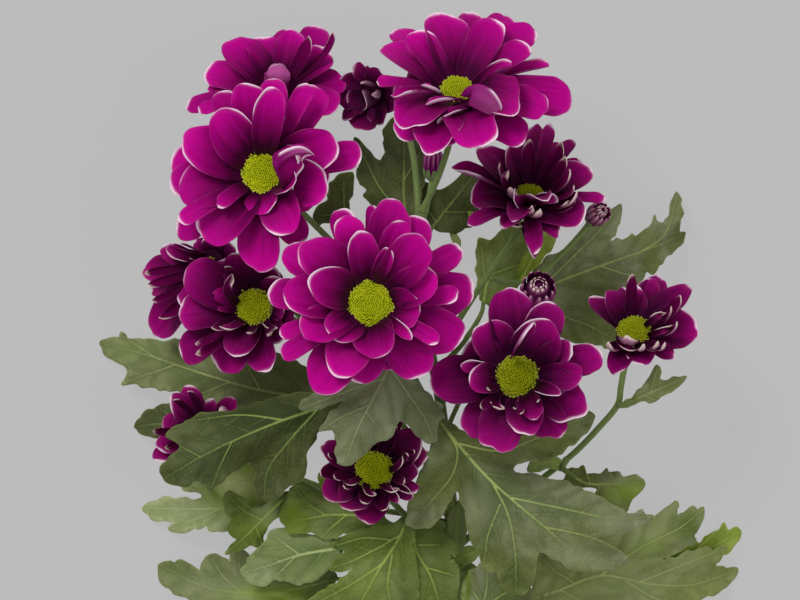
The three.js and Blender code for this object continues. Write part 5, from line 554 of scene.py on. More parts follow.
         [[84.3, -31.3, 54], [87.1, -22.6, 52]],
         [[82.6, -32.4, 53], [86.9, -34.1, 50]],
     ],
     "p": [[75.8, -35.5, 49], [74, -35.4, 47.2]],
    },
    {"id": "10",
     "o": [[43.6, 1.4, 38.1], [43.3, 6.1, 38.3], [45.3, 9.9, 38.8], [48, 12.9, 39.4], [51.4, 15.7, 40.2], [54.4, 16.3, 41.2], [57.8, 19.4, 41.8], [62.9, 23.8, 41.4], [67.4, 27.9, 39.1], [71.6, 30.7, 36.3], [75.5, 33.1, 34.2], [75.8, 29.4, 35.1], [74.4, 24.6, 36.4], [72.3, 20.5, 37], [73.7, 21.2, 35.6], [75.2, 20.5, 33.5], [78.1, 21.6, 30.2], [79.6, 23, 28.5], [81, 22, 26.9], [84.7, 24.8, 22], [87, 26.6, 18.6], [88.2, 29.4, 15.7], [89.6, 27.3, 15.2], [91.1, 26.7, 14.6], [93, 29.5, 11.5], [94.3, 34.5, 7], [96.5, 38, 4.9], [97.9, 34.8, 6.1], [98.3, 30.9, 9.2], [97.7, 26.1, 8.7], [97.6, 23.7, 4.1], [99.9, 23.8, 1.1], [99, 20.2, 4.1], [95.3, 17, 13.2], [91.4, 14.1, 20.5], [89.1, 11, 24.7], [86.6, 8.6, 25.3], [84.9, 9.6, 25.9], [83.4, 6.9, 27.5], [79.5, 4.1, 30.5], [74.5, 1.4, 33.2], [72.4, -2.1, 34.2], [74.2, -6.8, 33.8], [74.6, -12, 32.7], [73.9, -15.1, 32.6], [70.4, -16.4, 33.3], [65.6, -15, 35.1], [59.7, -14.7, 36.6], [54.5, -12.6, 37.6], [50.4, -8.9, 38.3], [46.3, -4.1, 38.1]],
     "v": [
         [[45, 2.7, 38], [56.1, 7.1, 42], [68.1, 11.6, 40], [82.2, 16.4, 30], [99.4, 22.8, -2]],
         [[49.3, 5.4, 40], [61.1, 17, 44], [68, 23.8, 42], [75.2, 32.1, 34]],
         [[82.2, 16.4, 30], [91.5, 22.5, 18], [96.6, 36.6, 4]],
         [[47.7, 1.4, 38], [54.5, -4.8, 40], [64.8, -8.9, 38], [72.5, -13, 32]],
         [[68.1, 11.6, 40], [78.7, 8.6, 32], [86, 9.6, 24]],
     ],
     "p": [[45, 2.7, 38], [36.8, -7.5, 38], [25.2, -21.1, 37], [13.8, -35.5, 36.8]],
    },
    {"id": "11",
     "o": [[-16.1, 56.7, -1.4], [-13.6, 55.6, 0.8], [-10.8, 52.2, 7.1], [-8.3, 49.2, 13], [-6.6, 48.4, 16.2], [-5.5, 51.2, 15.5], [-5.9, 59, 10.8], [-2.8, 63.3, 7.8], [1.7, 64.5, 5.2], [5.6, 62.6, 8.5], [8.3, 55.2, 19.8], [9.6, 48.2, 23.2], [8.6, 41.2, 26.5], [6.8, 34.2, 31.2], [4.8, 25.6, 34.8], [1.4, 23.2, 35.1], [-2.7, 25.7, 32.7], [-6.9, 30.2, 30], [-10.3, 33, 27.1], [-12.7, 35.8, 23.8], [-11.7, 37.9, 22.9], [-14.9, 41.5, 17.3], [-14.6, 46.9, 11.1], [-15.7, 51.6, 4.1]],
     "v": [
         [[3.4, 21.8, 36], [1.4, 34.2, 34], [1.4, 46.4, 24], [1.4, 62.8, 4]],
         [[2, 30.1, 35], [-5.1, 36, 30], [-11.1, 46.8, 14], [-15.8, 56.1, -3]],
         [[1.4, 41.1, 30], [7.6, 51.7, 22]],
     ],
     "p": [[3.4, 21.8, 36], [4.1, 12.9, 40], [5.8, 5.1, 43.5]],
    },
    {"id": "12",
     "o": [[-1.7, 45.8, 12.4], [1.7, 46.8, 12.7], [5.2, 44.7, 13.8], [8.6, 40.8, 15.8], [13.8, 38, 18.5], [19, 41.4, 18.3], [24.9, 46.7, 17], [29.7, 42.2, 17.2], [29, 36.3, 17.5], [27, 30.4, 17.3], [24.2, 25.2, 18.1], [19, 23.1, 19.2], [13.8, 23.4, 20.8], [9.7, 26.2, 20.9], [4.8, 31.8, 17.7], [0, 38.1, 14.4]],
     "v": [
         [[11, 24.8, 22], [17.2, 32.8, 21], [26.3, 44.2, 17]],
         [[12.4, 26.9, 21], [6.2, 36.3, 17], [0, 44.4, 12]],
         [[15.5, 30.3, 21], [25.9, 30.4, 17]],
     ],
     "p": [[11, 24.8, 22], [8.9, 18.5, 33], [5.8, 10.9, 45.2]],
    },
    {"id": "13",
     "o": [[27.3, 1.4, 33.6], [26.3, 10.3, 32], [26.4, 17.1, 30.3], [27.1, 21.2, 29.7], [30.9, 20.2, 29.3], [34.4, 23.4, 26.1], [36.5, 26.8, 23.8], [41.3, 26.9, 22.9], [44.7, 23.4, 25], [46, 17.2, 27.8], [42.5, 8.6, 29.1], [37.7, 0, 31.4], [32.5, -3.4, 33.1]],
     "v": [
         [[28, -4.1, 34], [30.1, 6.8, 34], [36, 17.1, 30], [39.6, 26.2, 22]],
         [[29.4, 3.4, 34], [27.8, 18.8, 30]],
         [[31.5, 8.9, 33], [43.2, 13, 28]],
     ],
     "p": [[28, -4.1, 34], [22.2, -13.7, 36], [11.9, -25.2, 38.3]],
    },
    {"id": "14",
     "o": [[46.1, 25.1, 45], [49.5, 23.4, 45.7], [53.2, 20.7, 45.5], [50.5, 16.3, 45.4], [47.5, 12.5, 45], [44.1, 9.2, 43.6], [41.5, 5.4, 42.3], [40.1, 8.2, 42.6], [40.7, 12.9, 44], [43.7, 17, 45.3], [45.4, 20.3, 45.4]],
     "v": [
         [[41.1, 6.5, 42], [45.1, 14.2, 46], [50.5, 21.7, 46]],
     ],
     "p": [[41.1, 6.5, 43], [35.6, 5.8, 45], [30.1, 7.8, 50]],
    },
    {"id": "15",
     "o": [[-89.7, -72.8, -2.5], [-87.5, -71, -1.2], [-84.5, -70.2, 1.2], [-82.7, -69.1, 3.3], [-76.5, -69.2, 8.4], [-70.7, -69.4, 12.3], [-68.3, -69, 13.4], [-68.3, -67.3, 12.9], [-70.4, -66.3, 11.6], [-74.3, -66, 10.5], [-75.4, -64.9, 10.3], [-72.9, -63.5, 10.5], [-69.4, -62.4, 11.9], [-67.2, -64.8, 13.1], [-65.1, -66.1, 14.7], [-61.5, -63.2, 17.8], [-57, -60.8, 18.2], [-53.6, -57.7, 17.3], [-51.2, -56, 17.1], [-49.8, -58.8, 17.4], [-49.4, -63.9, 18.9], [-46.8, -68.2, 22.2], [-44.1, -71.6, 23.6], [-47.5, -75.1, 22.3], [-51.8, -79.4, 19.7], [-58.1, -79.5, 17.6], [-65.1, -79.7, 14.1], [-67.2, -78.3, 13.1], [-71.2, -79.2, 10.3], [-75.9, -80.8, 6.8], [-79.5, -80.5, 4.5], [-80.5, -79.5, 4.5], [-78, -77.3, 6.2], [-80.1, -76.7, 5.1], [-84.5, -76.8, 2.4], [-87.4, -75.6, -0.6]],
     "v": [
         [[-44.7, -71.6, 24], [-55.1, -71.7, 22], [-69.3, -72.4, 13], [-89, -72.9, -3]],
         [[-55.1, -71.7, 22], [-58, -66.2, 20], [-52.9, -58.1, 17]],
         [[-65, -72.3, 16], [-72.9, -64.9, 10]],
         [[-62.2, -72.2, 18], [-79.5, -79.9, 4]],
     ],
     "p": [[-44.7, -71.6, 24], [-27.6, -80.8, 19], [0, -95, 18], [20.3, -110.3, 21]],
    },
    {"id": "16",
     "o": [[-38.3, -65.6, 34], [-42.7, -67.3, 34.4], [-47.1, -71.1, 34.3], [-51.3, -71.1, 33.1], [-54.8, -67.5, 30.8], [-58.3, -65.8, 29.7], [-60.3, -67.9, 29.6], [-59.6, -71.9, 30.7], [-57.5, -75.3, 31.6], [-58.9, -79.1, 30.4], [-55.8, -81.5, 30.3], [-57.6, -84.4, 27.9], [-59.8, -87.2, 26.8], [-54.9, -85.4, 29.1], [-51.4, -83.9, 31.3], [-48.6, -84.2, 31.1], [-46.2, -83.9, 30.9], [-47.2, -80.4, 32.4], [-43.7, -75.1, 34.6], [-41, -73.1, 34.7], [-39.3, -69.7, 34.4]],
     "v": [
         [[-38.6, -67, 34], [-44.4, -72.3, 36], [-51.3, -79.3, 34], [-58.8, -86.2, 26]],
         [[-47.1, -75.1, 35], [-53.7, -71.8, 33], [-58.6, -67.5, 29]],
         [[-49.2, -77.5, 35], [-47.3, -83.3, 30]],
     ],
     "p": [[-38.6, -67, 34], [-27.4, -68.4, 33], [-6.9, -71.9, 30.5], [8.6, -74.7, 29.5], [18.5, -78.9, 27.8]],
    },
    {"id": "17",
     "o": [[-20.1, -83.3, 35.9], [-25.6, -81.9, 36.1], [-33.1, -80.9, 35.8], [-38.6, -78.6, 34.7], [-44.1, -79.6, 34.1], [-45.1, -82, 34], [-47.2, -84.5, 32.9], [-49.6, -86.3, 31.2], [-51.4, -89.1, 29.2], [-53.9, -92.7, 26.9], [-52.9, -95.1, 27.2], [-49.7, -97, 29.3], [-46.2, -97.2, 31.2], [-42.8, -95.1, 31.8], [-39.3, -95.7, 33], [-35.2, -96.4, 34.1], [-30.1, -95.6, 34.7], [-25.6, -92.2, 35.6], [-22.2, -89.1, 35.9], [-20.1, -86, 35.9]],
     "v": [
         [[-20.5, -84.6, 36], [-34.1, -86.9, 38], [-44.4, -90.6, 34], [-53.3, -93.5, 26]],
         [[-34.1, -86.9, 38], [-42.7, -81, 34]],
         [[-35.8, -87.6, 38], [-42.8, -94.9, 31]],
     ],
     "p": [[-20.5, -84.6, 36], [-6.8, -86.3, 31], [6.9, -91.4, 26], [19.8, -99.9, 22.8]],
    },
    {"id": "18",
     "o": [[-83.7, -92.1, -2.4], [-79.4, -92.3, -0.3], [-76.8, -91.2, 1.8], [-73.2, -92.7, 4.8], [-69.6, -94.3, 7.8], [-68.5, -92.5, 8.6], [-67.4, -89.7, 8.6], [-65.4, -89, 8.6], [-61.8, -89.6, 9.7], [-58.6, -91.2, 11.6], [-58.3, -87.8, 10.8], [-56.2, -86.4, 10.6], [-53.1, -88.5, 11.2], [-52, -91.9, 12.8], [-50.2, -95.9, 15.5], [-45.6, -98.2, 17.4], [-38, -98.3, 19.9], [-30.3, -97.2, 20.8], [-24.1, -93.4, 21.1], [-22.1, -95.8, 21.9], [-26.9, -100.7, 20.7], [-34.5, -104.6, 19.1], [-45, -107.9, 16.4], [-55.4, -108.4, 14], [-64.2, -106.5, 11.6], [-71.3, -104.3, 8.1], [-74.9, -103.1, 6], [-78.5, -101.5, 3.7], [-82.1, -99.6, 1.2], [-84, -96.2, -1.2]],
     "v": [
         [[-22, -96.1, 22], [-41.4, -100.7, 20], [-58.8, -101.1, 15], [-71.3, -98.5, 7], [-83, -93.2, -3]],
         [[-55.3, -101, 16], [-61.7, -95.4, 12], [-65.4, -89.7, 8]],
         [[-48.4, -100.9, 18], [-55.4, -93.5, 14], [-55.6, -87.9, 10]],
     ],
     "p": [[-24.1, -95.1, 22], [-6.9, -100, 20], [6.9, -106.3, 20], [20.5, -115.9, 20.2]],
    },
    {"id": "19",
     "o": [[2, -72.6, 44.4], [-1.7, -75.9, 45.5], [-6.8, -76.3, 44.5], [-12.9, -78.1, 42.5], [-18.7, -80.3, 39.5], [-23.2, -83.2, 37.9], [-20.4, -84.5, 38.3], [-18.7, -85.4, 39.6], [-21.8, -88.6, 38.3], [-23.9, -91.7, 37.1], [-20.4, -92.3, 38.6], [-16.3, -91.1, 41.4], [-18.7, -94.2, 40.5], [-24.5, -98.1, 38.1], [-30.1, -101.8, 35], [-34.8, -107.9, 35.6], [-28, -113.4, 35.2], [-18.8, -116.4, 31], [-8.5, -116, 36.8], [-0.7, -112.5, 36.9], [4.1, -106.3, 38.7], [6.1, -98.5, 42.2], [5.4, -89.9, 44.7], [4.1, -83, 45.9], [3.7, -76.3, 45]],
     "v": [
         [[2.7, -73.6, 44], [-0.7, -81.2, 48], [-6.8, -90.7, 48], [-12.9, -102, 42], [-18.8, -114.4, 30]],
         [[0, -79.6, 47], [-7.5, -84.1, 46], [-17, -89, 42], [-22.9, -91.1, 36]],
         [[-3.4, -81.3, 46], [-11.9, -80.8, 43], [-21.5, -83.6, 37]],
         [[-5.1, -88.7, 48], [-17, -96.9, 42], [-30.1, -104.2, 34]],
         [[-2.7, -86.3, 48], [-4.1, -98.4, 44], [0, -109.9, 36]],
     ],
     "p": [[2.7, -73.6, 44], [6.8, -72.1, 40], [11.6, -71.7, 36], [17.9, -72.7, 29.3]],
    },
    {"id": "20",
     "o": [[4.1, -74.3, 38.3], [8.5, -77.3, 39.2], [13.6, -78.3, 39.6], [17.7, -81.7, 39.8], [19.7, -84.4, 39.7], [15, -87.5, 40.2], [18.7, -90.5, 40], [19.7, -95.3, 39.9], [18.4, -102.3, 37.8], [15, -109.2, 36.3], [10.2, -111.9, 37], [6.8, -106.3, 37.7], [4.4, -97, 40], [3.7, -86.7, 41.2], [3.4, -80, 39.7]],
     "v": [
         [[4.4, -75.7, 38], [5.4, -85, 42], [10.2, -93.5, 42], [14.3, -106.5, 36]],
         [[6.1, -83.3, 41], [13.6, -83.4, 40]],
         [[9.5, -91.1, 42], [17.7, -93.6, 40]],
     ],
     "p": [[4.4, -75.7, 38], [8.2, -75.1, 35.5], [18.2, -76.1, 28.5]],
    },
    {"id": "21",
     "o": [[-24.3, 34.5, 50.7], [-23.7, 39.6, 49.3], [-20.3, 42.6, 48.4], [-15.9, 43.3, 48.6], [-15.6, 37.9, 49.6], [-16.9, 32.7, 51.9], [-16.9, 28.3, 53.4], [-16.2, 20.2, 54], [-18.9, 23.9, 53.6], [-23.6, 26.3, 51.6], [-27.7, 25, 50.7], [-29.7, 28.4, 50.3], [-27.7, 31.8, 50.5]],
     "v": [
         [[-16.2, 20.2, 54], [-18.5, 28.7, 54], [-19, 40.6, 48]],
         [[-18.5, 28.7, 54], [-27, 28.7, 50]],
     ],
     "p": [[-16.2, 20.2, 54], [-6.8, 6.8, 50], [8.3, -8.2, 41]],
    },
    {"id": "22",
     "o": [[-4.8, -76.3, 38.1], [-9.5, -79, 38.5], [-15, -80.4, 38.7], [-19.1, -79.7, 38.9], [-22.5, -81.1, 38.5], [-26.6, -81.4, 38.4], [-30, -79, 38.7], [-33.7, -79.7, 38.2], [-37.8, -79.1, 37.6], [-40.6, -75.7, 37.3], [-40.6, -71.2, 37.6], [-38.2, -67.5, 38.2], [-37.5, -64.1, 38.2], [-35.1, -62.7, 38.2], [-32, -64, 38.6], [-29.3, -66.1, 39.2], [-27.2, -63.7, 39], [-27.9, -59.9, 38.9], [-25.9, -56.5, 38.9], [-22.5, -55.2, 38.9], [-18.7, -57.9, 39.1], [-15, -62.6, 39.4], [-10.2, -67.4, 38.9], [-5.5, -71.9, 38.3]],
     "v": [
         [[-5.1, -75.7, 38], [-13.6, -73.5, 40], [-23.8, -73.1, 41], [-34.1, -74.9, 39], [-39.6, -75, 37]],
         [[-13.6, -73.5, 40], [-19.7, -66.3, 41], [-23.8, -57.9, 39]],
         [[-25.5, -73.1, 41], [-32, -68.7, 40], [-35.4, -64.4, 38]],
         [[-18.7, -73.5, 40], [-25.2, -79.1, 38]],
     ],
     "p": [[-5.1, -75.7, 38], [-0.7, -77.6, 33], [4.1, -79.2, 28.5], [11, -81.4, 26], [19, -84.5, 26.5]],
    },
    {"id": "24",
     "o": [[24, -119.5, 27.4], [21.3, -115.2, 28.6], [20.6, -110.3, 29.9], [21.6, -104.8, 31.1], [20.9, -100, 31.3], [22.6, -95.2, 31.2], [26, -91.7, 32.2], [29.4, -89.6, 32.8], [33.5, -91.7, 32.6], [38.3, -93.8, 31.9], [42.4, -97.2, 31.6], [45.2, -100, 31.3], [44.5, -104.8, 31.3], [41.1, -106.8, 31.2], [39.7, -112.4, 30.3], [34.3, -114.4, 30], [30.2, -116.6, 29.2], [26.8, -119.4, 27.7]],
     "v": [
         [[24.4, -119.1, 27], [26.7, -109.6, 31], [29.4, -99.8, 34], [30.1, -91.3, 33]],
         [[27.4, -106.8, 32], [36.9, -99.8, 34], [43.1, -100.7, 31]],
         [[26.7, -110.3, 31], [34.3, -110.3, 30]],
         [[28, -104, 33], [22.6, -96.6, 31]],
     ],
     "p": [[24.4, -119.1, 27], [23.4, -122.3, 22.5], [20.9, -125.7, 18.8]],
    },
]

def smooth(a, b, x):
    t = np.clip((x - a) / (b - a), 0.0, 1.0)
    return t * t * (3 - 2 * t)

# ------------------------------------------------------------------ mesh collector
NAMES = ("s", "u", "rim", "side", "rnd", "aux")

class Build:
    """collects faces and point attributes of one piece"""
    def __init__(self):
        self.v, self.n = [], 0
        self.fc = []
        self.at = {k: [] for k in NAMES}
    def add(self, verts, faces, mat=0, **att):
        verts = np.asarray(verts, float)
        k = len(verts)
        self.v.append(verts)
        for block in faces:
            block = np.atleast_2d(np.asarray(block, np.int64))
            if block.size:
                self.fc.append((block + self.n, mat))
        for nme in NAMES:
            a = att.get(nme, 0.0)
            self.at[nme].append(np.full(k, a, float) if np.isscalar(a) else np.asarray(a, float).ravel())
        self.n += k
    def object(self, name, mats):
        V = (np.concatenate(self.v) + SHIFT) * MM
        me = bpy.data.meshes.new(name)
        me.vertices.add(len(V))
        me.vertices.foreach_set("co", V.astype(np.float32).ravel())
        loops = np.concatenate([f.ravel() for f, _ in self.fc])
        sizes = np.concatenate([np.full(len(f), f.shape[1]) for f, _ in self.fc])
        mi = np.concatenate([np.full(len(f), m) for f, m in self.fc])
        me.loops.add(len(loops))
        me.loops.foreach_set("vertex_index", loops.astype(np.int32))
        me.polygons.add(len(sizes))
        me.polygons.foreach_set("loop_start", np.r_[0, np.cumsum(sizes)[:-1]].astype(np.int32))
        for nme in NAMES:
            a = me.attributes.new(nme, "FLOAT", "POINT")
            a.data.foreach_set("value", np.concatenate(self.at[nme]).astype(np.float32))
        for mt in mats:
            me.materials.append(mt)
        me.polygons.foreach_set("material_index", mi.astype(np.int32))
        me.polygons.foreach_set("use_smooth", np.ones(len(sizes), bool))
        me.update(calc_edges=True)
        me.validate()
        ob = bpy.data.objects.new(name, me)
        bpy.context.scene.collection.objects.link(ob)
        return ob

def grid_quads(nu, nv, closed=False):
    i, j = np.meshgrid(np.arange(nu - 1), np.arange(nv if closed else nv - 1), indexing="ij")
    a = i * nv + j
    b = i * nv + (j + 1) % nv
    return np.stack([a, b, b + nv, a + nv], axis=-1).reshape(-1, 4)

def shell(build, G, T, mat, s, u, rim, rnd, aux=0.0):
    """closed sheet from a grid of points G (rows along, columns across) with thickness T"""
    nu, nv = G.shape[:2]
    du = np.gradient(G, axis=0)
    dv = np.gradient(G, axis=1)
    N = np.cross(du, dv)
    N /= np.linalg.norm(N, axis=2, keepdims=True) + 1e-9
    top = G + N * (T[..., None] * 0.5)
    bot = G - N * (T[..., None] * 0.5)
    k = nu * nv
    q = grid_quads(nu, nv)
    up = q[:, ::-1]
    ring = [(i, 0) for i in range(nu)] + [(nu - 1, j) for j in range(1, nv)] + [(i, nv - 1) for i in range(nu - 2, -1, -1)] + [(0, j) for j in range(nv - 2, 0, -1)]
    ids = np.array([i * nv + j for i, j in ring])
    nx = np.roll(ids, -1)
    wall = np.stack([nx, ids, ids + k, nx + k], axis=1)
    side = np.concatenate([np.ones(k), np.zeros(k)])
    two = lambda x: np.concatenate([np.asarray(x, float).ravel()] * 2)
    build.add(np.concatenate([top.reshape(-1, 3), bot.reshape(-1, 3)]), [up, q + k, wall], mat, s=two(s), u=two(u), rim=two(rim), side=side, rnd=rnd, aux=two(aux) if np.ndim(aux) else aux)

def head_frame(c, n):
    c = np.array(c, float)
    n = np.array(n, float)
    n /= np.linalg.norm(n)
    u = np.array([1.0, 0, 0]) - n[0] * n
    u /= np.linalg.norm(u)
    return c, n, u, np.cross(n, u)

ROWS = np.array([0, .06, .13, .21, .29, .37, .45, .53, .60, .66, .72, .78, .83, .88, .925, .96, .985, 1.0])
COLS = np.array([-1, -.965, -.90, -.80, -.66, -.50, -.33, -.16, 0, .16, .33, .50, .66, .80, .90, .965, 1.0])
ROWS_LOW = np.linspace(0, 1, 9)
COLS_LOW = np.linspace(-1, 1, 7)

def petal(build, line, nrm, W, seed, mat=0, thick=PETAL_T, rows=ROWS, cols=COLS, cup=(0.6, 0.4), ruffle=1.0, base_w=0.5, point=0.0, lip=0.3, arc=None, sway=0.0, wavy=0.0, shade=0.0, tip_k=1.0, wide=0.8, weak=0.10):
    """one petal along a line of points with upper-face normals: cupped, grooved, ruffled, with a round or pointed tip"""
    R = random.Random(seed)
    line = np.asarray(line, float)
    seg = np.linalg.norm(np.diff(line, axis=0), axis=1)
    sg = np.r_[0, np.cumsum(seg)]
    L = sg[-1]
    sg = sg / L
    T = np.gradient(line, axis=0)
    T /= np.linalg.norm(T, axis=1, keepdims=True)
    nrm = nrm - (nrm * T).sum(1, keepdims=True) * T
    nrm /= np.linalg.norm(nrm, axis=1, keepdims=True)
    Lt = np.cross(nrm, T)
    s, t = np.meshgrid(rows, cols, indexing="ij")
    hw = 0.5 * W
    m = int(len(line) * 0.8)
    fx = max(0.5, float(np.hypot(T[m, 0], T[m, 1])))
    fy = max(0.5, float(np.hypot(Lt[m, 0], Lt[m, 1])))
    Rt = min(hw * tip_k * R.uniform(0.95, 1.2) * fy / fx, 0.52 * L)
    s0 = 1 - Rt / L
    v = np.clip((s - s0) / (1 - s0), 0, 1)
    f = np.where(s < s0, base_w + (1 - base_w) * np.sin(math.pi / 2 * np.clip(s / s0, 0, 1)) ** wide, 1.0)
    x0 = t * np.sqrt(1 - 0.5 * v * v)
    y0 = v * np.sqrt(1 - 0.5 * t * t)
    rho = np.sqrt(x0 * x0 + y0 * y0)
    ang = np.arctan2(x0, y0 + 1e-6)
    wave = 1 + 0.022 * np.sin(3 * ang + R.uniform(0, 6.28)) + 0.014 * np.sin(6 * ang + R.uniform(0, 6.28)) - R.choice((0, 0, 0.03, 0.06)) * np.exp(-((ang - R.uniform(-0.4, 0.4)) / 0.22) ** 2)
    wave = wave + wavy * (0.07 * np.sin(4 * ang + R.uniform(0, 6.28)) + 0.04 * np.sin(7 * ang + R.uniform(0, 6.28)))
    wave = 1 + (wave - 1) * smooth(0.5, 1.0, rho) * smooth(0.0, 0.5, v)
    x0, y0 = x0 * wave, y0 * wave
    x0 = x0 * (1 - point * np.clip(y0, 0, 1) ** 1.3)
    along = np.where(v > 0, s0 + (1 - s0) * y0, s)
    d = np.where(v > 0, (1 - rho) * hw, (1 - np.abs(t)) * hw * f)
    # strength of the pale edge, partly the petal's own pale margin and partly painted highlight: a bright arc somewhere
    # round the tip, weak elsewhere
    if arc is None:
        arc = (R.uniform(-0.8, 0.8), R.uniform(0.40, 0.85), R.choice((0.35, 0.6, 0.85, 1.0)))
    oa = np.where(v > 0, ang, np.sign(t) * (math.pi / 2 + (s0 - s) * L / hw))
    edge = weak + arc[2] * np.exp(-((oa - arc[0]) / arc[1]) ** 2) + 0.07 * np.sin(5 * oa + R.uniform(0, 6.28))
    edge = np.clip(edge, 0.0, 1.0) * (0.15 + 0.85 * smooth(0.30, 0.62, s))
    al = np.clip(along, 0, 1)
    pick = lambda Q: np.stack([np.interp(al, sg, Q[:, k]) for k in range(3)], axis=2)
    P, tang, nor, lat = pick(line), pick(T), pick(nrm), pick(Lt)
    P = P + ((along - al) * L)[..., None] * tang
    cu = cup[0] + (cup[1] - cup[0]) * s
    th = x0 * f * cu
    x = hw * np.sin(th) / cu
    z = hw * (1 - np.cos(th)) / cu
    grow = smooth(0.0, 0.35, s)
    z = z + 0.018 * W * np.cos(2.6 * math.pi * t + R.uniform(-0.6, 0.6)) * (1 - t ** 4) * grow * (1 - 0.7 * v)
    z = z + 0.010 * W * np.cos(6.5 * math.pi * t + R.uniform(-0.6, 0.6)) * (1 - t ** 4) * grow * (1 - 0.5 * v)
    ph, fr = R.uniform(0, 6.28), R.uniform(1.0, 2.0)
    z = z + ruffle * (0.018 * W + 0.06) * np.sin(ph + 2 * math.pi * fr * s + 1.3 * t) * np.abs(t) ** 3 * smooth(0.2, 0.6, s)
    z = z + wavy * 0.07 * W * np.sin(ph + 5.0 * oa * 0.6) * smooth(0.45, 1.0, np.maximum(np.abs(t), v)) * smooth(0.3, 0.7, s)
    z = z + ruffle * R.uniform(-0.03, 0.05) * W * v ** 2
    z = z + lip * (0.4 + edge) * np.exp(-(d / 0.6) ** 2) * smooth(0.25, 0.6, s)
    P = P + (x + sway * W * s ** 2)[..., None] * lat + z[..., None] * nor
    Th = thick * (0.5 + 0.5 * smooth(0.0, 1.6, d)) * (1.35 - 0.35 * smooth(0, 0.4, s))
    shell(build, P, Th, mat, s, t, d, R.random() + shade, edge)

def ray(build, F, q, seed, mat=0, **kw):
    """a ray petal that leaves the head at azimuth phi and bends from elevation e0 to e1"""
    c, n, uu, vv = F
    phi, r0, h0, L, W, e0, e1, pw, cup, roll, row, kind = q
    R = random.Random(str(seed) + "r")
    a = math.cos(math.radians(phi)) * uu + math.sin(math.radians(phi)) * vv
    b = np.cross(n, a)
    K = 64
    sk = (np.arange(K) + 0.5) / K
    ek = np.radians(e0 + (e1 - e0) * sk ** pw)
    step = (L / K) * (np.cos(ek)[:, None] * a + np.sin(ek)[:, None] * n)
    line = np.vstack([np.zeros(3), np.cumsum(step, axis=0)]) + c + r0 * a + h0 * n
    e = np.radians(e0 + (e1 - e0) * np.linspace(0, 1, K + 1) ** pw)
    up = -np.sin(e)[:, None] * a + np.cos(e)[:, None] * n
    tw = np.radians(roll + R.uniform(-7, 7) * np.linspace(0, 1, K + 1))
    nrm = -np.sin(tw)[:, None] * b + np.cos(tw)[:, None] * up
    kw.setdefault("cup", (cup * 1.2, cup * 0.85))
    kw.setdefault("sway", R.uniform(-0.10, 0.10) * (0.4 if kind in (1, 2, 3) else 1.0))
    petal(build, line, nrm, W, seed, mat, **kw)

def image_point(px, py, z):
    return np.array([(px - 400.0) * (CAM_H - z) / FOCAL_PX, (300.0 - py) * (CAM_H - z) / FOCAL_PX, z])

def free_petal(build, pts, W, n0, n1, seed, **kw):
    """a petal through points given as picture position and height, its upper face turning from n0 to n1"""
    C, T, q = curve_points([image_point(*p) for p in pts], 0.4)
    n0, n1 = np.array(n0, float), np.array(n1, float)
    w = (q / q[-1])[:, None]
    w = w * w * (3 - 2 * w)
    petal(build, C, n0 * (1 - w) + n1 * w, W, seed, **kw)

def patch_petal(build, left, right, bulge, seed, mat=0, thick=PETAL_T, flip=False, arc=(0.0, 9.0, 1.0), ends=(0.15, 0.0)):
    """a petal between two outlines given as picture position and height; bulge lifts its middle"""
    R = random.Random(seed)
    nu = 30
    def way(pts):
        C, _, q = curve_points([image_point(*p) for p in pts], 0.3)
        g = np.linspace(0, q[-1], nu)
        return np.stack([np.interp(g, q, C[:, k]) for k in range(3)], axis=1)
    A, Bq = way(left), way(right)
    cols = COLS
    w = 0.5 * (cols + 1)
    G = A[:, None] * (1 - w)[None, :, None] + Bq[:, None] * w[None, :, None]
    width = np.linalg.norm(Bq - A, axis=1)
    s = np.linspace(0, 1, nu)[:, None] * np.ones(len(cols))
    t = np.ones(nu)[:, None] * cols
    G[..., 2] += bulge * width[:, None] * (1 - t ** 2) + 0.25 * np.sin(5.0 * t + 4.0 * s + R.uniform(0, 6)) * smooth(0.1, 0.4, s)
    d = (1 - np.abs(t)) * 0.5 * width[:, None]
    side_pos = np.where(t > 0, 1.0, -1.0)
    edge = np.clip(0.10 + arc[2] * np.exp(-((side_pos * 1.0 - arc[0]) / arc[1]) ** 2), 0, 1) * smooth(ends[0], ends[0] + 0.2, s)
    nu_, nv = G.shape[:2]
    before = build.n
    shell(build, G, thick * (0.5 + 0.5 * smooth(0.0, 1.6, d)), mat, s, t, d, R.random(), edge)
    if flip:
        sd = build.at["side"][-1]
        build.at["side"][-1] = 1.0 - sd

def lathe(build, F, profile, sides, mat, **att):
    c, n, u, v = F
    ang = np.arange(sides) / sides * 2 * math.pi
    V = np.concatenate([c + max(r, 1e-3) * (np.cos(ang)[:, None] * u + np.sin(ang)[:, None] * v) + h * n for r, h in profile])
    k = len(profile)
    ends = [np.arange(sides)[::-1][None], np.arange((k - 1) * sides, k * sides)[None]]
    build.add(V, [grid_quads(k, sides, True)] + ends, mat, **att)

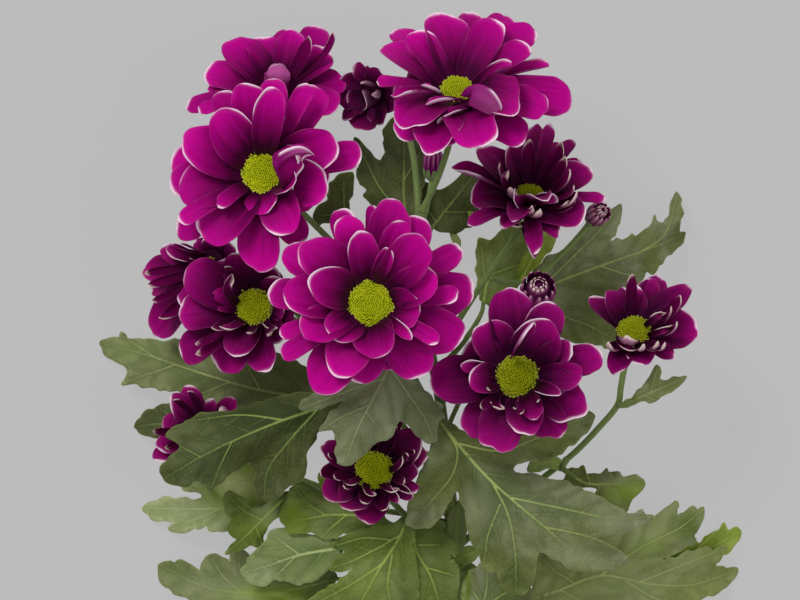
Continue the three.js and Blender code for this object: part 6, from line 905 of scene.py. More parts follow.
def curve_points(pts, step):
    """centripetal Catmull-Rom through pts, resampled evenly; also the tangents"""
    P = [np.array(p, float) for p in pts]
    P = [2 * P[0] - P[1]] + P + [2 * P[-1] - P[-2]]
    out = []
    for i in range(1, len(P) - 2):
        p0, p1, p2, p3 = P[i - 1:i + 3]
        t0 = 0.0
        t1 = t0 + max(np.linalg.norm(p1 - p0), 1e-6) ** 0.5
        t2 = t1 + max(np.linalg.norm(p2 - p1), 1e-6) ** 0.5
        t3 = t2 + max(np.linalg.norm(p3 - p2), 1e-6) ** 0.5
        for t in np.linspace(t1, t2, 12, endpoint=False):
            A1 = (t1 - t) / (t1 - t0) * p0 + (t - t0) / (t1 - t0) * p1
            A2 = (t2 - t) / (t2 - t1) * p1 + (t - t1) / (t2 - t1) * p2
            A3 = (t3 - t) / (t3 - t2) * p2 + (t - t2) / (t3 - t2) * p3
            B1 = (t2 - t) / (t2 - t0) * A1 + (t - t0) / (t2 - t0) * A2
            B2 = (t3 - t) / (t3 - t1) * A2 + (t - t1) / (t3 - t1) * A3
            out.append((t2 - t) / (t2 - t1) * B1 + (t - t1) / (t2 - t1) * B2)
    out.append(P[-2])
    out = np.array(out)
    d = np.r_[0, np.cumsum(np.linalg.norm(np.diff(out, axis=0), axis=1))]
    n = max(4, int(round(d[-1] / step)) + 1)
    q = np.linspace(0, d[-1], n)
    C = np.stack([np.interp(q, d, out[:, k]) for k in range(3)], axis=1)
    T = np.gradient(C, axis=0)
    T /= np.linalg.norm(T, axis=1, keepdims=True)
    return C, T, q

def tube(build, pts, rfun, mat, sides=14, ribs=6, rib=0.04, step=1.2, seed=0, flatten=0.0, **att):
    """round or ribbed tube along a curve with rounded ends"""
    C, T, q = curve_points(pts, step)
    L = q[-1]
    up = np.array([0.0, 0.0, 1.0]) if abs(T[0][2]) < 0.9 else np.array([1.0, 0, 0])
    A = []
    for k in range(len(C)):
        up = up - T[k] * np.dot(up, T[k])
        up /= np.linalg.norm(up)
        A.append(up.copy())
    A = np.array(A)
    B = np.cross(T, A)
    ang = np.arange(sides) / sides * 2 * math.pi
    R = random.Random(seed)
    ph = R.uniform(0, 6.28)
    rr = np.array([rfun(x / L) for x in q])
    prof = 1 + rib * np.cos(ribs * ang + ph)
    V = C[:, None] + (rr[:, None] * prof[None])[..., None] * (np.cos(ang)[None, :, None] * A[:, None] * (1 - flatten) + np.sin(ang)[None, :, None] * B[:, None])
    n = len(C)
    V = V.reshape(-1, 3)
    V = np.vstack([V, C[0] - T[0] * rr[0] * 0.15, C[-1] + T[-1] * rr[-1] * 0.15])
    i0, i1 = n * sides, n * sides + 1
    j = np.arange(sides)
    j1 = (j + 1) % sides
    caps = np.concatenate([np.stack([np.full(sides, i0), j1, j], axis=1), np.stack([np.full(sides, i1), (n - 1) * sides + j, (n - 1) * sides + j1], axis=1)])
    F = [grid_quads(n, sides, True), caps]
    s = np.r_[np.repeat(q / L, sides), 0, 1]
    u = np.r_[np.tile(ang / (2 * math.pi), n), 0, 0]
    build.add(V, F, mat, s=s, u=u, rnd=R.random(), side=1.0, **att)
    return C, T

# ------------------------------------------------------------------ materials
def srgb(r, g, b):
    def l(x):
        x /= 255.0
        return x / 12.92 if x <= 0.04045 else ((x + 0.055) / 1.055) ** 2.4
    return (l(r), l(g), l(b), 1.0)

class Nodes:
    def __init__(self, name):
        self.mat = bpy.data.materials.new(name)
        self.mat.use_nodes = True
        self.t = self.mat.node_tree
        self.t.nodes.clear()
        self.out = self.t.nodes.new("ShaderNodeOutputMaterial")
        self.b = self.t.nodes.new("ShaderNodeBsdfPrincipled")
        self.link(self.b.outputs[0], self.out.inputs[0])
    def link(self, a, b):
        self.t.links.new(a, b)
    def attr(self, name):
        n = self.t.nodes.new("ShaderNodeAttribute")
        n.attribute_name = name
        return n.outputs["Fac"]
    def val(self, x, sock):
        if isinstance(x, (int, float)):
            sock.default_value = x
        else:
            self.link(x, sock)
    def math(self, op, a, b=0.0, c=0.0, clamp=False):
        n = self.t.nodes.new("ShaderNodeMath")
        n.operation = op
        n.use_clamp = clamp
        for x, sk in zip((a, b, c), n.inputs):
            self.val(x, sk)
        return n.outputs[0]
    def ramp(self, fac, stops, interp="LINEAR"):
        n = self.t.nodes.new("ShaderNodeValToRGB")
        n.color_ramp.interpolation = interp
        el = n.color_ramp.elements
        while len(el) > 1:
            el.remove(el[-1])
        el[0].position, el[0].color = stops[0][0], stops[0][1]
        for p, c in stops[1:]:
            x = el.new(p)
            x.color = c
        self.val(fac, n.inputs[0])
        return n.outputs[0]
    def step(self, x, a, b):
        n = self.t.nodes.new("ShaderNodeMapRange")
        n.interpolation_type = "SMOOTHSTEP"
        self.val(x, n.inputs[0])
        n.inputs[1].default_value, n.inputs[2].default_value = a, b
        return n.outputs[0]
    def mix(self, fac, a, b, mode="MIX"):
        n = self.t.nodes.new("ShaderNodeMix")
        n.data_type = "RGBA"
        n.blend_type = mode
        self.val(fac, n.inputs["Factor"])
        for x, sk in ((a, n.inputs[6]), (b, n.inputs[7])):
            if isinstance(x, tuple):
                sk.default_value = x
            else:
                self.link(x, sk)
        return n.outputs[2]
    def vec(self, x, y, z):
        n = self.t.nodes.new("ShaderNodeCombineXYZ")
        for v, sk in zip((x, y, z), n.inputs):
            self.val(v, sk)
        return n.outputs[0]
    def noise(self, vec, scale, detail=3.0, rough=0.55):
        n = self.t.nodes.new("ShaderNodeTexNoise")
        if vec is not None:
            self.link(vec, n.inputs["Vector"])
        n.inputs["Scale"].default_value = scale
        n.inputs["Detail"].default_value = detail
        n.inputs["Roughness"].default_value = rough
        return n.outputs["Fac"]
    def obj(self):
        return self.t.nodes.new("ShaderNodeTexCoord").outputs["Object"]
    def bump(self, height, strength, dist):
        n = self.t.nodes.new("ShaderNodeBump")
        n.inputs["Strength"].default_value = strength
        n.inputs["Distance"].default_value = dist
        self.link(height, n.inputs["Height"])
        self.link(n.outputs[0], self.b.inputs["Normal"])
    def set(self, **k):
        for key, v in k.items():
            self.b.inputs[key.replace("_", " ")].default_value = v

def petal_material(name, tip, mid, base, rimc, under, under_tip, rim_w=1.0, under_mix=0.35, deep=0.0):
    """tip, mid and base colours along the petal, pale rim rimc, reverse colours; rim is the distance to the edge in mm, aux how pale the edge is there"""
    N = Nodes(name)
    s, u, rim, side, rnd, aux = (N.attr(k) for k in ("s", "u", "rim", "side", "rnd", "aux"))
    off = N.math("MULTIPLY", rnd, 37.0)
    streak = N.noise(N.vec(N.math("MULTIPLY", u, 6.0), N.math("MULTIPLY", s, 1.0), off), 1.0, 3.0, 0.6)
    fine = N.noise(N.vec(N.math("MULTIPLY", u, 26.0), N.math("MULTIPLY", s, 2.2), off), 1.0, 2.0, 0.5)
    sv = N.math("ADD", s, N.math("MULTIPLY", N.math("SUBTRACT", streak, 0.5), 0.34), clamp=True)
    # darker towards the petal base: partly the petal's own dark base, partly painted shade of the recess round the disc
    body = N.ramp(sv, [(0.0, base), (0.20 + deep, base), (0.56 + deep, mid), (min(0.99, 0.90 + deep), tip), (1.0, tip)], "LINEAR")
    body = N.mix(N.math("MULTIPLY", N.step(fine, 0.48, 0.76), 0.28), body, (mid[0] * 0.7, mid[1], mid[2] * 0.7, 1))
    body = N.mix(N.math("MULTIPLY", N.step(streak, 0.60, 0.82), 0.25), body, (tip[0] * 1.15, tip[1], tip[2] * 1.15, 1))
    var = N.math("ADD", 0.78, N.math("MULTIPLY", rnd, 0.34))
    body = N.mix(1.0, body, N.vec(var, var, var), "MULTIPLY")
    # brighter magenta just inside a strong pale edge, then the pale edge itself: partly the petal's own margin, partly
    # painted highlight
    halo = N.math("MULTIPLY", N.math("MULTIPLY", N.math("SUBTRACT", 1.0, N.step(rim, 0.1, 1.7)), aux), 0.30)
    body = N.mix(halo, body, (min(1, tip[0] * 1.7), 0.10, min(1, tip[2] * 1.7), 1))
    ew = N.noise(N.vec(N.math("MULTIPLY", u, 2.4), N.math("MULTIPLY", s, 4.0), N.math("ADD", off, 5.0)), 1.0, 2.0, 0.5)
    k = N.math("MULTIPLY", aux, N.math("ADD", 0.45, N.math("MULTIPLY", ew, 1.1)), clamp=True)
    w = N.math("ADD", 0.08, N.math("MULTIPLY", k, 0.88 * rim_w))
    edge = N.math("SUBTRACT", 1.0, N.math("DIVIDE", rim, w), clamp=True)
    edge = N.math("MULTIPLY", N.step(edge, 0.0, 0.95), N.math("ADD", 0.06, N.math("MULTIPLY", N.step(k, 0.0, 0.55), 0.90)), clamp=True)
    rc = N.mix(N.step(k, 0.15, 0.75), (0.62, 0.16, 0.44, 1), rimc)
    body = N.mix(edge, body, rc)
    und = N.mix(N.step(s, 0.15, 0.95), under, under_tip)
    und = N.mix(N.math("MULTIPLY", N.step(fine, 0.4, 0.75), under_mix), und, mid)
    und = N.mix(N.math("MULTIPLY", N.math("SUBTRACT", 1.0, N.step(rim, 0.1, 1.2)), N.math("MULTIPLY", N.step(k, 0.0, 0.6), 0.9)), und, rimc)
    und = N.mix(N.math("MULTIPLY", N.math("SUBTRACT", 1.0, N.step(rim, 0.0, 0.7)), N.math("SUBTRACT", 1.0, N.step(k, 0.12, 0.5))), und, mid)
    N.link(N.mix(side, und, body), N.b.inputs["Base Color"])
    N.set(Roughness=0.6)
    N.b.inputs["Specular IOR Level"].default_value = 0.16
    N.b.inputs["Specular Tint"].default_value = (1.0, 0.25, 0.8, 1.0)
    h = N.math("ADD", N.math("MULTIPLY", streak, 0.8), N.math("MULTIPLY", fine, 0.5))
    N.bump(h, 0.45, 0.0004)
    return N.mat

def leaf_material(name, c_main, c_dark, c_grey, c_vein, c_under):
    N = Nodes(name)
    s, u, rim, side, rnd, aux = (N.attr(k) for k in ("s", "u", "rim", "side", "rnd", "aux"))
    c_lime = srgb(132, 158, 34)
    P = N.obj()
    big = N.noise(P, 46.0, 3.0, 0.5)
    mid = N.noise(P, 210.0, 4.0, 0.6)
    fine = N.noise(P, 1500.0, 3.0, 0.6)
    # s: nearness to a vein's line, u: nearness within a few millimetres
    col = N.mix(N.step(big, 0.36, 0.62), c_main, c_grey)
    col = N.mix(N.math("MULTIPLY", N.step(mid, 0.45, 0.75), 0.35), col, c_dark)
    # darker green next to the veins: painted shade in the sunken vein valleys
    col = N.mix(N.math("MULTIPLY", N.step(u, 0.25, 0.85), 0.45), col, c_dark)
    cell = N.t.nodes.new("ShaderNodeTexVoronoi")
    cell.feature = "DISTANCE_TO_EDGE"
    cell.inputs["Scale"].default_value = 420.0
    N.link(P, cell.inputs["Vector"])
    net = N.math("SUBTRACT", 1.0, N.step(cell.outputs["Distance"], 0.0, 0.12))
    col = N.mix(N.math("MULTIPLY", net, 0.10), col, c_vein)
    col = N.mix(N.math("MULTIPLY", N.step(s, 0.02, 1.0), 0.80), col, c_vein)
    col = N.mix(N.math("MULTIPLY", N.step(rim, 0.55, 1.0), 0.35), col, c_vein)
    # aux above 0 paints sunlight in lime green, above 1 a brighter painted light; aux below 0 paints shade, a darker
    # green with vein colour on the veins
    col = N.mix(N.math("MULTIPLY", aux, 0.85, clamp=True), col, N.mix(N.math("MULTIPLY", mid, 0.6), c_lime, c_main))
    col = N.mix(N.math("MULTIPLY", N.math("SUBTRACT", aux, 1.0, clamp=True), 0.9), col, (0.70, 0.78, 0.34, 1))
    painted_shade_amt = N.math("MULTIPLY", N.math("MULTIPLY", aux, -1.0, clamp=True), 0.75)
    col = N.mix(painted_shade_amt, col, N.mix(N.step(s, 0.1, 0.8), (c_dark[0] * 0.72, c_dark[1] * 0.86, c_dark[2] * 0.55, 1), c_vein))
    # painted grey sheen, as strong as the rnd attribute and weaker on the veins
    col = N.mix(N.math("MULTIPLY", N.math("MULTIPLY", rnd, N.math("SUBTRACT", 1.0, N.math("MULTIPLY", s, 0.6))), 0.9, clamp=True), col, N.mix(N.math("MULTIPLY", mid, 0.5), (0.30, 0.335, 0.185, 1), c_grey))
    uc = N.mix(N.math("MULTIPLY", mid, 0.4), c_under, c_main)
    uc = N.mix(N.math("MULTIPLY", N.step(s, 0.05, 0.85), 0.6), uc, c_vein)
    col = N.mix(side, uc, col)
    N.link(col, N.b.inputs["Base Color"])
    N.set(Roughness=0.66)
    N.b.inputs["Specular IOR Level"].default_value = 0.18
    h = N.math("ADD", N.math("MULTIPLY", net, -0.5), N.math("ADD", N.math("MULTIPLY", mid, 0.5), N.math("MULTIPLY", fine, 0.35)))
    N.bump(h, 0.5, 0.0004)
    return N.mat

def stem_material(name, c1, c2, c3):
    N = Nodes(name)
    s, u, side = N.attr("s"), N.attr("u"), N.attr("side")
    P = N.obj()
    lines = N.noise(N.vec(N.math("MULTIPLY", u, 40.0), N.math("MULTIPLY", s, 6.0), 0.0), 1.0, 3.0, 0.6)
    spots = N.noise(P, 700.0, 3.0, 0.6)
    col = N.mix(N.step(lines, 0.35, 0.65), c1, c2)
    col = N.mix(N.math("MULTIPLY", N.step(spots, 0.55, 0.8), 0.5), col, c3)
    N.link(col, N.b.inputs["Base Color"])
    N.set(Roughness=0.55)
    N.b.inputs["Specular IOR Level"].default_value = 0.35
    N.b.inputs["Sheen Weight"].default_value = 0.10
    N.bump(N.math("ADD", lines, N.math("MULTIPLY", spots, 0.6)), 0.5, 0.0003)
    return N.mat

def disc_material():
    N = Nodes("disc_florets")
    s, u, rnd = N.attr("s"), N.attr("u"), N.attr("aux")
    P = N.obj()
    a = N.noise(P, 1300.0, 3.0, 0.6)
    col = N.ramp(s, [(0.0, srgb(104, 118, 4)), (0.45, srgb(150, 162, 8)), (1.0, srgb(172, 182, 18))])
    col = N.mix(N.math("MULTIPLY", rnd, 0.5), col, srgb(150, 150, 10))
    col = N.mix(N.math("MULTIPLY", N.step(u, 0.86, 1.0), 0.35), col, srgb(196, 196, 92))
    col = N.mix(N.math("MULTIPLY", N.step(a, 0.5, 0.75), 0.3), col, srgb(90, 104, 6))
    lum = N.attr("rim")
    col = N.mix(1.0, col, N.vec(lum, lum, lum), "MULTIPLY")
    N.link(col, N.b.inputs["Base Color"])
    N.set(Roughness=0.6)
    N.b.inputs["Specular IOR Level"].default_value = 0.12
    N.bump(a, 0.4, 0.0002)
    return N.mat

def plain_noise_material(name, c1, c2, scale, rough):
    N = Nodes(name)
    P = N.obj()
    a = N.noise(P, scale, 4.0, 0.6)
    N.link(N.mix(N.step(a, 0.35, 0.7), c1, c2), N.b.inputs["Base Color"])
    N.set(Roughness=rough)
    N.bump(a, 0.4, 0.0003)
    return N.mat

RIM = srgb(250, 224, 240)
CREAM = srgb(250, 230, 218)
M_PETAL = [
    petal_material("petal_magenta", srgb(182, 0, 132), srgb(132, 0, 92), srgb(52, 0, 35), RIM, srgb(124, 16, 98), srgb(182, 84, 150)),
    petal_material("petal_deep", srgb(152, 0, 108), srgb(98, 0, 68), srgb(38, 0, 26), RIM, srgb(92, 10, 70), srgb(170, 84, 140), deep=0.07),
    petal_material("petal_dark", srgb(116, 2, 80), srgb(70, 0, 48), srgb(30, 0, 20), srgb(214, 170, 196), srgb(76, 12, 58), srgb(150, 90, 128)),
    petal_material("petal_plum", srgb(118, 0, 80), srgb(74, 0, 50), srgb(30, 0, 20), srgb(240, 214, 220), srgb(78, 8, 58), srgb(160, 90, 130), deep=0.08),
]
M_CREAM = [
    petal_material("petal_curl_magenta", srgb(150, 6, 108), srgb(110, 2, 76), srgb(60, 0, 40), CREAM, srgb(116, 20, 90), srgb(208, 146, 182), 1.35, 0.25),
    petal_material("petal_curl_deep", srgb(124, 4, 86), srgb(84, 0, 56), srgb(40, 0, 26), CREAM, srgb(88, 12, 66), srgb(198, 140, 168), 1.35, 0.25),
    petal_material("petal_curl_dark", srgb(100, 8, 70), srgb(64, 0, 42), srgb(30, 0, 20), srgb(214, 176, 184), srgb(70, 10, 52), srgb(150, 96, 124), 0.9, 0.3),
    petal_material("petal_curl_plum", srgb(110, 2, 76), srgb(70, 0, 46), srgb(32, 0, 22), CREAM, srgb(76, 8, 56), srgb(190, 132, 156), 1.35, 0.25),
]
M_BUD = petal_material("petal_bud", srgb(150, 30, 112), srgb(130, 40, 98), srgb(80, 40, 60), CREAM, srgb(112, 62, 90), srgb(172, 124, 142), 0.8, 0.35)
M_BUD2 = petal_material("petal_bud_purple", srgb(132, 16, 102), srgb(108, 8, 84), srgb(56, 0, 42), CREAM, srgb(104, 24, 84), srgb(140, 52, 112), 0.8, 0.35)
M_DISC = disc_material()
M_STALK = stem_material("stalk_green", srgb(96, 118, 52), srgb(122, 142, 76), srgb(70, 88, 38))
M_CALYX = stem_material("calyx_green", srgb(86, 104, 50), srgb(120, 138, 80), srgb(60, 74, 36))
M_MAIN = stem_material("stem_green", srgb(84, 100, 48), srgb(112, 126, 70), srgb(96, 84, 52))
M_PITH = plain_noise_material("stem_pith", srgb(206, 208, 170), srgb(176, 184, 132), 900.0, 0.8)
M_RECEPT = plain_noise_material("receptacle", srgb(120, 132, 70), srgb(150, 160, 100), 500.0, 0.7)
LEAF_SETS = {
    "light": ((108, 118, 68), (80, 92, 46), (130, 138, 94), (160, 172, 110), (136, 146, 104)),
    "pale": ((124, 136, 82), (92, 106, 56), (144, 154, 108), (174, 186, 126), (150, 160, 116)),
    # a lighter copy of the pale colours: painted light for leaf 15, which lies in the shade of leaf 03
    "pale_painted_light": ((142, 154, 98), (110, 124, 68), (164, 174, 124), (190, 202, 140), (160, 170, 124)),
    "mid": ((106, 114, 62), (74, 84, 40), (132, 138, 104), (158, 174, 98), (124, 134, 92)),
    "dark": ((68, 75, 32), (48, 55, 22), (88, 96, 58), (134, 152, 78), (100, 110, 70)),
    "grey": ((104, 110, 76), (80, 88, 52), (126, 132, 102), (150, 160, 112), (120, 130, 96)),
    "lime": ((134, 156, 42), (98, 120, 30), (146, 162, 78), (176, 192, 100), (150, 170, 84)),
    "green": ((100, 116, 44), (70, 86, 30), (118, 130, 76), (160, 182, 88), (122, 138, 80)),
    "soft": ((126, 136, 78), (98, 108, 52), (144, 152, 108), (168, 180, 112), (144, 154, 104)),
}
M_LEAF = {k: leaf_material("leaf_" + k, *[srgb(*c) for c in v]) for k, v in LEAF_SETS.items()}
LEAF_KIND = {"01": "light", "02": "dark", "03": "dark", "04": "grey", "05": "mid", "06": "soft", "07": "lime", "08": "mid", "09": "soft",
             "10": "mid", "11": "dark", "12": "dark", "13": "green", "14": "lime", "15": "pale_painted_light", "16": "green", "17": "pale", "18": "light",
             "19": "green", "20": "green", "21": "dark", "22": "green", "24": "mid"}
TONE = {"06": 0, "02": 0, "03": 0, "01": 0, "07": 1, "09": 1, "05": 1, "10": 1, "11": 3, "08": 1, "12": 1, "04": 2}

# ------------------------------------------------------------------ flower heads
def florets(build, F, rd, seed, mat, dome=1.5, hbase=0.3, lobes=(4, 0.05, 0.0), lum=1.0):
    """disc florets in spiral rows, the middle ones still shut, the outer ones open"""
    c, n, u, v = F
    R = np.random.RandomState(sum(ord(x) * (i + 1) for i, x in enumerate(seed)))
    rmax = 0.93 * rd
    N = int(min(420, max(60, 7.5 * rmax * rmax)))
    i = np.arange(N)
    fr = np.sqrt((i + 0.5) / N)
    th = i * math.pi * (3 - math.sqrt(5))
    r = rmax * fr * (1 + R.uniform(-0.035, 0.035, N) + 0.05 * (R.rand(N) < 0.12) * (fr > 0.93)) * (1 + lobes[1] * np.cos(lobes[0] * th + lobes[2]) * fr ** 2)
    hh = hbase + dome * (1 - fr ** 2.2) + R.uniform(-0.06, 0.06, N)
    dr = np.cos(th)[:, None] * u + np.sin(th)[:, None] * v
    lean = 0.65 * fr ** 2.5 + R.uniform(-0.1, 0.1, N)
    nn = n * np.cos(lean)[:, None] + dr * np.sin(lean)[:, None]
    uu = np.cross(v, nn)
    uu /= np.linalg.norm(uu, axis=1, keepdims=True)
    vv = np.cross(nn, uu)
    p = c + r[:, None] * dr + hh[:, None] * n
    w = rmax / math.sqrt(N) * R.uniform(1.02, 1.16, N) * (0.94 + 0.14 * fr)
    tall = R.uniform(0.72, 0.92, N) + 0.25 * (fr > 0.94)
    op = ((fr > 0.6) & (R.rand(N) < 0.55)).astype(float)
    K = 6
    ang = np.arange(K) / K * 2 * math.pi + R.uniform(0, 1, N)[:, None]
    V = []
    for rr0, rr1, h in ((0.80, 0.80, -0.9), (1.0, 1.0, 0.05), (1.0, 1.0, 0.38), (0.74, 0.96, 0.68), (0.26, 0.46, 0.86)):
        rad = (w * (rr0 + (rr1 - rr0) * op))[:, None] * np.ones(K)
        hgt = (h if h < 0 else h * tall)
        V.append(p[:, None] + (nn * np.atleast_1d(hgt * 0.9 * np.ones(N))[:, None])[:, None] + rad[..., None] * (np.cos(ang)[..., None] * uu[:, None] + np.sin(ang)[..., None] * vv[:, None]))
    top = p + nn * ((0.95 - 0.33 * op) * tall * 0.9)[:, None]
    V = np.concatenate(V + [top[:, None]], axis=1)
    q = grid_quads(5, K, True)
    j = np.arange(K)
    cap = np.stack([4 * K + j, 4 * K + (j + 1) % K, np.full(K, 5 * K)], axis=1)
    bot = j[::-1][None]
    off = (np.arange(N) * (5 * K + 1))[:, None, None]
    Fc = [(q[None] + off).reshape(-1, 4), (cap[None] + off).reshape(-1, 3), (bot[None] + off).reshape(-1, K)]
    sv = np.concatenate([np.full(K, x) for x in (0.0, 0.12, 0.6, 0.9, 1.0)])
    S = np.concatenate([np.tile(sv, (N, 1)), (1.0 - 0.6 * op)[:, None]], axis=1)
    rep = lambda x: np.repeat(x, 5 * K + 1)
    build.add(V.reshape(-1, 3), Fc, mat, s=S.ravel(), u=rep(fr), rnd=rep(R.rand(N)), aux=rep(R.rand(N)), side=1.0, rim=lum)

def bract_cup(build, F, rd, mat, rows=((12, 4.6), (11, 3.6))):
    """calyx: overlapping green bracts on a shallow cup"""
    lathe(build, F, [(0.3, -8.3), (1.25, -8.1), (0.42 * rd, -6.9), (0.66 * rd, -5.9), (0.84 * rd, -4.7), (0.80 * rd, -4.05), (0.2, -4.0)], 28, mat, s=0.3, u=0.2, side=1.0, rnd=0.4)
    for ri, (k, L) in enumerate(rows):
        for i in range(k):
            phi = 360.0 * (i + 0.5 * ri) / k
            r0 = (0.44 if ri == 0 else 0.30) * rd
            h0 = -6.95 if ri == 0 else -7.6
            q = (phi, r0 + 0.15, h0 - 0.25 - 0.2 * ri, L, 2.6, 34, 46, 1.0, 0.5, 4.0, 0, 0)
            ray(build, F, q, "b%d_%d" % (ri, i), mat, thick=0.45, rows=ROWS_LOW, cols=COLS_LOW, ruffle=0.2, base_w=0.7, lip=0.1, point=0.5)

# petals that fold over a disc or stand apart: points (picture x, y, height mm), width mm, upper-face normal at base and tip, material slot, shape
PATCH = {
    "02": [
        ([(276, 205, 97), (279, 193, 102), (283, 184, 106), (278, 177, 108), (274, 167, 110), (272.5, 156, 111), (280, 150, 112), (299, 143.7, 111), (307, 146, 110), (314, 154.4, 106)],
         [(285, 202, 97), (292.6, 190.5, 102), (294, 184, 105), (297, 176, 108), (304, 166, 109), (302, 161, 110), (305, 157, 109), (314, 154.8, 106)], 0.16, 0, dict(flip=True, arc=(1.0, 0.7, 1.0))),
        ([(272, 164, 112), (277, 155, 114), (288, 148.5, 115), (299, 146, 115), (308, 149, 113), (314, 155, 109)],
         [(276, 169, 112), (284, 161, 113.5), (294, 156, 114.5), (303, 154, 114), (309, 154, 112), (314, 155.5, 109)], 0.10, 0, dict(arc=(-1.0, 0.7, 0.8))),
    ],
    "03": [
        ([(461, 95, 108), (466, 88, 112), (476, 84, 114), (485, 85.5, 114), (493, 91, 113), (499.5, 100, 111), (502, 108, 107), (499, 114.5, 102)],
         [(461, 96, 108), (474, 100, 109.5), (468, 104, 110), (474, 108, 111), (479, 110.5, 110), (485, 113.5, 108), (492, 115.5, 105), (497, 115, 102)], 0.24, 0, dict(arc=(-1.0, 0.7, 0.9), ends=(0.4, 0.0))),
    ],
}
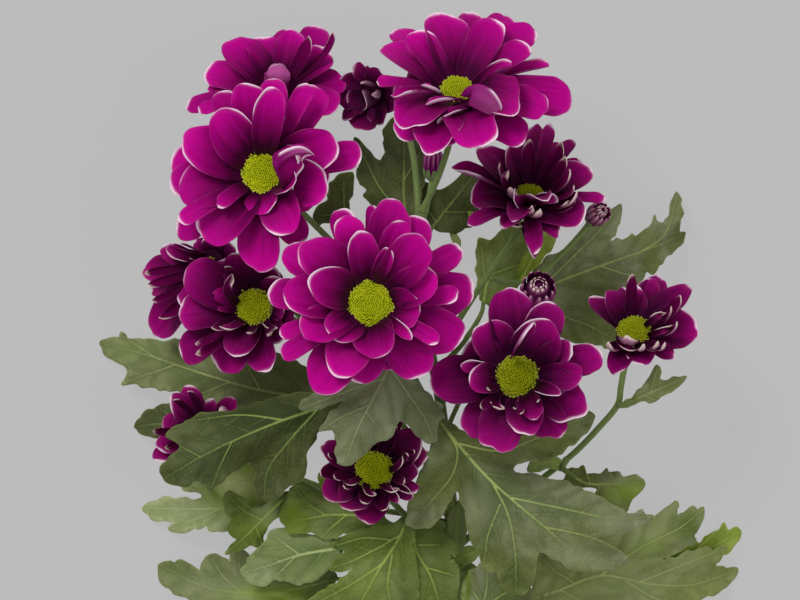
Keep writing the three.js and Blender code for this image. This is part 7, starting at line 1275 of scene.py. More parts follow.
FREE = {
    "03": [
        ([(441, 97, 92), (436, 92, 97), (429, 88, 99), (421, 86, 98)], 3.6, (0.3, 0.9, 0.2), (0.2, 0.8, 0.4), 0, dict(cup=(1.2, 1.0), base_w=0.6, point=0.6, tip_k=1.6, arc=(2.6, 2.6, 1.0))),
        ([(465, 101, 95), (452, 100, 99), (439, 101, 101), (426, 105.5, 100)], 4.2, (0.1, 0.9, 0.2), (0.0, 0.8, 0.4), 0, dict(cup=(1.2, 1.0), base_w=0.6, point=0.6, tip_k=1.6, arc=(2.6, 2.6, 1.0))),
        ([(474, 104, 97), (462, 109, 101), (449, 114, 103), (438, 125, 101)], 4.2, (0.3, 0.8, 0.2), (0.3, 0.7, 0.4), 0, dict(cup=(1.2, 1.0), base_w=0.6, point=0.6, tip_k=1.6, arc=(2.6, 2.6, 1.0))),
        ([(437, 98, 90), (420, 97.5, 94), (404, 97, 95), (391, 96, 94)], 3.4, (0.0, 0.9, 0.3), (0.0, 0.8, 0.4), 0, dict(cup=(1.2, 1.0), base_w=0.5, point=0.6, tip_k=1.6, arc=(2.6, 2.6, 1.0))),
    ],
    "09": [
        ([(512, 356, 94), (517, 344, 102), (524, 333, 106), (534, 322, 105)], 5.2, (0.6, -0.2, 0.7), (0.75, -0.3, 0.55), 0, dict(cup=(1.5, 1.4), base_w=0.6, point=0.4, tip_k=1.4, arc=(1.2, 1.6, 1.0))),
        ([(534, 394, 84), (524, 400, 92), (521, 407, 95), (516, 411, 92)], 4.4, (0.1, 0.7, 0.7), (0.2, 0.6, 0.7), 1, dict(cup=(1.0, 1.2), base_w=0.6, point=0.4, tip_k=1.4, arc=(0.8, 1.8, 1.0))),
        ([(497, 392, 86), (494, 400, 92), (496, 407, 94), (504, 409, 92)], 4.2, (0.3, 0.6, 0.7), (0.1, 0.7, 0.7), 1, dict(cup=(1.0, 1.2), base_w=0.6, point=0.4, tip_k=1.4, arc=(-0.8, 1.8, 1.0))),
        ([(537, 386, 88), (548, 392, 94), (556, 394, 95), (564, 391, 92)], 3.4, (0.0, 0.6, 0.8), (0.1, 0.8, 0.6), 1, dict(cup=(1.2, 1.1), base_w=0.5, point=0.6, tip_k=1.6, arc=(1.2, 1.6, 1.0))),
    ],
    "10": [
        ([(645, 326, 66), (652, 320, 71), (658, 315, 73), (665, 312, 71)], 3.0, (-0.5, -0.4, 0.7), (-0.5, -0.4, 0.7), 1, dict(cup=(1.2, 1.1), base_w=0.5, point=0.6, tip_k=1.6, arc=(1.2, 1.8, 1.0))),
        ([(648, 336, 66), (656, 332, 71), (663, 329, 73), (672, 325, 71)], 3.2, (-0.4, -0.4, 0.7), (-0.3, -0.6, 0.7), 1, dict(cup=(1.2, 1.1), base_w=0.5, point=0.6, tip_k=1.6, arc=(1.2, 1.8, 1.0))),
        ([(618, 338, 66), (621, 345, 71), (628, 349, 73), (637, 349, 70)], 4.0, (0.4, 0.6, 0.7), (0.1, 0.6, 0.8), 1, dict(cup=(1.0, 1.2), base_w=0.6, point=0.4, tip_k=1.4, arc=(-0.8, 1.8, 0.9))),
        ([(642, 343, 66), (646, 348, 70), (652, 350, 71), (659, 347, 69)], 3.6, (0.2, 0.6, 0.7), (0.1, 0.7, 0.7), 1, dict(cup=(1.0, 1.2), base_w=0.6, point=0.4, tip_k=1.4, arc=(0.8, 1.8, 1.0))),
    ],
    "05": [
        ([(509, 192, 70), (504, 184, 76), (503, 176, 79), (508, 170, 79)], 3.2, (0.8, -0.2, 0.5), (0.5, -0.6, 0.5), 1, dict(cup=(1.2, 1.3), base_w=0.5, point=0.6, tip_k=1.6, arc=(-1.2, 1.6, 1.0))),
        ([(527, 211, 72), (522, 205, 79), (516, 198, 83), (514, 190, 81)], 5.6, (0.6, 0.1, 0.7), (0.7, -0.2, 0.6), 0, dict(cup=(0.7, 0.9), base_w=0.7, point=0.3, tip_k=1.3, arc=(1.2, 1.8, 1.0))),
        ([(532, 207, 74), (537, 200, 80), (546, 197, 81), (557, 201, 77)], 4.4, (0.0, -0.2, 0.9), (0.0, -0.3, 0.9), 0, dict(cup=(0.8, 0.8), base_w=0.6, point=0.4, tip_k=1.4, arc=(1.2, 1.6, 1.0))),
        ([(526, 206, 74), (527, 212, 79), (531, 216, 79), (537, 214, 77)], 2.8, (0.3, 0.6, 0.6), (0.1, 0.7, 0.7), 0, dict(cup=(1.0, 1.2), base_w=0.6, point=0.5, tip_k=1.5, arc=(0.8, 1.8, 1.0))),
        ([(548, 212, 72), (559, 212, 76), (568, 208, 77), (575, 201, 75)], 3.8, (0.0, 0.7, 0.7), (-0.2, 0.6, 0.7), 1, dict(cup=(1.1, 1.2), base_w=0.5, point=0.5, tip_k=1.5, arc=(1.2, 1.6, 1.0))),
        ([(506, 210, 70), (507, 219, 73), (512, 225, 74), (522, 227, 72)], 3.6, (0.5, 0.5, 0.6), (0.1, 0.7, 0.7), 1, dict(cup=(1.0, 1.2), base_w=0.6, point=0.5, tip_k=1.5, arc=(-1.2, 1.6, 1.0))),
        ([(524, 222, 66), (529, 236, 68), (533, 247, 66), (535, 259, 62)], 4.8, (0.1, 0.2, 0.9), (0.1, 0.1, 1.0), 0, dict(cup=(1.1, 0.9), base_w=0.6, point=0.75, tip_k=2.0, arc=(-1.2, 1.2, 0.9))),
    ],
    "07": [
        ([(238, 303, 68), (228, 294, 75), (226, 284, 78), (232, 274, 77)], 4.0, (0.7, -0.3, 0.5), (0.4, -0.6, 0.6), 1, dict(cup=(1.1, 1.2), base_w=0.6, point=0.4, tip_k=1.4, arc=(-1.2, 1.6, 1.0))),
        ([(246, 319, 66), (238, 325, 72), (229, 329, 74), (220, 328, 72)], 3.8, (0.3, 0.7, 0.6), (0.2, 0.7, 0.6), 1, dict(cup=(1.1, 1.2), base_w=0.6, point=0.4, tip_k=1.4, arc=(1.2, 1.6, 1.0))),
        ([(262, 318, 66), (266, 325, 71), (270, 329, 72), (277, 328, 70)], 3.6, (0.1, 0.7, 0.6), (0.1, 0.7, 0.6), 1, dict(cup=(1.1, 1.2), base_w=0.6, point=0.4, tip_k=1.4, arc=(-1.2, 1.6, 1.0))),
    ],
    "11": [
        ([(362, 476, 66), (354, 482, 71), (348, 484, 72), (343, 481, 71)], 3.0, (0.3, 0.6, 0.7), (0.5, 0.4, 0.7), 1, dict(cup=(1.1, 1.2), base_w=0.6, point=0.5, tip_k=1.5, arc=(1.2, 1.8, 1.0))),
        ([(368, 482, 66), (366, 490, 71), (369, 495, 72), (376, 495, 71)], 3.2, (0.2, 0.7, 0.7), (0.1, 0.7, 0.7), 1, dict(cup=(1.1, 1.2), base_w=0.6, point=0.5, tip_k=1.5, arc=(-1.2, 1.8, 1.0))),
        ([(380, 482, 66), (386, 489, 70), (392, 492, 70), (399, 489, 68)], 3.0, (-0.1, 0.7, 0.7), (-0.2, 0.7, 0.6), 1, dict(cup=(1.1, 1.2), base_w=0.6, point=0.5, tip_k=1.5, arc=(-1.2, 1.8, 1.0))),
        ([(388, 470, 66), (396, 468, 71), (402, 463, 72), (404, 455, 70)], 3.0, (-0.6, 0.1, 0.7), (-0.7, 0.0, 0.6), 1, dict(cup=(1.1, 1.2), base_w=0.6, point=0.5, tip_k=1.5, arc=(-1.2, 1.8, 1.0))),
    ],
    "01": [
        ([(276, 92, 50), (276, 86, 60), (277, 78, 66), (277, 70, 66), (276, 64, 62)], 10.4, (0.0, 0.7, -0.6), (0.0, -0.3, -0.9), 0, dict(cup=(0.9, 1.1), base_w=0.8, point=0.0, tip_k=0.8, arc=(0.0, 0.7, 0.5), lip=0.1)),
    ],
}

R0 = random.Random(5)
for h in HEADS:
    k = h["id"]
    tone = TONE[k]
    F = head_frame(h["c"], h["n"])
    rd = h["rd"]
    B = Build()
    young = k in ("05", "10", "11", "12", "08", "04")
    order = {}
    for row in range(4):
        for j, i in enumerate(sorted((i for i, q in enumerate(h["pet"]) if q[10] == row and q[11] == 0), key=lambda i: h["pet"][i][0])):
            order[i] = 1 if j % 2 else -1
    for i, q in enumerate(h["pet"]):
        q = list(q)
        kind, row = q[11], q[10]
        if k == "03" and kind in (1, 2):
            continue
        if k == "05":
            dphi, fl, fw = {10: (7, 1.0, 1.6), 9: (-3, 0.95, 1.15), 12: (0, 1.16, 1.1), 13: (0, 1.1, 1.1), 7: (-4, 1.0, 1.1), 0: (0, 1.02, 1.0)}.get(i, (0, 1.0, 1.0))
            q[0], q[3], q[4] = q[0] + dphi, q[3] * fl, q[4] * fw
        if k == "03":
            dphi, fl, fw = {2: (-2, 1.0, 0.8), 16: (18, 1.02, 0.95), 17: (2, 1.0, 1.0), 4: (0, 1.0, 0.9), 13: (6, 1.08, 1.0), 12: (0, 1.08, 1.0), 10: (-6, 1.0, 1.1), 9: (-6, 1.0, 1.0), 8: (-2, 1.0, 1.0)}.get(i, (0, 1.0, 1.0))
            q[0], q[3], q[4] = q[0] + dphi, q[3] * fl, q[4] * fw
        if i in order:
            kk = np.linspace(0, 1, 20) ** q[7]
            c0 = np.cos(np.radians(q[5] + (q[6] - q[5]) * kk)).mean()
            q[5] += 4.0 * order[i]
            q[6] += 2.5 * order[i]
            q[2] += 0.25 * order[i]
            q[3] *= c0 / np.cos(np.radians(q[5] + (q[6] - q[5]) * kk)).mean()
        R = random.Random("w" + k + "_%d" % i)
        kw = {}
        if kind == 0:
            q[4] *= (1.16, 1.18, 1.16, 1.08)[min(3, row)] if q[4] > 6.5 else 1.05
            kw["base_w"] = 0.52 if q[4] > 8 else 0.42
            kw["wavy"] = R.uniform(0.5, 1.0) if (k in ("03", "09") and 190 < q[0] < 350 and row < 3) else R.choice((0, 0, 0.25))
            kw["shade"] = 0.0
            kw["point"] = R.uniform(0.15, 0.45) if young else R.choice((0.0, 0.0, 0.15))
            kw["tip_k"] = R.uniform(1.25, 1.6) if young else R.uniform(1.0, 1.2)
            if k == "10" and not (q[0] % 360 < 40 or q[0] % 360 > 325):
                kw["shade"] = -0.45
            if young and row >= 2:
                kw["arc"] = (R.uniform(-0.3, 0.3), 1.3, 0.7)
        elif kind in (1, 3):
            # incurved narrow petals: mostly dark, with a thin pale margin
            if kind == 1:
                q[5], q[6] = max(q[5], 12), min(q[6], 96)
                q[4] *= R.uniform(0.85, 1.1)
            kw.update(cup=(0.9, 1.25), base_w=0.55, point=0.55, tip_k=1.7, lip=0.25, arc=(R.uniform(-0.4, 0.4), 0.72, 1.25), ruffle=0.6)
        elif kind == 2:
            kw.update(cup=(0.9, 1.1), base_w=0.6, point=0.25, tip_k=1.2, arc=(R.uniform(-0.5, 0.5), 1.3, 0.9))
        elif kind == 4:
            q[4] *= 1.15
            kw.update(cup=(1.9, 1.7), base_w=0.6, point=0.4, tip_k=1.6, arc=(R.choice((-1.4, 1.4)), 1.2, 0.9))
        else:
            kw.update(cup=(1.0, 0.9), base_w=0.6, point=0.35, tip_k=1.4, arc=(R.uniform(-0.5, 0.5), 1.2, 0.8))
        if kind in (1, 2, 3):
            kw["weak"] = 0.03
        ray(B, F, q, k + "_%d" % i, mat=1 if kind in (1, 3) else 0, **kw)
    # short petals underneath close the gaps, darkened with painted shade
    if h["open"] < 2:
        big = sorted(q[3] for q in h["pet"] if q[10] == 0)
        Lm = big[len(big) // 2] if big else 24.0
        for j in range(11):
            R = random.Random("u" + k + "_%d" % j)
            q = (360.0 * j / 11 + R.uniform(-8, 8), 0.62 * rd, -2.9 + 0.3 * (j % 2), Lm * R.uniform(0.56, 0.70) * (0.8 if k == "03" else 1.0), 11.5, -2 + 2 * (j % 2), -20, 1.0, 0.25, 2.0, 0, 0)
            ray(B, F, q, "u" + k + "_%d" % j, mat=0, base_w=0.6, shade=-0.45, weak=0.04, arc=(R.uniform(-0.6, 0.6), 0.6, 0.35), ruffle=0.4, lip=0.1, rows=ROWS_LOW, cols=COLS_LOW)
    for j, (left, right, bulge, mt, kw) in enumerate(PATCH.get(k, ())):
        patch_petal(B, left, right, bulge, "p" + k + "_%d" % j, mat=mt, **kw)
    for j, fp in enumerate(FREE.get(k, ())):
        pts, W, n0, n1, mt, kw = fp
        free_petal(B, pts, W, n0, n1, "f" + k + "_%d" % j, mat=mt, **kw)
    lathe(B, F, [(0.2, -3.5), (0.62 * rd, -3.3), (1.0 * rd, -1.5), (1.0 * rd, -0.2), (0.86 * rd, 0.1), (0.2, 0.1)], 28, 0 if k in ("01", "03", "10", "04", "08", "12", "05") else 2, side=1.0, rim=9.0)
    mats = [M_PETAL[tone], M_CREAM[tone], M_RECEPT, M_DISC]
    lob = (4, 0.10, 0.25) if k == "06" else (R0.choice((3, 4, 5)), R0.uniform(0.02, 0.05), R0.uniform(0, 6))
    if not h["disc"]:
        florets(B, F, rd * {"04": 0.25, "08": 0.5, "12": 0.35}[k], k + "d", 3, lobes=lob, lum=0.7)
    ob = B.object("rays_" + k, mats)
    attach(ob, "root")
    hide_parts("head_%s_rays" % k)
    rf = {"01": 0.42, "03": 0.86, "10": 0.98}.get(k, 1.0)
    if h["disc"]:
        D = Build()
        lathe(D, F, [(0.2, -0.4), (0.80 * rd * rf, -0.4), (0.84 * rd * rf, 0.3), (0.6 * rd * rf, 1.1), (0.2, 1.5)], 24, 0, s=0.2, side=1.0, rim=0.7)
        florets(D, F, rd * rf, k + "d", 0, lobes=lob, lum={"06": 1.06, "02": 1.2, "09": 0.68, "07": 0.92, "11": 1.02, "05": 0.8, "10": 0.74}.get(k, 0.95))
        ob = D.object("disc_" + k, [M_DISC])
        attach(ob, "root")
        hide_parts("head_%s_disc" % k)
    S = Build()
    c, n = F[0], F[1]
    bract_cup(S, F, rd, 1)
    path = [c - 7.4 * n, c - 11.5 * n] + [np.array(p) for p in h["stalk"]]
    tube(S, path, lambda x: 1.45 - 0.4 * min(1, x / 0.12) + 0.35 * max(0, (x - 0.9) / 0.1), 0, sides=14, ribs=5, rib=0.06, seed=k)
    ob = S.object("stalk_" + k, [M_STALK, M_CALYX])
    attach(ob, "root")
    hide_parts("head_%s_stalk" % k)

# ------------------------------------------------------------------ buds
for q in BUDS:
    k = q["id"]
    F = head_frame(q["c"], q["n"])
    c, n = F[0], F[1]
    r, hh = q["r"], q["h"]
    B = Build()
    lathe(B, F, [(0.3, -0.52 * hh), (0.6 * r, -0.46 * hh), (0.86 * r, -0.2 * hh), (0.84 * r, 0.1 * hh), (0.6 * r, 0.32 * hh), (0.2, 0.42 * hh)], 20, 1, s=0.3, side=1.0)
    for ri, (cnt, rr, h0, L, e0, e1) in enumerate(((12, 0.55, -0.34, 0.86, 74, 112), (10, 0.42, -0.2, 0.78, 80, 112), (7, 0.24, 0.0, 0.58, 84, 104))):
        for i in range(cnt):
            phi = 360.0 * (i + 0.37 * ri) / cnt
            ray(B, F, (phi, rr * r + 0.25 * r * (ri == 0), h0 * hh, L * hh, 0.62 * r, e0 - 14, e1, 1.0, 0.9, 8, 0, 1), "bud%s%d_%d" % (k, ri, i), 0 if k == "14" else 1, thick=0.4, rows=ROWS_LOW, cols=COLS_LOW, ruffle=0.4, base_w=0.6, lip=0.15, point=0.4, arc=(0.0, 0.6, 0.6 if ri else 0.35), weak=0.02)
    for ri, (cnt, L) in enumerate(((9, 0.42), (8, 0.34))):
        for i in range(cnt):
            phi = 360.0 * (i + 0.5 * ri) / cnt
            ray(B, F, (phi, 0.45 * r, -0.54 * hh, L * hh * (1.2 if ri == 0 else 1), 0.62 * r, 16, 92, 0.7, 0.6, 3, 0, 0), "bc%s%d_%d" % (k, ri, i), 2, thick=0.45, rows=ROWS_LOW, cols=COLS_LOW, ruffle=0.2, base_w=0.8, lip=0.1, point=0.5)
    path = [c - 0.44 * hh * n] + [np.array(p) for p in q["stalk"]]
    tube(B, path, lambda x: 1.05 - 0.2 * min(1, x / 0.15) + 0.3 * max(0, (x - 0.9) / 0.1), 3, sides=12, ribs=5, rib=0.06, seed=k)
    ob = B.object("bud_piece_" + k, [M_BUD, M_BUD2, M_CALYX, M_STALK])
    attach(ob, "root")
    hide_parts("bud_" + k)

# ------------------------------------------------------------------ main stem
def bract(build, pts, W, seed, mat):
    """a small plain leaf along a line"""
    free_petal(build, pts, W, (0.0, 0.0, 1.0), (0.0, 0.0, 1.0), seed, mat=mat, thick=0.4, rows=ROWS_LOW, cols=COLS_LOW, cup=(0.5, 0.4), ruffle=0.5, base_w=0.6, point=0.5, tip_k=1.4, lip=0.0)
    t, d = build.at["u"][-1], build.at["rim"][-1]
    build.at["s"][-1] = np.exp(-(t / 0.16) ** 2) * 0.8
    build.at["u"][-1] = np.exp(-np.abs(t) * 2.0)
    build.at["rim"][-1] = np.exp(-(d / 0.35) ** 2)
    build.at["aux"][-1] = t * 0.0 + 0.3

def stem_radius(x):
    r = 3.05 + (1.55 - 3.05) * x
    return r
B = Build()
C, T = tube(B, MAIN, lambda x: stem_radius(x) * (1 + 0.0 * x), 0, sides=28, ribs=7, rib=0.035, step=1.5, seed="main")
for j, (pts, W, m) in enumerate((
        ([(456, 561, 27), (467, 555, 29), (481, 549, 28)], 6.4, 2), ([(459, 612, 23), (464, 592, 27), (461, 570, 28)], 5.0, 2),
        ([(452, 540, 29), (441, 529, 33), (430, 520, 33)], 5.6, 2), ([(453, 556, 27.5), (457, 528, 33), (459, 500, 35)], 7.6, 3),
        ([(457, 582, 25), (468, 570, 28), (480, 573, 27)], 6.0, 3), ([(452, 520, 31), (447, 505, 35), (449, 488, 36)], 5.0, 3))):
    bract(B, pts, W, "s%d" % j, m)
ob = B.object("stem_main", [M_MAIN, M_PITH, M_LEAF["lime"], M_LEAF["green"]])
bm = bmesh.new()
bm.from_mesh(ob.data)
p0 = (np.array(MAIN[0]) + SHIFT) * MM
ca = math.radians(35)
co = Vector((p0[0], p0[1] + 0.005, p0[2]))
no = Vector((0, -math.cos(ca), math.sin(ca)))
res = bmesh.ops.bisect_plane(bm, geom=bm.verts[:] + bm.edges[:] + bm.faces[:], plane_co=co, plane_no=no, clear_outer=True, dist=1e-6)
edges = [e for e in res["geom_cut"] if isinstance(e, bmesh.types.BMEdge)]
fill = bmesh.ops.contextual_create(bm, geom=edges)
for f in fill["faces"]:
    f.material_index = 1
    f.smooth = False
bm.to_mesh(ob.data)
bm.free()
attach(ob, "root")
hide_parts("main_stem")

# ------------------------------------------------------------------ leaves
def inside(px, py, poly):
    x, y = poly[:, 0], poly[:, 1]
    x2, y2 = np.roll(x, -1), np.roll(y, -1)
    r = np.zeros(len(px), bool)
    for a, b, c_, d in zip(x, y, x2, y2):
        cond = (b > py) != (d > py)
        with np.errstate(divide="ignore", invalid="ignore"):
            xi = (c_ - a) * (py - b) / (d - b) + a
        r ^= cond & (px < xi)
    return r

def seg_dist(P, A, B_):
    """distance from points P (n,2) to segments A-B (m,2)"""
    best = np.full(len(P), 1e9)
    D = B_ - A
    L2 = np.maximum((D * D).sum(1), 1e-12)
    for i in range(0, len(P), 512):
        X = P[i:i + 512, None] - A[None]
        t = np.clip((X * D[None]).sum(2) / L2, 0, 1)
        best[i:i + 512] = np.sqrt((((X - t[..., None] * D[None]) ** 2).sum(2)).min(1))
    return best

def sampled(lines, step=0.25):
    """dense samples of polylines: points, line number, position along it 0..1"""
    P, I, T = [], [], []
    for k, l in enumerate(lines):
        d = np.r_[0, np.cumsum(np.hypot(*np.diff(l, axis=0).T))]
        n = max(2, int(d[-1] / step) + 1)
        q = np.linspace(0, d[-1], n)
        P.append(np.stack([np.interp(q, d, l[:, 0]), np.interp(q, d, l[:, 1])], axis=1))
        I.append(np.full(n, k))
        T.append(q / d[-1])
    return np.concatenate(P), np.concatenate(I), np.concatenate(T)

def nearest(tree, X):
    out = np.empty(len(X))
    idx = np.empty(len(X), int)
    for k, (x, y) in enumerate(X):
        _, i, d = tree.find((x, y, 0.0))
        out[k] = d
        idx[k] = i
    return out, idx

def make_tree(P):
    t = KDTree(len(P))
    for i, (x, y) in enumerate(P):
        t.insert((x, y, 0.0), i)
    t.balance()
    return t

# blades a little larger than their outline points
GROW = {"15": 0.5, "16": 0.5, "17": 0.7, "18": 0.7, "19": 0.4, "20": 0.7, "22": 0.1, "24": 0.5, "03": 0.1, "13": 0.3, "06": 0.5, "05": 0.2}
# painted sunlight, lime (+), and painted shade (-) on the leaves: picture x, y, radii, strength
PAINTED_SUN_AND_SHADE = {
    "15": [(236, 484, 28, 24, 2.0)],
    "08": [(630, 492, 24, 16, 1.0), (592, 474, 26, 8, -0.6)],
    "05": [(452, 440, 24, 26, -0.45), (488, 462, 30, 22, -0.5), (506, 492, 30, 20, -1.0), (562, 512, 34, 14, -0.45), (490, 534, 18, 20, -0.45), (516, 578, 16, 22, -0.6), (470, 510, 20, 40, -0.3), (560, 432, 30, 14, 0.25)],
    "06": [(650, 545, 40, 16, 0.3), (688, 527, 16, 16, -1.3), (640, 590, 50, 12, 0.15)],
    "19": [(380, 524, 26, 12, -0.6), (340, 546, 14, 8, -0.8), (368, 552, 20, 14, -0.35), (410, 600, 10, 34, -0.6), (372, 585, 20, 30, 0.25)],
    "20": [(440, 532, 24, 16, -0.6), (445, 575, 20, 40, -0.55)],
    "18": [(185, 580, 30, 14, -0.15), (216, 572, 10, 14, -0.4), (275, 595, 44, 10, 1.2)],
    "16": [(285, 500, 10, 16, -0.8), (255, 522, 18, 14, 0.35)],
    "17": [(282, 562, 22, 12, -0.3), (316, 552, 26, 16, -1.1)],
    "22": [(293, 513, 14, 16, 0.9), (304, 478, 22, 8, 0.8), (327, 474, 14, 12, 1.0), (284, 494, 6, 16, -0.6), (305, 488, 12, 5, -0.6), (340, 522, 20, 12, -0.5)],
    "24": [(463, 588, 8, 26, 1.7), (500, 590, 24, 24, -0.6)],
    "03": [(268, 415, 46, 18, -1.3), (235, 450, 34, 22, -0.5), (200, 470, 30, 14, -0.3), (310, 430, 16, 20, -0.3)],
    "01": [(280, 370, 60, 20, -0.5), (202, 378, 24, 14, -0.7), (130, 350, 20, 10, 0.15)],
    "10": [(600, 300, 40, 20, -0.4), (560, 290, 30, 20, -0.3), (612, 258, 26, 12, -0.2)],
    "04": [(312, 405, 16, 8, -0.3)],
}

# painted grey sheen on raised parts of the leaves: picture x, y, radii, strength
PAINTED_GREY_SHEEN = {
    "05": [(612, 522, 26, 14, 0.6), (572, 552, 24, 12, 0.7), (600, 562, 22, 8, 0.5), (478, 500, 10, 14, 0.4), (520, 500, 20, 16, 0.15)],
    "06": [(690, 560, 20, 16, 0.35), (640, 585, 40, 12, 0.15)],
    "16": [(265, 510, 14, 14, 0.5)],
    "18": [(200, 585, 30, 12, 0.45), (240, 596, 20, 8, 0.4)],
    "15": [(190, 510, 24, 10, 0.3)],
    "08": [(616, 480, 12, 5, 0.5)],
    "17": [(262, 572, 16, 10, 0.3)],
    "04": [(330, 360, 20, 20, 0.2)],
}
# the outline widened at places: picture x, y, radii, mm
WIDEN = {
    "06": [(564, 556, 26, 12, 2.6), (612, 534, 20, 9, 1.8), (537, 566, 9, 14, 2.0)],
    "05": [(527, 484, 15, 9, 3.0), (560, 487, 14, 6, 0.8)],
    "18": [(283, 588, 26, 9, 2.4)],
    "22": [(345, 500, 30, 10, 1.6)],
    "17": [(315, 530, 26, 9, 1.6)],
    "15": [(238, 478, 26, 16, 2.0)],
    "20": [(444, 556, 10, 14, 2.0)],
}

def round_outline(o, step, seed):
    """soft outline through the lobe points with small irregular teeth"""
    O = np.array(o, float)[:, :2]
    n = len(O)
    pts = []
    for i in range(n):
        p0, p1, p2, p3 = O[i - 1], O[i], O[(i + 1) % n], O[(i + 2) % n]
        L = np.linalg.norm(p2 - p1)
        m = max(2, int(round(L / step)))
        k1, k2 = 0.5 * (p2 - p0) * 0.72, 0.5 * (p3 - p1) * 0.72
        for j in range(m):
            t = j / m
            h00, h10, h01, h11 = 2 * t ** 3 - 3 * t ** 2 + 1, t ** 3 - 2 * t ** 2 + t, -2 * t ** 3 + 3 * t ** 2, t ** 3 - t ** 2
            pts.append(h00 * p1 + h10 * k1 + h01 * p2 + h11 * k2)
    P = np.array(pts)
    R = random.Random(seed)
    d = np.r_[0, np.cumsum(np.linalg.norm(np.diff(P, axis=0), axis=1))]
    tan = np.roll(P, -1, axis=0) - np.roll(P, 1, axis=0)
    tan /= np.linalg.norm(tan, axis=1, keepdims=True) + 1e-9
    nor = np.stack([tan[:, 1], -tan[:, 0]], axis=1)
    if (P[:, 0] * np.roll(P[:, 1], -1) - np.roll(P[:, 0], -1) * P[:, 1]).sum() < 0:
        nor = -nor
    a = [R.uniform(0, 6.28) for _ in range(4)]
    per = 5.6 + 1.1 * np.sin(2 * math.pi * d / 37.0 + a[3])
    saw = (np.cumsum(np.r_[0, np.diff(d)] / per) + a[0]) % 1.0
    tooth = np.where(saw < 0.68, (saw / 0.68) ** 0.7, (1 - (saw - 0.68) / 0.32) ** 1.3)
    w = 0.95 * (tooth - 0.45) * (0.55 + 0.45 * np.sin(2 * math.pi * d / 23.0 + a[1])) + 0.10 * np.sin(2 * math.pi * d / 7.1 + a[2]) + GROW.get(seed, 0.0)
    zz = float(np.mean([v[2] for v in o]))
    px, py = 400.0 + P[:, 0] * FOCAL_PX / (CAM_H - zz), 300.0 - P[:, 1] * FOCAL_PX / (CAM_H - zz)
    for a0, b0, ra, rb, amt in WIDEN.get(seed, ()):
        w = w + amt * np.exp(-((px - a0) / ra) ** 2 - ((py - b0) / rb) ** 2)
    return P + nor * w[:, None]

def leaf_heights(XY, ctrl):
    d2 = (XY[:, None, 0] - ctrl[None, :, 0]) ** 2 + (XY[:, None, 1] - ctrl[None, :, 1]) ** 2
    w = 1.0 / (d2 + 3.3) ** 1.6
    z = (w * ctrl[None, :, 2]).sum(1) / w.sum(1)
    return z - 0.15 * np.sqrt(d2.min(1))

# small young leaves beside a larger one: picture x, y, height (negative: the height of the leaf there), width mm
BRACTS = {
    "08": [([(564, 467, 43.5), (546, 461, 43.5), (527, 471, 42.5)], 5.6)],
    "12": [([(478, 221, -1), (473, 216, 0), (468, 211, 0)], 3.0), ([(480, 220, -1), (485, 217, 0), (489, 213, 0)], 2.6), ([(452, 232, -1), (456, 240, 0), (460, 248, 0)], 3.0)],
}

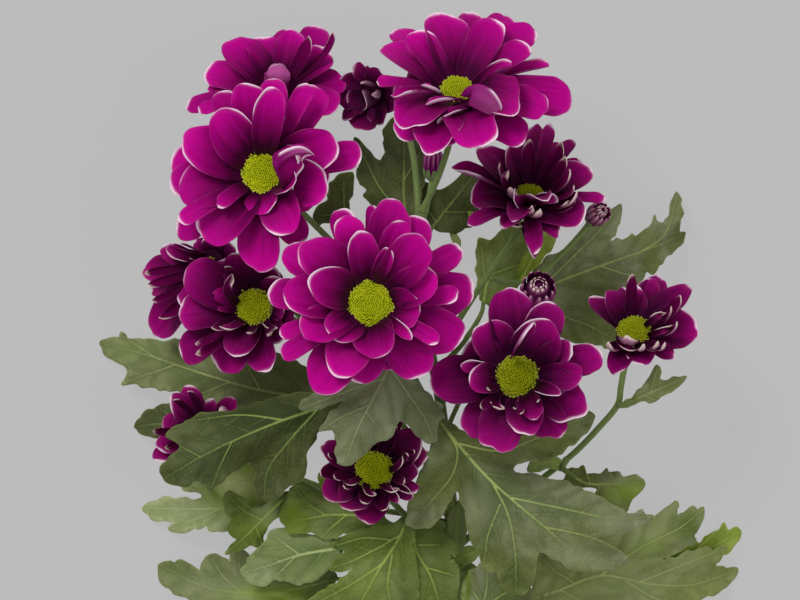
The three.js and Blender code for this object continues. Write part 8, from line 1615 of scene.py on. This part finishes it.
def make_leaf(l):
    k = l["id"]
    R = random.Random("leaf" + k)
    out = round_outline(l["o"], 0.9, k)
    mains = [np.array(v, float) for v in l["v"]]
    mains = [curve_points(v, 1.1)[0] if len(v) > 2 else np.array([v[0] + (v[1] - v[0]) * t for t in np.linspace(0, 1, max(3, int(np.linalg.norm(v[1] - v[0]) / 1.1)))]) for v in mains]
    ctrl = np.concatenate([m[::3] for m in mains] + [m[-1:] for m in mains])
    # lines: polyline, half width at its start and end, strength
    lines = []
    for i, m in enumerate(mains):
        L = np.linalg.norm(np.diff(m[:, :2], axis=0), axis=1).sum()
        w0 = 0.62 if i == 0 else min(0.42, 0.2 + 0.006 * L)
        lines.append((m[:, :2], w0 * 1.45, 0.34, 1.0))
    oA, oB = out, np.roll(out, -1, axis=0)
    mA = np.concatenate([x[0][:-1] for x in lines])
    mB = np.concatenate([x[0][1:] for x in lines])
    subs = []
    for i, m in enumerate(mains):
        seg = np.linalg.norm(np.diff(m[:, :2], axis=0), axis=1)
        d = np.r_[0, np.cumsum(seg)]
        L = d[-1]
        side = 1
        x = 5.0 + R.uniform(0, 2)
        while x < L - 3.5:
            p = np.array([np.interp(x, d, m[:, 0]), np.interp(x, d, m[:, 1])])
            p2 = np.array([np.interp(min(L, x + 1), d, m[:, 0]), np.interp(min(L, x + 1), d, m[:, 1])])
            t = p2 - p
            t /= np.linalg.norm(t) + 1e-9
            for sg in (side,):
                an = sg * math.radians(R.uniform(38, 50))
                dr = np.array([t[0] * math.cos(an) - t[1] * math.sin(an), t[0] * math.sin(an) + t[1] * math.cos(an)])
                pts = [p]
                cur = p.copy()
                for stp in range(14):
                    dr = dr + 0.035 * t
                    dr /= np.linalg.norm(dr)
                    cur = cur + dr * 1.1
                    if not inside(cur[:1], cur[1:2], out)[0] or seg_dist(cur[None], oA, oB)[0] < 0.9:
                        break
                    if stp > 2:
                        keep = np.hypot(*(mA - p).T) > 3.0
                        if keep.any() and seg_dist(cur[None], mA[keep], mB[keep])[0] < 1.0:
                            break
                    pts.append(cur.copy())
                if len(pts) >= 4:
                    subs.append((np.array(pts), 0.34, 0.22, 0.50))
            side = -side
            x += R.uniform(4.0, 5.8)
    lines += subs
    # plane points
    V2, E = [], []
    def chain(P, close=False):
        base = len(V2)
        V2.extend([tuple(p) for p in P])
        for i in range(len(P) - 1):
            E.append((base + i, base + i + 1))
        if close:
            E.append((base + len(P) - 1, base))
    chain(out, True)
    for P, w0, w1, st in lines:
        n = len(P)
        w = np.linspace(w0, w1, n)
        t = np.gradient(P, axis=0)
        t /= np.linalg.norm(t, axis=1, keepdims=True) + 1e-9
        nr = np.stack([-t[:, 1], t[:, 0]], axis=1)
        chain(P)
        for sg in (1, -1):
            Q = P + sg * nr * w[:, None]
            ok = inside(Q[:, 0], Q[:, 1], out)
            Q = Q[ok]
            if len(Q) > 1:
                Q = Q[seg_dist(Q, oA, oB) > 0.25]
                if len(Q) > 1:
                    chain(Q)
    A0, A1 = out.min(0), out.max(0)
    st = 1.5
    gx, gy = np.meshgrid(np.arange(A0[0], A1[0], st), np.arange(A0[1], A1[1], st * 0.87))
    gx = gx + (np.arange(gx.shape[0]) % 2)[:, None] * st * 0.5
    G = np.stack([gx.ravel(), gy.ravel()], axis=1)
    G += np.array([[R.uniform(-0.15, 0.15), R.uniform(-0.15, 0.15)] for _ in range(len(G))])
    G = G[inside(G[:, 0], G[:, 1], out)]
    oP, _, _ = sampled([np.vstack([out, out[:1]])], 0.25)
    oT = make_tree(oP)
    lP, lI, lT = sampled([x[0] for x in lines], 0.2)
    lTree = make_tree(lP)
    G = G[nearest(oT, G)[0] > 0.6]
    G = G[nearest(lTree, G)[0] > 0.8]
    V2.extend([tuple(p) for p in G])
    vo, eo, fo, _, _, _ = delaunay_2d_cdt([Vector(p) for p in V2], E, [], 0, 1e-5)
    X = np.array([(v.x, v.y) for v in vo])
    tri = np.array([f for f in fo if len(f) == 3])
    cen = X[tri].mean(1)
    tri = tri[inside(cen[:, 0], cen[:, 1], out)]
    used = np.unique(tri)
    remap = -np.ones(len(X), int)
    remap[used] = np.arange(len(used))
    tri = remap[tri]
    X = X[used]
    # orient upwards
    a, b, c_ = X[tri[:, 0]], X[tri[:, 1]], X[tri[:, 2]]
    area = (b[:, 0] - a[:, 0]) * (c_[:, 1] - a[:, 1]) - (b[:, 1] - a[:, 1]) * (c_[:, 0] - a[:, 0])
    tri[area < 0] = tri[area < 0][:, ::-1]
    tri = tri[np.abs(area) > 1e-7]
    # height
    Z = leaf_heights(X, ctrl)
    nm = len(mains)
    mk = lI < nm
    mP, mI, mT = lP[mk], lI[mk], lT[mk]
    mTree = make_tree(mP)
    dm, im = nearest(mTree, X)
    de, _ = nearest(oT, X)
    dl, il = nearest(lTree, X)
    W0 = np.array([x[1] for x in lines])
    W1 = np.array([x[2] for x in lines])
    ST = np.array([x[3] for x in lines])
    def strength(dist, line, pos):
        w = W0[line] + (W1[line] - W0[line]) * pos
        return ST[line] * np.clip(1 - dist / w, 0, 1) * (1 - 0.55 * pos ** 2)
    vein = np.maximum(strength(dm, mI[im], mT[im]), strength(dl, lI[il], lT[il]))
    dall = np.minimum(dm, dl * np.where(lI[il] < nm, 1.0, 1.35))
    ph = [R.uniform(0, 6.28) for _ in range(6)]
    Z = Z + 0.95 * smooth(0.0, 3.4, dall) - 0.30
    Z = Z + 0.35 * np.sin(X[:, 0] / 5.1 + ph[0] + 0.8 * np.sin(X[:, 1] / 6.3 + ph[1])) * smooth(1, 6, dm)
    Z = Z + 0.5 * np.sin(X[:, 0] / 9.0 + X[:, 1] / 7.0 + ph[2]) * smooth(2, 8, dm)
    Z = Z + (0.55 * np.sin(X[:, 0] / 2.9 + ph[3]) * np.sin(X[:, 1] / 3.3 + ph[4]) + 0.3) * np.exp(-(de / 1.6) ** 2)
    Z = Z + 0.22 * vein
    Z = np.maximum(Z, LEAF_T * 0.5 + 0.02)
    # boundary loop from the triangles
    half = {(int(f[i]), int(f[(i + 1) % 3])) for f in tri for i in range(3)}
    border = sorted(e for e in half if (e[1], e[0]) not in half)
    n = len(X)
    T = LEAF_T * (0.5 + 0.5 * smooth(0.0, 1.2, de)) * 0.5
    top = np.c_[X, Z + T]
    bot = np.c_[X, np.maximum(Z - T - 0.55 * vein * (Z > 3), 0.0)]
    Vv = np.vstack([top, bot])
    Fc = [tri, tri[:, ::-1] + n, np.array([(b_, a_, a_ + n, b_ + n) for a_, b_ in border])]
    near = np.exp(-dall / 1.7)
    rim = np.exp(-(de / 0.35) ** 2)
    side = np.r_[np.ones(n), np.zeros(n)]
    B = Build()
    ix = 400.0 + X[:, 0] * FOCAL_PX / (CAM_H - Z)
    iy = 300.0 - X[:, 1] * FOCAL_PX / (CAM_H - Z)
    # painted sunlight (+) and painted shade (-) at the listed picture places, carried in the aux attribute
    painted_sun_shade = np.zeros(n)
    for a0, b0, ra, rb, amt in PAINTED_SUN_AND_SHADE.get(k, ()):
        painted_sun_shade += amt * np.exp(-((ix - a0) / ra) ** 2 - ((iy - b0) / rb) ** 2)
    painted_sun_shade = np.clip(painted_sun_shade, -1, 2)
    # painted grey sheen at the listed picture places, carried in the rnd attribute
    painted_sheen = np.zeros(n)
    for a0, b0, ra, rb, amt in PAINTED_GREY_SHEEN.get(k, ()):
        painted_sheen += amt * np.exp(-((ix - a0) / ra) ** 2 - ((iy - b0) / rb) ** 2)
    painted_sheen = np.clip(painted_sheen, 0, 1)
    B.add(Vv, Fc, 0, s=np.r_[vein, vein], u=np.r_[near, near], rim=np.r_[rim, rim], side=side, rnd=np.r_[painted_sheen, painted_sheen], aux=np.r_[painted_sun_shade, painted_sun_shade])
    for j, (pts, W, *own) in enumerate(BRACTS.get(k, ())):
        z0 = float(leaf_heights(image_point(pts[0][0], pts[0][1], pts[0][2])[None, :2], ctrl)[0]) if pts[0][2] < 0 else 0.0
        bract(B, [(a0, b0, (z0 - 0.2 + 1.2 * i) if pts[0][2] < 0 else c0) for i, (a0, b0, c0) in enumerate(pts)], W, "x%s%d" % (k, j), own[0] if own else 2)
    # leaf stalk, flowing into the midrib underneath
    m0 = mains[0]
    path = [np.array(p, float) for p in l["p"][::-1]]
    path[-1] = m0[0] + np.array([0, 0, -0.35])
    ks = [i for i in range(3, len(m0), 5) if m0[i][2] > 6 and i < 0.7 * len(m0)]
    zz = leaf_heights(m0[:, :2], ctrl)
    path += [np.array([m0[i][0], m0[i][1], zz[i] - 0.65]) for i in ks[:5]]
    npth = max(1, len(path))
    fr = len(l["p"]) / npth
    tube(B, path, lambda x: (1.25 - 0.25 * min(1, x / 0.15)) if x < fr * 0.8 else max(0.35, 1.0 - 0.75 * (x - fr * 0.8) / max(0.05, 1 - fr * 0.8)), 1, sides=12, ribs=3, rib=0.08, seed=k)
    ob = B.object("leaf_piece_" + k, [M_LEAF[LEAF_KIND[k]], M_STALK, M_LEAF["lime"]])
    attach(ob, "root")
    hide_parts("leaf_" + k)

for l in LEAVES:
    make_leaf(l)

# ------------------------------------------------------------------ floor, light, camera
def floor_material():
    N = Nodes("floor_pale")
    a = N.noise(N.obj(), 3.0, 2.0, 0.5)
    N.link(N.mix(N.math("MULTIPLY", a, 0.04), (0.068, 0.068, 0.068, 1), (0.063, 0.063, 0.063, 1)), N.b.inputs["Base Color"])
    N.set(Roughness=0.9)
    N.b.inputs["Specular IOR Level"].default_value = 0.1
    N.b.inputs["Emission Color"].default_value = (1.0, 1.0, 1.0, 1.0)
    N.b.inputs["Emission Strength"].default_value = 0.435
    return N.mat
me = bpy.data.meshes.new("floor")
me.from_pydata([(-6, -6, 0), (6, -6, 0), (6, 6, 0), (-6, 6, 0)], [], [(0, 1, 2, 3)])
me.materials.append(floor_material())
fl = bpy.data.objects.new("floor", me)
bpy.context.scene.collection.objects.link(fl)
fl.location.z = -0.0002

def area(name, loc, size, power, target=(0, 0.12, 0.05)):
    d = bpy.data.lights.new(name, "AREA")
    d.shape = "DISK"
    d.size = size
    d.energy = power
    o = bpy.data.objects.new(name, d)
    o.location = loc
    o.rotation_euler = (Vector(target) - Vector(loc)).to_track_quat("-Z", "Y").to_euler()
    bpy.context.scene.collection.objects.link(o)
    return o
cx, cy = SHIFT[0] * MM, SHIFT[1] * MM
area("key", (cx - 0.55, cy + 0.75, 1.35), 0.55, 13.0)
area("fill", (cx + 0.8, cy - 0.2, 1.5), 1.2, 6.0)
w = bpy.data.worlds.new("studio")
w.use_nodes = True
w.node_tree.nodes["Background"].inputs[0].default_value = (1, 1, 1, 1)
w.node_tree.nodes["Background"].inputs[1].default_value = 0.45
bpy.context.scene.world = w

cam = bpy.data.cameras.new("camera")
cam.sensor_width = 36.0
cam.lens = FOCAL_PX / 800.0 * 36.0
cam.clip_start = 0.05
cam.clip_end = 20.0
co_ = bpy.data.objects.new("camera", cam)
co_.location = (cx, cy, CAM_H * MM)
co_.rotation_euler = (0, 0, 0)
bpy.context.scene.collection.objects.link(co_)
bpy.context.scene.camera = co_
bpy.context.scene.view_settings.view_transform = "Standard"
bpy.context.scene.view_settings.look = "None"
bpy.context.scene.view_settings.exposure = 0.0
bpy.context.scene.view_settings.gamma = 1.0
